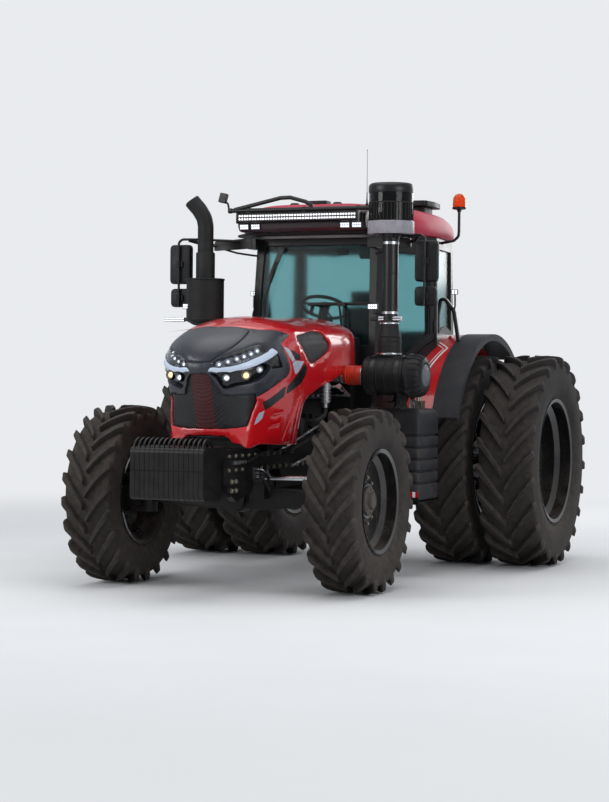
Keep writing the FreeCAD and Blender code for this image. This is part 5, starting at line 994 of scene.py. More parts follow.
names = ["bonnet"] + [mark[0] for mark in MARKS]
flat, faces, label = patchwork([BONNET_OUTLINE] + [eased(*mark[1:]) for mark in MARKS], 42)
spots = round_skin(flat)
FILMS = {"silver_a": 1, "silver_b": 1, "silver_c": 1, "black_a": 2, "black_b": 2, "black_c": 2}
PANELS = (
    # marks, lift, edge, depth, piece, finish, slot, replaces
    (("bonnet",) + tuple(FILMS), 0, 5, 14, "bonnet_skin", [RED, SILVER_FILM, BLACK_FILM], "body_red", ("bonnet",)),
    (("mask",), -2, 4, 52, "nose_surround", SLATE, "plastic_dark", ("nose_mask",)),
    (("centre",), 9, 8, 52, "nose_centre", SLATE, "plastic_dark", ()),
    (("dark_end",), -9, 2, 52, "lamp_end_covers", GLOSS_BLACK, "plastic_dark", ()),
    (("lamp",), -3, 2, 7, "headlamp_lenses", LENS, "lamp_lens", ("headlamps",)),
    (("strip",), 3, 5, 50, "light_guides", LIGHT_GUIDE, "lamp_lens", ("lamp_strips",)),
    (("vent",), -12, 3, 22, "side_vents", VENT_MESH, "plastic_dark", ()),
    (("ridge",), 9, 9, 12, "wing_ridges", RED, "body_red", ()),
    (("slit_a", "slit_b"), 4, 3, 12, "wing_folds", RED, "body_red", ()),
    (("lamp",), -45, 1, 51, "headlamp_trays", DARK_CHROME, "lamp_lens", ()),
    (("pod",), -40, 1, 51, "lamp_pods", GLOSS_BLACK, "lamp_lens", ()),
)
for marks, lift, edge, depth, name, finishes, slot, replaces in PANELS:
    chosen = [k for k in range(len(faces)) if label[k] >= 0 and names[label[k]] in marks]
    films = [FILMS.get(names[label[k]], 0) for k in chosen]
    shape = panel(spots, [faces[k] for k in chosen], films, lift, edge, depth)
    make(shape, name, finishes, 50, body="bonnet", replaces=replaces)

# %% Grille
GRILLE = next(mark for mark in MARKS if mark[0] == "grille")
edge = round_skin(dense(eased(*GRILLE[1:])[1:-1], 30, closed=False))
grille_outline = [(0, edge[0][2])] + [(x, z) for x, y, z in edge if x > 2] + [(0, edge[-1][2])]
strip_outline = [(0, 1200), (0, 1760), (62, 1760), (84, 1690), (84, 1200)]
flat, faces, label = patchwork([grille_outline, strip_outline], 40)
chosen = [k for k in range(len(faces)) if label[k] >= 0]
shape = panel(front_skin(flat), [faces[k] for k in chosen], [label[k] for k in chosen], -20, 3, 34)
make(shape, "nose_grille", [GRILLE_MESH, GRILLE_RED], 50, body="bonnet", replaces=("grilles",))

# %% Lamp units behind the lenses
def skin_spot(hand, along, turn, drop):
    """A spot below the skin, in scene coordinates."""
    spot = round_skin([(along, turn)])
    spot = spot - outward(spot) * drop
    return Vector((hand * spot[0][0], AXLE_Y - spot[0][1], spot[0][2]))


shapes = {key: bmesh.new() for key in ("housing", "led", "warm", "ring")}
SMALL_UNITS = ((3927, 318), (3862, 376), (3790, 412), (3725, 430), (3655, 436), (3580, 433))
POD_UNITS = ((3948, 588, "led", 24), (3773, 630, "warm", 30), (3615, 607, "led", 15))
for along, turn in SMALL_UNITS:
    for hand in (1, -1):
        spot = skin_spot(hand, along, turn, 44)
        face = Vector((hand * 0.25, -1, 0.1)).normalized()
        lathe(shapes["housing"], [(0, 0), (0, 17), (22, 24), (26, 24), (26, 20), (8, 12), (8, 0)], spot, face, 20)
        lathe(shapes["led"], [(8.5, 0), (8.5, 11), (15, 9), (18, 5), (19, 0)], spot, face, 16)
for along, turn, kind, size in POD_UNITS:
    bowl = [(0, 0), (0, size + 10), (26, size + 12), (32, size + 8), (32, size + 3), (12, size * 0.8), (12, 0)]
    for hand in (1, -1):
        spot = skin_spot(hand, along, turn, 42)
        face = Vector((hand * 0.3, -1, 0.05)).normalized()
        lathe(shapes["housing"], bowl, spot, face, 28)
        lathe(shapes[kind], [(12.5, 0), (12.5, size * 0.76), (22, size * 0.7), (28, size * 0.4), (30, 0)], spot, face,
              24)
        if kind == "led" and size < 20:
            lathe(shapes["ring"], [(32.3, size + 3), (32.3, size + 9), (35, size + 9), (35, size + 3)], spot, face, 28)
for key, finishes in (("housing", DARK_CHROME), ("led", LED), ("warm", WARM_LAMP), ("ring", CHROME)):
    make(shapes[key], f"lamp_units_{key}", finishes, 40, body="bonnet")

# %% [markdown]
# ## Stacks, hose and filter
# The clean air comes down the left stack; the exhaust leaves by the right one.

# %% Intake stack
STACK, MUFFLER = Vector((868, -258, 0)), Vector((-868, -258, 0))
shape = bmesh.new()
lathe(shape, [(2172, 60), (2172, 66), (3000, 66), (3000, 60)], STACK, UP, 56)
for z in (2330, 2600, 2870):
    lathe(shape, [(z, 64), (z, 67.5), (z + 3, 68.5), (z + 9, 68.5), (z + 12, 67.5), (z + 12, 64)], STACK, UP, 56)
make(shape, "intake_tube", SATIN_BLACK, 35, replaces=("intake_pipe",))
shape = bmesh.new()
boot = [(1897, 70), (1897, 99), (1915, 101), (1930, 98), (1960, 97), (2010, 99), (2060, 95), (2100, 86), (2130, 79),
        (2150, 76), (2200, 75), (2206, 72), (2206, 67)]
lathe(shape, boot, STACK, UP, 56)
for z in (1945, 1985, 2025, 2065):
    lathe(shape, [(z - 7, 92), (z, 101), (z + 7, 92)], STACK, UP, 56)
make(shape, "intake_boot", SOFT_RUBBER, 40)


def band_clamp(shape, centre, direction, radius, width=14):
    """A worm-drive hose clamp: a thin band, its edges turned up, with a screw housing."""
    half = width / 2
    lathe(shape, [(-half, radius - 1), (-half, radius + 1.8), (1 - half, radius + 1.2), (half - 1, radius + 1.2),
                  (half, radius + 1.8), (half, radius - 1)], centre, direction, 56)
    side, other = frame_of(direction)
    middle = Vector(centre) + side * (radius + 6)
    rod(shape, middle - other * 14, middle + other * 14, 5, segments=12)
    rod(shape, middle + other * 14, middle + other * 20, 6.5, segments=6)


shape = bmesh.new()
for z, radius in ((1922, 101.5), (2180, 76.5)):
    band_clamp(shape, STACK + UP * z, UP, radius)
lathe(shape, [(2258, 66), (2258, 71), (2278, 71), (2278, 66)], STACK, UP, 56)
lathe(shape, [(2850, 66), (2850, 70.5), (2872, 70.5), (2872, 66)], STACK, UP, 56)
make(shape, "intake_clamps", ZINC_BRIGHT, 35)

# %% Pre-cleaner
shape = bmesh.new()
lathe(shape, [(3292, 150), (3286, 181), (3284, 190), (3300, 193), (3338, 192), (3356, 184), (3366, 168), (3370, 120),
              (3371, 0)], STACK, UP, 64)
bmesh.ops.holes_fill(shape, edges=shape.edges, sides=80)
make(shape, "cleaner_cap", SATIN_BLACK, 40)
shape = bmesh.new()
lathe(shape, [(3046, 176), (3046, 184), (3120, 187), (3286, 187), (3286, 183), (3120, 183), (3050, 180)], STACK, UP, 64)
make(shape, "cleaner_bowl", BOWL, 40, replaces=("pre_cleaner",))
shape = bmesh.new()
lathe(shape, [(3040, 0), (3040, 150), (3060, 168), (3075, 168), (3080, 150), (3200, 148), (3270, 150), (3270, 0)],
      STACK, UP, 48)
for turn, one, two in spaced(30, 165):
    low, high = STACK + Vector((one - 14, two - 2.5, 3076)), STACK + Vector((one + 14, two + 2.5, 3195))
    box(shape, low, high, turn=Matrix.Rotation(turn + 0.6, 3, "Z"))
for turn, one, two in spaced(36, 187):
    foot = STACK + Vector((one, two, 0))
    rod(shape, foot + UP * 3052, foot + UP * 3196, 4.5, 3.5, 8)
lathe(shape, [(3196, 184), (3196, 191), (3206, 191), (3206, 184)], STACK, UP, 64)
make(shape, "cleaner_vanes", SOFT_RUBBER, 40)
shape = bmesh.new()
lathe(shape, [(2935, 150), (2935, 197), (2939, 199), (3040, 197), (3044, 196), (3044, 186), (3040, 186), (3036, 193),
              (2941, 195), (2939, 150)], STACK, UP, 64)
make(shape, "cleaner_skirt", SKIRT, 40)
shape = bmesh.new()
lathe(shape, [(2890, 66), (2890, 71), (2925, 74), (2985, 96), (3015, 120), (3040, 126), (3040, 66)], STACK, UP, 56)
for turn, one, two in spaced(4, 1, 0.5):
    way = Vector((one, two, 0))
    start, end = STACK + way * 66 + UP * 2900, STACK + way * 180 + UP * 3022
    sweep(shape, [start, end, end + UP * 26], [(-13, -3), (13, -3), (13, 3), (-13, 3)], start_side=(-two, one, 0))
make(shape, "cleaner_bracket", SATIN_BLACK, 40)


# %% Marker lamps at the stacks
def small_lamp(shapes, centre, facing, wide, high, deep=42, rows=1, across=3):
    """A black cast housing with fins behind, a clear face and bright diodes."""
    facing = Vector(facing).normalized()
    side = UP.cross(facing).normalized()
    rise = facing.cross(side)
    turn = Matrix((side, -facing, rise)).transposed()
    centre = Vector(centre)

    def cuboid(key, one, two):
        grow(shapes[key], [centre + turn @ point for point in cube_corners(one, two)], CUBE_FACES)

    cuboid("housing", (-wide / 2, 0, -high / 2), (wide / 2, deep * 0.55, high / 2))
    for k in range(5):
        x = -wide / 2 + wide * (k + 0.5) / 5
        cuboid("housing", (x - 2, deep * 0.55, -high * 0.42), (x + 2, deep, high * 0.42))
    rim = 3.5
    size = min(wide / across, high / rows)
    cuboid("led", (-wide / 2 + rim, -2, -high / 2 + rim), (wide / 2 - rim, 0.0, high / 2 - rim))
    for row in range(rows):
        for column in range(across):
            x = (wide - 2 * rim) * ((column + 0.5) / across - 0.5)
            z = (high - 2 * rim) * ((row + 0.5) / rows - 0.5)
            profile = [(0, 0), (0, size * 0.36), (3, size * 0.3), (4, 0)]
            lathe(shapes["core"], profile, centre + turn @ Vector((x, -2.05, z)), facing, 12)


shapes = {key: bmesh.new() for key in ("housing", "led", "core")}
small_lamp(shapes, (723, -300, 2321), (0.1, -1, -0.05), 88, 48, 50, 2, 4)
small_lamp(shapes, (-990, -372, 2329), (-0.1, -1, -0.05), 88, 48, 50, 2, 4)
small_lamp(shapes, (998, 1098, 2500), (0.15, -1, -0.05), 62, 46, 46, 2, 2)
small_lamp(shapes, (-998, 1098, 2500), (-0.15, -1, -0.05), 62, 46, 46, 2, 2)
for hand in (1, -1):
    for x in (529, 420):
        small_lamp(shapes, (hand * x, -188, 3030), (hand * 0.06, -1, -0.12), 88, 50, 30, 2, 4)
shape = shapes["housing"]
tube(shape, [(723, -262, 2300), (723, -262, 2262), (800, -262, 2262)], 7, 12, 10)
tube(shape, [(-985, -345, 2306), (-985, -345, 2268), (-960, -330, 2250)], 7, 12, 10)
for hand in (1, -1):
    tube(shape, [(hand * 998, 1118, 2478), (hand * 998, 1118, 2452), (hand * 1000, 1118, 2420)], 8, 12, 10)
make(shape, "lamp_housings", SATIN_BLACK, 35, replaces=("work_lamps",))
make(shapes["led"], "lamp_faces", LED_FACE, 35)
make(shapes["core"], "lamp_diodes", LED, 35)
shape = bmesh.new()
for hand, start, end, y in ((1, 780, 985, -300), (-1, 1066, 1262, -258)):
    for z in (2206, 2226):
        rod(shape, (hand * start, y, z), (hand * end, y, z), 11, segments=24)
    box(shape, (hand * (start - 3), y - 6, 2198), (hand * (end + 3), y + 16, 2234))
make(shape, "marker_lamps", CHROME, 35, bevel=2)
shape = bmesh.new()
for hand, inner, outer, y in ((1, 700, 800, -290), (-1, 870, 1070, -262)):
    box(shape, (hand * inner, y - 12, 2200), (hand * outer, y + 28, 2232))
make(shape, "marker_brackets", SATIN_BLACK, 35, bevel=4)

# %% Exhaust
shape = bmesh.new()
lathe(shape, [(2575, 70), (2575, 84), (2795, 84), (2806, 80), (2806, 70)], MUFFLER, UP, 56)
path = [(-868, -258, 2560), (-868, -258, 3040), (-880, -262, 3110), (-925, -272, 3185), (-968, -282, 3235),
        (-990, -287, 3262)]
outer = rounded(path, 150, 8)
sweep(shape, outer, circle(70, 40), start_side=(1, 0, 0))
make(shape, "exhaust_tube", MATT_BLACK, 40, replaces=("exhaust_pipe",))
shape = bmesh.new()
way = Vector((-0.55, -0.13, 0.8)).normalized()
lathe(shape, [(0, 0), (0, 62), (3, 62), (3, 0)], outer[-1] + way * 0.8, way, 40)
make(shape, "exhaust_mouth", CAST, 40)
shape = bmesh.new()
lathe(shape, [(2210, 150), (2210, 167), (2216, 169), (2222, 167), (2222, 150)], MUFFLER, UP, 64)
lathe(shape, [(2560, 150), (2560, 170), (2566, 173), (2574, 171), (2576, 165), (2576, 84), (2570, 84)], MUFFLER, UP, 64)
make(shape, "muffler_rims", MATT_BLACK, 40)

# %% Hose and air cleaner
FILTER_Y, FILTER_Z = -290, 1735
shape = bmesh.new()
profile = [(445, 60), (445, 72), (470, 72), (478, 76)]
for k in range(5):
    x = 485 + k * 22
    profile += [(x, 77), (x + 5, 84), (x + 11, 84), (x + 16, 77)]
profile += [(602, 76), (606, 84), (674, 86), (680, 83), (680, 60)]
lathe(shape, profile, (0, -262, FILTER_Z), (1, 0, 0), 56)
make(shape, "silicone_hose", SILICONE, 40, replaces=("intake_hose",))
shape = bmesh.new()
profile = [(183, 40), (183, 60), (300, 60), (304, 66), (312, 66), (316, 60), (372, 60), (376, 66), (384, 66), (388, 60),
           (452, 60), (452, 40)]
lathe(shape, profile, (0, -262, FILTER_Z), (1, 0, 0), 48)
make(shape, "intake_elbow", ALUMINIUM, 40)
shape = bmesh.new()
for x, radius in ((458, 73.5), (338, 61), (420, 61), (640, 86)):
    band_clamp(shape, (x, -262, FILTER_Z), (1, 0, 0), radius, 16)
make(shape, "hose_clamps", ZINC_BRIGHT, 35)

BODY, LID = 166, 180
shape = bmesh.new()
profile = [(664, 0), (664, 120), (672, 150), (686, 162), (692, BODY), (700, BODY)]
for x in (736, 808, 880, 952):
    profile += [(x - 6, BODY), (x - 3, BODY + 4), (x + 3, BODY + 4), (x + 6, BODY)]
profile += [(1040, BODY), (1044, LID - 4), (1050, LID + 4), (1058, LID + 8), (1078, LID + 8), (1086, LID + 4),
            (1092, LID), (1146, LID - 2), (1180, LID - 14),
            (1198, LID - 34), (1204, LID - 58), (1204, 108), (1194, 102), (1194, 70), (1204, 62), (1204, 0)]
lathe(shape, profile, (0, FILTER_Y, FILTER_Z), (1, 0, 0), 72)
for turn, one, two in spaced(20, 1):
    radial, side = Vector((0, one, two)), Vector((0, -two, one))
    start = Vector((1094, FILTER_Y, FILTER_Z)) + radial * (LID - 1)
    path = [start, start + Vector((56, 0, 0)) - radial * 2, start + Vector((88, 0, 0)) - radial * 13,
            start + Vector((105, 0, 0)) - radial * 34]
    sweep(shape, path, [(-5, -7), (5, -7), (3, 5), (-3, 5)], start_side=side)
for turn in (0.6, 2.2, 3.9, 5.3):
    radial, side = Vector((0, math.cos(turn), math.sin(turn))), Vector((0, -math.sin(turn), math.cos(turn)))
    place = Vector((1068, FILTER_Y, FILTER_Z)) + radial * (LID + 8)
    path = [place - Vector((38, 0, 0)) - radial * 8, place + radial * 9, place + Vector((30, 0, 0)) - radial * 6]
    sweep(shape, path, [(-15, -3), (15, -3), (15, 3), (-15, 3)], start_side=side)
make(shape, "filter_canister", BLACK_PLASTIC, 32, replaces=("air_cleaner",))
shape = bmesh.new()
lathe(shape, [(1195, 0), (1195, 96), (1203, 96), (1211, 88), (1213, 60), (1216, 54), (1217, 40), (1217, 0)],
      (0, FILTER_Y, FILTER_Z), (1, 0, 0), 64)
for turn, one, two in spaced(8, 1):
    radial = Vector((0, one, two))
    start = Vector((1208, FILTER_Y, FILTER_Z)) + radial * 46
    rod(shape, start, start + radial * 40, 6, 6, 10)
make(shape, "filter_cap_disc", GREY_DISC, 32)
shape = bmesh.new()
for x in (770, 990):
    lathe(shape, [(x - 20, BODY - 2), (x - 20, BODY + 4), (x + 20, BODY + 4), (x + 20, BODY - 2)],
          (0, FILTER_Y, FILTER_Z), (1, 0, 0), 64, 1)
    outline = [(-420, 1452), (-235, 1452), (-205, 1500), (-205, 1600), (-250, 1578), (-290, 1572), (-330, 1578),
               (-375, 1600), (-375, 1500)]
    prism(shape, outline, "x", x - 18, x + 18)
    box(shape, (x - 40, -420, 1450), (x + 40, -228, 1462))
    bolt(shape, (x, FILTER_Y, FILTER_Z + BODY + 3), (0, 0, 1), 13, 1)
make(shape, "filter_saddles", [BLACK_STEEL, SATIN_BLACK], 38, 1.5)

# %% [markdown]
# ## Roof
# The roof is a moulded cap: its edge bulges, and it narrows to the front and the rear.

# %% Roof cap
ROOF_PLAN = (
    # ahead of the origin's cross line (scene Y), half width
    (-78, 545), (-60, 575), (0, 622), (160, 700), (380, 780), (640, 838), (900, 858), (1200, 862), (1465, 856),
    (1650, 820), (1800, 755), (1900, 690), (1940, 640), (1948, 600),
)
ROOF_MIDDLE, ROOF_HALF = 935, 1013
ROOF_RINGS = (
    # height, inset
    (2992, 75), (2988, 40), (3000, 14), (3030, 2), (3070, 0), (3120, 14), (3165, 42), (3200, 84), (3226, 140),
    (3243, 215), (3254, 310), (3260, 420), (3262, 520),
)


def roof_ring(height, inset):
    """The plan's outline at a height, drawn in by the inset."""
    share = max(0.02, 1 - inset / ROOF_HALF)
    ring = [(max(8, half - inset * 0.96), ROOF_MIDDLE + (y - ROOF_MIDDLE) * share, height) for y, half in ROOF_PLAN]
    return ring + [(-x, y, z) for x, y, z in reversed(ring)]


shape = bmesh.new()
rings = [[shape.verts.new(point) for point in roof_ring(*row)] for row in ROOF_RINGS]
hull(shape, rings, capped=False)
for ring in (rings[0], rings[-1]):
    for k in range(len(ROOF_PLAN) - 1):
        shape.faces.new((ring[k], ring[k + 1], ring[-2 - k], ring[-1 - k]))
cap = make(shape, "roof_cap", ROOF_RED_SKY_TINTED, 32, replaces=("roof",))
smoother = cap.modifiers.new("Smooth", "SUBSURF")
smoother.levels = smoother.render_levels = 1

shape = bmesh.new()
outline = [(-800, 250), (-560, -40), (560, -40), (800, 250), (826, 1450), (640, 1890), (-640, 1890), (-826, 1450)]
prism(shape, soft_outline(outline, 90, 6), "z", 2972, 2990)
make(shape, "roof_lining", HEADLINER_DARK, 35, bevel=5)
shape = bmesh.new()
outline = [(-700, 330), (-470, 130), (470, 130), (700, 330), (760, 1400), (600, 1640), (-600, 1640), (-760, 1400)]
prism(shape, soft_outline(outline, 80), "z", 2948, 2970)
for x in (-330, 330):
    lathe(shape, [(2930, 0), (2930, 44), (2936, 52), (2950, 52), (2950, 0)], (x, 520, 0), UP, 24)
make(shape, "cab_headliner", HEADLINER, 35, bevel=6)

# %% Visor and light bar
shape = bmesh.new()
section = [(-168, 3004), (-178, 3030), (-182, 3060), (-182, 3120), (-172, 3146), (-150, 3160), (-70, 3176), (-40, 3170),
           (-40, 2998), (-60, 2984), (-150, 2984)]
stations = ((-600, 26), (-590, 12), (-570, 3), (-540, 0), (540, 0), (570, 3), (590, 12), (600, 26))
mid_y, mid_z = -105, 3075
rows = []
for x, tuck in stations:
    deep, tall = 1 - tuck / 100, 1 - tuck / 90
    rows.append([shape.verts.new((x, mid_y + (y - mid_y) * deep, mid_z + (z - mid_z) * tall)) for y, z in section])
hull(shape, rows)
make(shape, "visor_shell", VISOR, 35, bevel=3, replaces=("roof_visor",))
shape = bmesh.new()
outline = [(-262, 3070), (-262, 3138), (-244, 3148), (-196, 3148), (-184, 3138), (-184, 3070), (-196, 3062),
           (-244, 3062)]
prism(shape, soft_outline(outline, 6, 3), "x", -560, 560)
for k in range(45):
    x = -548 + k * 24.9
    box(shape, (x - 1.6, -244, 3147), (x + 1.6, -190, 3153))
    box(shape, (x - 1.6, -244, 3057), (x + 1.6, -190, 3063))
outline = soft_outline([(-268, 3056), (-268, 3154), (-190, 3154), (-176, 3110), (-190, 3056)], 14, 4)
for hand in (1, -1):
    prism(shape, outline, "x", hand * 560, hand * 572)
make(shape, "light_bar_housing", SATIN_BLACK, 35)
shape = bmesh.new()
box(shape, (-552, -266, 3072), (552, -261, 3138))
make(shape, "light_bar_lens", SATIN_BLACK, 35, bevel=2)
shape = bmesh.new()
for z in (3091, 3119):
    for k in range(44):
        x = -538 + k * 25.0
        lathe(shape, [(0, 0), (0, 9), (1.5, 8), (2.5, 0)], (x, -266.2, z), (0, -1, 0), 12)
make(shape, "light_bar_diodes", LED, 35)

# %% Rail, camera and aerial
shape = bmesh.new()
tube(shape, [(-640, -235, 3170), (-250, -235, 3172), (655, -235, 3170)], 19, 60, 18)
tube(shape, [(-600, -238, 3178), (-390, -240, 3222), (-160, -240, 3272), (-70, -240, 3274), (75, -238, 3234),
             (126, -236, 3206), (126, -235, 3172)], 18, 45, 18)
for x in (-470, 60, 560):
    box(shape, (x - 16, -246, 3150), (x + 16, -170, 3190))
    tube(shape, [(x, -235, 3186), (x, -180, 3188), (x, -100, 3170)], 9, 20, 12)
for x in (-640, 655):
    lathe(shape, [(-16, 0), (-16, 23), (16, 23), (16, 0)], (x, -235, 3170), (1, 0, 0), 24)
tube(shape, [(-652, -235, 3172), (-664, -235, 3232), (-696, -240, 3262)], 9, 16, 12)
lathe(shape, [(0, 0), (0, 13), (18, 13), (24, 8), (60, 6), (60, 0)], (640, -235, 3184), UP, 16)
make(shape, "rail_tubes", SATIN_BLACK, 40, replaces=("roof_rail",))
shape = bmesh.new()
turn = Matrix.Rotation(math.radians(12), 3, "Y") @ Matrix.Rotation(math.radians(-8), 3, "X")
box(shape, (-742, -262, 3240), (-670, -220, 3326), turn=turn)
make(shape, "camera_box", SATIN_BLACK, 40, bevel=7)
shape = bmesh.new()
rod(shape, (640, -235, 3240), (640, -235, 3660), 2.6, 1.6, 10)
lathe(shape, [(3240, 0), (3240, 5), (3300, 4.4), (3300, 0)], (640, -235, 0), UP, 12)
lathe(shape, [(3656, 0), (3656, 3.2), (3664, 3.2), (3666, 0)], (640, -235, 0), UP, 10)
make(shape, "aerial", SATIN_BLACK, 40)
shape = bmesh.new()
prism(shape, soft_outline([(430, 1195), (430, 1690), (672, 1675), (700, 1400), (680, 1195)], 50, 6), "z", 3300, 3352)
prism(shape, soft_outline([(500, 1290), (500, 1600), (622, 1590), (632, 1290)], 40, 6), "z", 3225, 3304)
lathe(shape, [(3250, 0), (3250, 84), (3290, 82), (3312, 68), (3322, 40), (3325, 0)], (0, 1115, 0), UP, 40)
for x in (-250, 160):
    lathe(shape, [(3240, 0), (3240, 46), (3262, 44), (3272, 30), (3275, 0)], (x, 300, 0), UP, 24)
box(shape, (-90, 200, 3232), (90, 330, 3282))
make(shape, "roof_pods", BLACK_PLASTIC, 35, bevel=8, replaces=("roof_units",))

# %% Beacon
BEACON = (1005, 1195)
shape = bmesh.new()
arm = [(820, 1195, 2950), (955, 1195, 2972), (1000, 1195, 3010), (1005, 1195, 3060), (1005, 1195, 3255)]
tube(shape, arm, 13, 50, 16)
lathe(shape, [(3235, 0), (3235, 16), (3252, 22), (3260, 60), (3266, 64), (3276, 64), (3280, 58), (3280, 0)],
      (*BEACON, 0), UP, 40)
box(shape, (796, 1160, 2925), (830, 1230, 2975))
make(shape, "beacon_arm", SATIN_BLACK, 35)
shape = bmesh.new()
profile = [(3278, 50), (3278, 57), (3286, 58)]
for k in range(6):
    z = 3290 + k * 12
    profile += [(z, 58 - k * 0.4), (z + 3, 60 - k * 0.4), (z + 8, 60 - k * 0.4), (z + 11, 58 - k * 0.4)]
profile += [(3370, 52), (3390, 38), (3400, 18), (3402, 0), (3397, 0), (3385, 34), (3365, 47), (3290, 52)]
lathe(shape, profile, (*BEACON, 0), UP, 48)
make(shape, "beacon_dome", AMBER, 40, replaces=("beacon",))
shape = bmesh.new()
lathe(shape, [(3280, 0), (3280, 34), (3302, 36), (3340, 36), (3358, 24), (3358, 0)], (*BEACON, 0), UP, 28)
make(shape, "beacon_core", BEACON_CORE, 40)

# %% [markdown]
# ## Mirrors, loops and cab details

# %% Mirrors
MIRRORS = (
    # middle across and up, the shell's width and height, the glass's width and height
    (1155, 2710, 205, 350, 180, 324), (1150, 2412, 195, 165, 170, 140),
)
for hand, word in HANDS:
    shell, glass, arm = bmesh.new(), bmesh.new(), bmesh.new()
    for across, z, wide, tall, glass_wide, glass_tall in MIRRORS:
        x = hand * across
        outline = plate((-wide / 2, -tall / 2), (wide / 2, tall / 2), 38, 6)
        rings = []
        for y, share in ((-182, 0.86), (-178, 0.95), (-162, 1.0), (-128, 1.0), (-120, 0.985)):
            rings.append([shell.verts.new((x + hand * one * share, y, z + two * share)) for one, two in outline])
        hull(shell, rings)
        box(shell, (x - 34, -200, z - 26), (x + 34, -180, z + 26))
        lathe(shell, [(-30, 0), (-30, 17), (30, 17), (30, 0)], (x, -204, z), UP, 20)
        one, two = glass_wide / 2, glass_tall / 2
        prism(glass, plate((x - one, z - two), (x + one, z + two), 28), "y", -122, -117)
    tube(arm, to_side(hand, [(560, 150, 2905), (700, 60, 2925), (1000, -170, 2930), (1120, -204, 2930),
                             (1156, -204, 2905),
                             (1156, -204, 2700), (1152, -204, 2410), (1152, -204, 2330)]), 11, 45, 14)
    outline = to_side(hand, [(560, 2860), (575, 2952), (800, 2935), (930, 2925), (935, 2840), (850, 2845), (700, 2850)])
    prism(arm, soft_outline(outline, 14, 4), "y", 64, 92)
    tube(arm, to_side(hand, [(900, 78, 2885), (1010, -30, 2900), (1080, -150, 2925)]), 16, 40, 14)
    tube(arm, to_side(hand, [(575, 225, 2800), (590, 130, 2800), (720, 90, 2820), (860, 78, 2860)]), 9, 30, 12)
    box(arm, (hand * 530, 70, 2852), (hand * 604, 232, 2944))
    node = ("mirrors",) if hand > 0 else ()
    make(shell, f"mirror_shells_{word}", BLACK_PLASTIC, 40, bevel=3, replaces=node)
    make(glass, f"mirror_glass_{word}", MIRROR_GLASS, 35)
    make(arm, f"mirror_arm_{word}", SATIN_BLACK, 35, bevel=2)

# %% Grab loops
LOOP = [(838, 1115, 2046), (836, 1115, 2300), (862, 1115, 2432), (905, 1115, 2436), (990, 1115, 2330),
        (1034, 1115, 2060)]
SECTION = [(-19.5, -11.25), (-15, -15.75), (15, -15.75), (19.5, -11.25), (19.5, 11.25), (15, 15.75), (-15, 15.75),
           (-19.5, 11.25)]
for hand, word in HANDS:
    shape = bmesh.new()
    sweep(shape, rounded(to_side(hand, LOOP), 60, 6), SECTION, start_side=(0, 1, 0))
    tube(shape, to_side(hand, [(992, 1115, 2332), (1000, 1115, 2380), (998, 1115, 2490)]), 8, 40, 12)
    node = ("grab_loops",) if hand > 0 else ()
    make(shape, f"grab_loop_{word}", SATIN_BLACK, 50, replaces=node)

# %% [markdown]
# ## Boxes, fenders and underside
# The ribbed boxes beside the cab, the fender's film and lamps, and the lines on engine and frame.


# %% Ribbed boxes
def loft(shape, outline_at, levels):
    """Joins rings into a closed form: outline_at(inset) gives a ring, levels are (height, inset)."""
    hull(shape, [[shape.verts.new((x, y, height)) for x, y in outline_at(inset)] for height, inset in levels])


def plate_outline(low, high, radius):
    """A ring for loft: a rounded rectangle that shrinks by the inset."""
    return lambda inset: plate((low[0] + inset, low[1] + inset), (high[0] - inset, high[1] - inset), radius)


GROOVES = (819, 920, 1023, 1125, 1226)
levels = [(672, 16), (680, 4), (690, 0)]
for height in GROOVES:
    levels += [(height - 20, 0), (height - 12, 4), (height - 7, 20), (height + 5, 20), (height + 9, 5),
               (height + 16, 0)]
levels += [(1395, 0), (1422, 5), (1440, 17), (1451, 38), (1455, 66)]
shape = bmesh.new()
loft(shape, plate_outline((760, -235), (1135, 285), 46), levels)
mirror(shape)
make(shape, "ribbed_boxes", FLARE_PLASTIC, 42, replaces=("side_boxes",))

shape = bmesh.new()
loft(shape, plate_outline((775, -248), (1140, 292), 20), [(652, 0), (662, 0)])
for y in (-244, 286):
    box(shape, (700, y - 4, 640), (1136, y + 4, 700))
mirror(shape)
make(shape, "box_shelves", BLACK_STEEL, 35, 1.5)

shape = bmesh.new()
for side in (1, -1):
    for k, index in ((0, 0), (1, 1), (2, 0)):
        box(shape, (side * (1050 + 26 * k), -241, 700), (side * (1075.6 + 26 * k), -234, 748), index)
make(shape, "corner_reflectors", [MARKER, WHITE_FILM], 35, 1.5)

shape = bmesh.new()
fill = Vector((905, -70, 1450))
lathe(shape, [(0, 0), (0, 62), (6, 66), (14, 60), (60, 50), (62, 48), (62, 0)], fill, UP, 40)
knurl = [(64, 0), (64, 56), (70, 60), (112, 60), (122, 52), (126, 0)]
lathe(shape, knurl, fill, UP, 40, 1)
for turn, one, two in spaced(20, 61):
    rod(shape, fill + Vector((one, two, 72)), fill + Vector((one, two, 112)), 4, segments=8, index=1)
lathe(shape, [(0, 0), (0, 44), (8, 48), (30, 48), (36, 40), (36, 0)], (-905, -70, 1452), UP, 36, 1)
make(shape, "filler_necks", [FLARE_PLASTIC, BLACK_PLASTIC], 40, 0.8)

shape = bmesh.new()
lathe(shape, [(0, 0), (0, 30), (70, 30), (84, 22), (90, 12), (90, 0)], (1035, -130, 1450), UP, 28)
lathe(shape, [(90, 0), (90, 19), (108, 19), (112, 15), (112, 0)], (1035, -130, 1450), UP, 28, 1)
box(shape, (1000, -30, 1452), (1080, 60, 1520), 2)
for y in (-12, 40):
    rod(shape, (1040, y, 1518), (1040, y, 1556), 13, segments=18, index=2)
    tube(shape, [(1040, y, 1550), (1040, y, 1592), (1000, y + 30, 1600), (880, y + 70, 1560), (740, y + 110, 1500)], 9,
         30, 12, 3)
make(shape, "box_valves", [LENS, BLACK_PLASTIC, ZINC, SOFT_RUBBER], 38, 0.8)

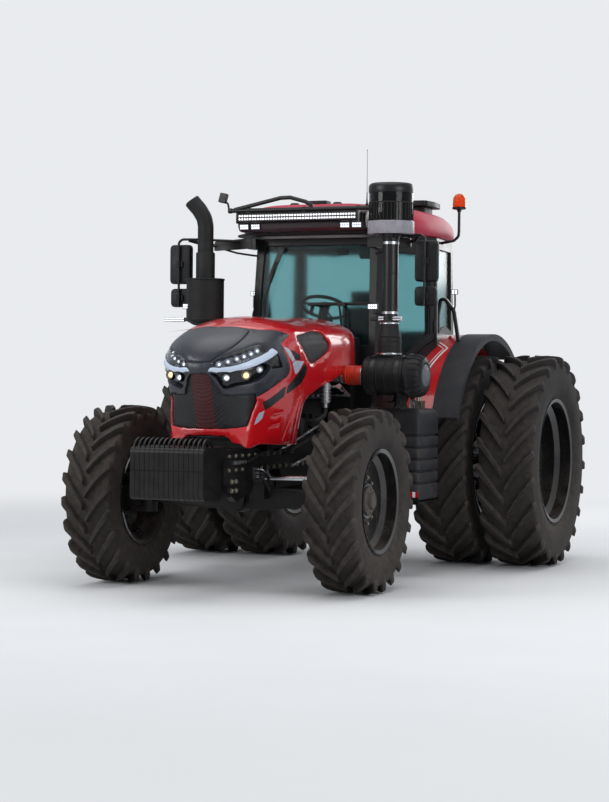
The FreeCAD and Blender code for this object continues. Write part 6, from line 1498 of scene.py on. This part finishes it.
# %% Fender film and tail lamps
ARCH_Y, ARCH_Z, ARCH_RADIUS = 1515, 950, 1170
FENDERS = surface("fenders", "fender_flares")


def arch_spot(x, run, lift=0):
    """A spot on the fender's outside: run is the distance forward from its top, round the arch."""
    turn = run / ARCH_RADIUS
    radial = Vector((0, -math.sin(turn), math.cos(turn)))
    middle = Vector((x, ARCH_Y, ARCH_Z))
    found = FENDERS.ray_cast(middle + radial * (ARCH_RADIUS + 300), -radial)[0]
    return (found if found is not None else middle + radial * ARCH_RADIUS) + radial * lift


def ribbon(shape, points, width):
    """A thin strip of film laid on the arch, from (x, run) points."""
    fine = dense(points, 25, closed=False)
    rings = []
    for k, spot in enumerate(fine):
        before, after = Vector(fine[max(k - 1, 0)]), Vector(fine[min(k + 1, len(fine) - 1)])
        way = (after - before).normalized()
        side = Vector((-way.y, way.x)) * width / 2
        corners = [(spot[0] + side.x * s, spot[1] + side.y * s, lift) for s,
                   lift in ((1, 1.3), (-1, 1.3), (-1, -2), (1, -2))]
        rings.append([shape.verts.new(arch_spot(*corner)) for corner in corners])
    hull(shape, rings)


shape = bmesh.new()
ribbon(shape, [(830, 395), (978, 560), (878, 930)], 15)
ribbon(shape, [(836, 450), (945, 578), (868, 850)], 7)
mirror(shape)
make(shape, "fender_film", WHITE_FILM)

shape = bmesh.new()
for side in (1, -1):
    box(shape, (side * 700, 2150, 1800), (side * 985, 2172, 1925))
    for one, two, index in ((705, 790, 1), (793, 880, 2), (883, 980, 3)):
        box(shape, (side * one, 2170, 1812), (side * two, 2190, 1896), index)
make(shape, "tail_lamps", [BLACK_PLASTIC, LENS, MARKER, ORANGE_LENS], 35, 3)

# %% Engine side
ENGINE = surface("engine_block", "transmission")


def side_spot(tree, side, y, z, least):
    """Where a line from one side meets the surface square on, if that is far enough from the middle."""
    spot = seat_on(tree, (600 * side, y, z), (-side, 0, 0))
    return spot if spot and abs(spot.x) > least else None


shape = bmesh.new()
for side in (1, -1):
    spot = Vector((430 * side, -640, 1500))
    rings = [(0, 0), (0, 44)]
    for k in range(6):
        rings += [(8 + 26 * k, 44), (10 + 26 * k, 50), (22 + 26 * k, 50), (24 + 26 * k, 44)]
    lathe(shape, rings + [(168, 44), (176, 30), (176, 0)], spot, UP, 32)
    rod(shape, spot - UP * 40, spot + UP * 4, 26, segments=24)
make(shape, "ribbed_canisters", ALUMINIUM, 40)

LINES = (
    # path, radius, which finish
    (((430, -640, 1470), (430, -640, 1400), (380, -720, 1350), (230, -760, 1350)), 22, 0),
    (((430, -640, 1670), (430, -640, 1740), (350, -600, 1760), (230, -560, 1740)), 20, 0),
    (((230, -1320, 1240), (330, -1320, 1300), (345, -1150, 1420), (330, -950, 1470), (230, -900, 1500)), 17, 0),
    (((230, -1180, 1060), (345, -1180, 1110), (352, -900, 1180), (348, -560, 1240), (230, -500, 1300)), 13, 0),
    (((230, -1240, 1120), (338, -1240, 1150), (362, -880, 1250), (350, -480, 1330), (230, -420, 1380)), 11, 1),
    (((230, -1000, 960), (335, -1000, 1010), (340, -700, 1060), (340, -330, 1100), (230, -280, 1140)), 11, 1),
    (((230, -1380, 1500), (360, -1400, 1560), (380, -1300, 1640), (350, -1150, 1700), (230, -1100, 1720)), 26, 0),
)
shape = bmesh.new()
for side in (1, -1):
    for points, radius, index in LINES:
        tube(shape, to_side(side, points), radius, 60, 14, index)
make(shape, "engine_lines", [SOFT_RUBBER, ZINC_BRIGHT], 40)

shape = bmesh.new()
for side in (1, -1):
    rod(shape, (540 * side, -600, 1640), (528 * side, -330, 1560), 14, segments=20)
    rod(shape, (540 * side, -606, 1642), (536 * side, -520, 1616), 22, segments=20)
    rod(shape, (540 * side, -590, 1637), (240 * side, -590, 1637), 10, segments=16)
    rod(shape, (530 * side, -338, 1563), (240 * side, -338, 1563), 10, segments=16)
    for y in range(-1380, -200, 130):
        for z in (1010, 1260, 1560):
            spot = side_spot(ENGINE, side, y, z, 120)
            if spot:
                bolt(shape, spot, (side, 0, 0), 13)
make(shape, "engine_struts_bolts", ZINC_BRIGHT, 35, 0.6)

shape = bmesh.new()
for side in (1, -1):
    for y in range(-1330, -300, 150):
        for z, tall, out, wide in ((1690, 50, 26, 45), (950, 90, 16, 10), (1360, 40, 34, 30)):
            spot = side_spot(ENGINE, side, y, z, 120)
            if spot:
                box(shape, (spot.x - 6 * side, y - wide, z - tall), (spot.x + out * side, y + wide, z + tall))
make(shape, "engine_castings", CAST, 35, 5)

# %% Engine top, fan and radiator face
shape = bmesh.new()
loft(shape, plate_outline((-150, -1290), (150, -340), 44), [(1822, 0), (1866, 0), (1884, 8), (1892, 26)])
for y in range(-1250, -360, 75):
    box(shape, (-118, y, 1886), (118, y + 22, 1900))
lathe(shape, [(0, 0), (0, 38), (34, 38), (40, 30), (40, 0)], (70, -1180, 1890), UP, 28, 1)
for side in (1, -1):
    rod(shape, (215 * side, -1280, 1770), (215 * side, -360, 1770), 42, segments=24)
    for y in range(-1230, -380, 150):
        tube(shape, [(215 * side, y, 1770), (168 * side, y, 1800), (112 * side, y, 1801)], 28, 20, 14)
for x in (-130, 0, 130):
    for y in (-1275, -355):
        bolt(shape, (x, y, 1878), UP, 13, 2)
make(shape, "valve_cover_manifolds", [CAST, BLACK_PLASTIC, ZINC], 38, 4)

shape = bmesh.new()
fan = Vector((0, -1752, 1470))
lathe(shape, [(0, 272), (12, 276), (70, 262), (96, 262), (96, 254), (70, 254), (10, 262), (0, 262)], fan, (0, 1, 0), 56)
lathe(shape, [(30, 0), (30, 60), (44, 66), (84, 66), (96, 50), (96, 20), (330, 20), (330, 0)], fan, (0, 1, 0), 32)
lathe(shape, [(262, 20), (262, 118), (270, 122), (276, 112), (284, 112), (290, 122), (298, 118), (298, 20)], fan,
      (0, 1, 0), 40)
BLADE = ((-26, 40, 60), (26, 74, 60), (44, 84, 240), (-30, 34, 240))
for k in range(9):
    turn = Matrix.Rotation(math.tau * k / 9, 3, "Y")
    points = [fan + turn @ Vector((x, y + thick, z)) for thick in (0, 6) for x, y, z in BLADE]
    grow(shape, points, [(0, 1, 2, 3), (7, 6, 5, 4), (0, 4, 5, 1), (1, 5, 6, 2), (2, 6, 7, 3), (3, 7, 4, 0)])
make(shape, "cooling_fan", BLACK_PLASTIC, 38, 1)

shape = bmesh.new()
box(shape, (-250, -1950, 1185), (250, -1943, 1740), 1)
for low, high in (((-281, -1957, 1149), (-248, -1939, 1771)), ((248, -1957, 1149), (281, -1939, 1771)),
                  ((-252, -1955, 1738), (252, -1941, 1769)), ((-252, -1955, 1151), (252, -1941, 1187))):
    box(shape, low, high)
for k in range(9):
    box(shape, (-246, -1953, 1236 + 56 * k), (246, -1947, 1240 + 56 * k), 2)
lathe(shape, [(0, 0), (0, 30), (8, 36), (24, 36), (30, 24), (30, 0)], (170, -1850, 1768), UP, 28, 2)
make(shape, "radiator_face", [BLACK_STEEL, VENT_MESH, ALUMINIUM], 38, 1)

# %% Frame bolts, fittings and hoses
FRAME = surface("front_frame", "weight_carrier", "front_axle")
shape = bmesh.new()
for side in (1, -1):
    for y in range(-2260, -700, 125):
        for z in (700, 990, 1098):
            spot = side_spot(FRAME, side, y, z, 240)
            if spot:
                bolt(shape, spot, (side, 0, 0), 15)
    for y, z in ((-2210, 900), (-2210, 830), (-2130, 900), (-2130, 830)):
        spot = side_spot(FRAME, side, y, z, 240)
        if spot:
            bolt(shape, spot, (side, 0, 0), 19)
make(shape, "frame_bolts", ZINC, 35, 0.6)

shape = bmesh.new()
for side in (1, -1):
    box(shape, (276 * side, -1935, 905), (338 * side, -1800, 1010))
    for z, drop, radius, index in ((930, 90, 8, 2), (958, 60, 8, 2), (986, 40, 6, 1)):
        rod(shape, (338 * side, -1868, z), (362 * side, -1868, z), 11, segments=16, index=1)
        path = [(356, -1868, z), (395, -1868, z), (420, -1800, z - drop), (400, -1720, z - drop - 40),
                (330, -1640, 985)]
        tube(shape, to_side(side, path), radius, 40, 12, index)
    rod(shape, (284 * side, -2180, 1045), (284 * side, -1960, 1045), 16, segments=18, index=1)
    path = [(284, -1965, 1045), (284, -1880, 1050), (300, -1760, 1090), (296, -1560, 1120), (272, -1400, 1130)]
    tube(shape, to_side(side, path), 10, 40, 12, 2)
make(shape, "frame_fittings", [BLACK_STEEL, ZINC_BRIGHT, SOFT_RUBBER], 38, 0.8)

shape = bmesh.new()
for x in (300, -300):
    rod(shape, (x - 34, -30, 2150), (x + 34, -30, 2150), 16, segments=24)
    rod(shape, (x - 38, -30, 2150), (x + 38, -30, 2150), 7, segments=16)
make(shape, "bonnet_hinge_covers", BLACK_STEEL, 40, body="bonnet")

# %% Cab's rear wall
REAR_WALL = surface("cab_frame")
shape = bmesh.new()
for z in (1560, 1690, 1820, 1950):
    spot = seat_on(REAR_WALL, (0, 2400, z), (0, -1, 0), 0.8)
    if spot:
        prism(shape, plate((-520, z - 22), (520, z + 22), 20), "y", spot.y - 6, spot.y + 9)
make(shape, "rear_wall_ribs", SATIN_BLACK, 35, 4)

# %% Rear couplers
shape = bmesh.new()
for row, z in enumerate((1325, 1385)):
    for k, x in enumerate((-150, -90, 90, 150)):
        index = 1 if k % 2 else 2  # the caps' colours take turns
        lathe(shape, [(0, 0), (0, 24), (20, 24), (22, 20), (44, 20), (46, 17), (46, 0)], (x, 1905, z), (0, 1, 0), 24)
        lathe(shape, [(46.5, 0), (46.5, 24), (60, 25), (66, 20), (68, 0)], (x, 1905, z), (0, 1, 0), 24, index)
box(shape, (-185, 1880, 1290), (-60, 1906, 1420))
box(shape, (60, 1880, 1290), (185, 1906, 1420))
make(shape, "rear_couplers", [BLACK_STEEL, MARKER, GREY_DISC], 40, 0.8)

# %% [markdown]
# ## Cab fittings and seat
# Rubber seals follow the panes' own edges; the seat is stuffed and sewn.


# %% Seals
def pane_loops(name, direction, least=0.85):
    """The edge loops round those faces of a node that look one way, in millimetres."""
    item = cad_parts[name]
    turn, mesh = item.matrix_world.to_3x3(), item.data
    spots = [item.matrix_world @ vert.co * 1000 for vert in mesh.vertices]
    keys = [tuple(round(value * 5) for value in spot) for spot in spots]
    seen, place = {}, {}
    for key, spot in zip(keys, spots):
        place.setdefault(key, spot)
    for face in mesh.polygons:
        if (turn @ face.normal).normalized().dot(direction) > least:
            ring = [keys[number] for number in face.vertices]
            for one, two in zip(ring, ring[1:] + ring[:1]):
                seen[(one, two)] = seen.get((one, two), 0) + 1
    follow = {one: two for one, two in seen if (two, one) not in seen and one != two}
    loops = []
    while follow:
        start = next(iter(follow))
        loop, here = [], start
        while here in follow:
            loop.append(here)
            here = follow.pop(here)
        if len(loop) > 2:
            loops.append([place[key] for key in loop])
    return loops


def seal(shape, loop, radius, index=0):
    """A rubber cord round a pane's edge, closed on itself."""
    long = max(range(len(loop)), key=lambda k: (loop[k] - loop[k - 1]).length)
    middle = (loop[long] + loop[long - 1]) / 2
    ring = [middle] + loop[long:] + loop[:long] + [middle]
    spare = [ring[0]]
    for spot in ring[1:]:
        if (spot - spare[-1]).length > 6:
            spare.append(spot)
    tube(shape, spare, radius, 26, 8, index)


for name, body, ways in (
    ("door_glass_left", "door_left", ((0.95, -0.3, 0),)),
    ("door_glass_right", "door_right", ((-0.95, -0.3, 0),)),
    ("cab_glass", "chassis", ((0, -1, 0.1), (0.98, 0.2, 0), (-0.98, 0.2, 0))),
    ("rear_window", "rear_window", ((0, 1, 0.05),)),
):
    shape = bmesh.new()
    for way in ways:
        for loop in pane_loops(name, Vector(way).normalized()):
            seal(shape, loop, 8)
    if shape.verts:
        make(shape, f"{name}_seal", SOFT_RUBBER, 50, body=body)


# %% Wiper, visor, inside mirror and handles
shape = bmesh.new()
rod(shape, (-40, 128, 2353), (545, 128, 2367), 8, segments=12)
box(shape, (-46, 133, 2346), (550, 139, 2376))
rod(shape, (300, 112, 2012), (258, 112, 2352), 9, segments=12)
rod(shape, (340, 112, 2012), (298, 112, 2352), 6, segments=12)
for x in (300, 340):
    rod(shape, (x, 150, 2010), (x, 104, 2010), 20, segments=20)
box(shape, (240, 106, 2340), (315, 128, 2366))
make(shape, "screen_wiper", SATIN_BLACK, 40)
shape = bmesh.new()
foot, tip = Vector((-436, 160, 2560)), Vector((-322, 200, 2876))
back, middle = Vector((0, 8, 0)), foot.lerp(tip, 0.5) + Vector((0, -4, 0))
section = [(-23, -7), (-10, -13), (10, -13), (23, -7), (23, 5), (-23, 5)]
sweep(shape, [foot, middle, tip], section, start_side=(1, 0, -0.36))
sweep(shape, [foot + back, tip + back], [(-4, -4), (4, -4), (2, 12), (-2, 12)], start_side=(1, 0, -0.36))
tube(shape, [(-462, 150, 2010), (-466, 116, 2060), (-452, 118, 2400), (-388, 166, 2700)], 11, 40, 12)
rod(shape, (-462, 152, 2010), (-462, 108, 2010), 24, segments=20)
rod(shape, (-404, 176, 2652), (-372, 180, 2742), 17, segments=16)
make(shape, "screen_wiper_right", SATIN_BLACK, 40)

shape = bmesh.new()
prism(shape, plate((385, 2762), (556, 2884), 26), "y", 268, 276)
make(shape, "sun_visor", VISOR, 40, 1)
shape = bmesh.new()
prism(shape, plate((165, 2800), (262, 2862), 22), "y", 300, 326)
rod(shape, (213, 313, 2860), (213, 330, 2900), 7, segments=12)
make(shape, "inside_mirror", BLACK_PLASTIC, 40, 2)

HANDLE = (
    # middle across, along and up, half sizes, finish
    (652, 262, 1745, (11, 70, 24), 0), (668, 258, 1745, (9, 54, 13), 1), (664, 318, 1745, (12, 12, 12), 2),
)
for hand, word in HANDS:
    shape = bmesh.new()
    lean = Matrix.Rotation(-math.atan2(281 * hand, 898), 3, "Z")
    for x, y, z, half, index in HANDLE:
        spot = Vector((x * hand, y, z))
        box(shape, spot - Vector(half), spot + Vector(half), index, lean)
    finishes = [BLACK_PLASTIC, SATIN_BLACK, CHROME]
    make(shape, f"door_{word}_handle", finishes, 35, 2.5, body=f"door_{word}")


# %% Seat
def stuffed(shape, centre, across, along, half, thick, ribs, bolster, pinch=0.035, cells=44):
    """A stuffed pad: crowned on both faces, sides pulled in between its corners, with sewn channels."""
    centre, across, along = Vector(centre), Vector(across).normalized(), Vector(along).normalized()
    up = across.cross(along)
    grid = {}
    for i in range(cells + 1):
        for j in range(cells + 1):
            u, v = math.sin((i / cells - 0.5) * math.pi), math.sin((j / cells - 0.5) * math.pi)
            swell = (max(0.0, 1 - abs(u) ** 7) * max(0.0, 1 - abs(v) ** 7)) ** 0.36
            wide = half[0] * u * (1 - pinch * (1 - v * v)) * (1 - 0.05 * v ** 8)
            long = half[1] * v * (1 - pinch * (1 - u * u)) * (1 - 0.05 * u ** 8)
            crown = 0.82 + 0.18 * math.cos(u * 1.3) * math.cos(v * 1.3)
            rise = thick[0] * swell * crown
            for line in ribs:
                rise -= 0.16 * thick[0] * swell * math.exp(-((v - line) / 0.035) ** 2)
            if bolster:
                rise += bolster * swell * max(0.0, abs(u) - 0.62) / 0.38
                rise -= 0.2 * thick[0] * swell * math.exp(-((abs(u) - 0.62) / 0.035) ** 2)
            place = centre + across * wide + along * long
            rim = i in (0, cells) or j in (0, cells)
            grid[i, j, 0] = shape.verts.new(place + up * rise)
            grid[i, j, 1] = grid[i, j, 0] if rim else shape.verts.new(place - up * thick[1] * min(1.0, swell * 1.25))
    for i in range(cells):
        for j in range(cells):
            shape.faces.new([grid[i + a, j + b, 0] for a, b in ((0, 0), (1, 0), (1, 1), (0, 1))])
            shape.faces.new([grid[i + a, j + b, 1] for a, b in ((0, 0), (0, 1), (1, 1), (1, 0))])
    rim = [(i, 0) for i in range(cells)] + [(cells, j) for j in range(cells)]
    rim += [(i, cells) for i in range(cells, 0, -1)] + [(0, j) for j in range(cells, 0, -1)]
    return [grid[i, j, 0].co.copy() for i, j in rim]


pads = (
    # piece, centre, along, half sizes, thickness up and down, channels, bolster
    ("seat_cushion", (0, 1170, 1842), (0, 1, -0.06), (246, 236), (72, 26), (-0.45, 0.0, 0.45), 22),
    ("seat_back", (0, 1418, 2150), (0, 0.12, 1), (236, 232), (58, 26), (-0.6, -0.2, 0.2, 0.6), 24),
    ("seat_headrest", (0, 1436, 2460), (0, 0.06, 1), (138, 66), (40, 22), (), 0),
)
piping = bmesh.new()
for name, centre, along, half, thick, ribs, bolster in pads:
    shape = bmesh.new()
    across = (1, 0, 0) if name == "seat_cushion" else (-1, 0, 0)
    rim = stuffed(shape, centre, across, along, half, thick, ribs, bolster)
    seal(piping, rim, 4.5)
    node = ("seat",) if name == "seat_cushion" else ()
    piece = make(shape, name, SEAT_CLOTH, 60, replaces=node)
make(piping, "seat_piping", SOFT_RUBBER, 60)

shape = bmesh.new()
for side in (1, -1):
    rod(shape, (52 * side, 1440, 2360), (52 * side, 1440, 2420), 7, segments=12, index=1)
levels = [(1690, 26), (1700, 0), (1712, 0), (1722, 26), (1732, 26), (1742, 0), (1754, 0), (1764, 26), (1774, 26),
          (1784, 0)]
loft(shape, plate_outline((-205, 985), (205, 1395), 60), levels + [(1796, 0), (1806, 26), (1822, 26)])
prism(shape, soft_outline([(1446, 1850), (1478, 1850), (1492, 2370), (1462, 2370)], 10), "x", -190, 190)
make(shape, "seat_base", [BLACK_PLASTIC, CHROME], 40, 1)
shape = bmesh.new()
loft(shape, plate_outline((262, 1040), (318, 1330), 26), [(2040, 8), (2046, 0), (2068, 0), (2078, 6), (2082, 16)])
rod(shape, (290, 1340, 2060), (262, 1440, 2060), 14, segments=16)
make(shape, "seat_armrest", INTERIOR, 40, 1)

# %% Wheel hub, dash and screens
shape = bmesh.new()
hub, lean = Vector((0, 410, 2331)), Vector((0, -0.447, -0.894)).normalized()
lathe(shape, [(0, 0), (0, 46), (10, 52), (26, 44), (34, 26), (36, 0)], hub - lean * 20, -lean, 36)
rod(shape, hub + Vector((-150, 62, -31)), hub + Vector((-150, 90, 25)), 16, 20, 20)
make(shape, "wheel_boss", GRIP, 40, 1, body="steering_wheel")

shape = bmesh.new()
tilt = Matrix.Rotation(math.radians(-24), 3, "X")
box(shape, (-118, 268, 2118), (118, 306, 2236), 0, tilt)
box(shape, (-100, 304, 2132), (100, 310, 2222), 1, tilt)
tube(shape, [(-430, 960, 1995), (-430, 900, 2060), (-430, 860, 2140)], 11, 30, 12, 0)
box(shape, (-535, 836, 2120), (-335, 858, 2262), 0)
box(shape, (-522, 857, 2134), (-348, 862, 2250), 1)
make(shape, "cab_screens", [BLACK_PLASTIC, SCREEN], 35, 3)

shape = bmesh.new()
for x, y, height, index in ((-430, 1060, 96, 1), (-390, 1130, 72, 0), (-470, 1130, 72, 2), (-430, 1200, 60, 0)):
    rod(shape, (x, y, 1996), (x, y - 8, 1996 + height), 6, segments=12)
    lathe(shape, [(0, 0), (0, 10), (8, 15), (24, 15), (32, 9), (33, 0)], (x, y - 8, 1990 + height), (0, -0.08, 1), 20,
          index)
make(shape, "hand_levers", [SATIN_BLACK, MARKER, ORANGE_LENS], 40)

# %% [markdown]
# ## Finishes of the CAD nodes
# Rigid nodes whose shape is right keep it, and get the finish of the real metal or plastic.

# %% Dress the nodes
dress(RIM_BLACK, "front_rim_left", "front_rim_right", "rear_rims_left", "rear_rims_right")
dress(BLACK_STEEL, "front_frame", "weight_carrier", "front_weights", "hitch_frame", "drawbar", "lower_links",
      "lift_arms", "lift_rods", bevel=3)
dress(CAST, "front_axle", "engine_block", "transmission", "knuckle_left", "knuckle_right", bevel=5)
dress(CHROME, "steering_rod")
dress(RADIATOR, "cooling_pack")
dress(BLACK_PLASTIC, "cab_floor")
dress(SATIN_BLACK, "cab_frame", "door_left", "door_right", bevel=3)
dress(CAB_GLASS, "cab_glass", "door_glass_left", "door_glass_right", "rear_window")
dress(RED, "fenders", bevel=6)
dress(FLARE_PLASTIC, "fender_flares", bevel=7)
dress(INTERIOR, "console", bevel=8)
dress(MATT_BLACK, "muffler")
dress(GRIP, "steering_wheel")
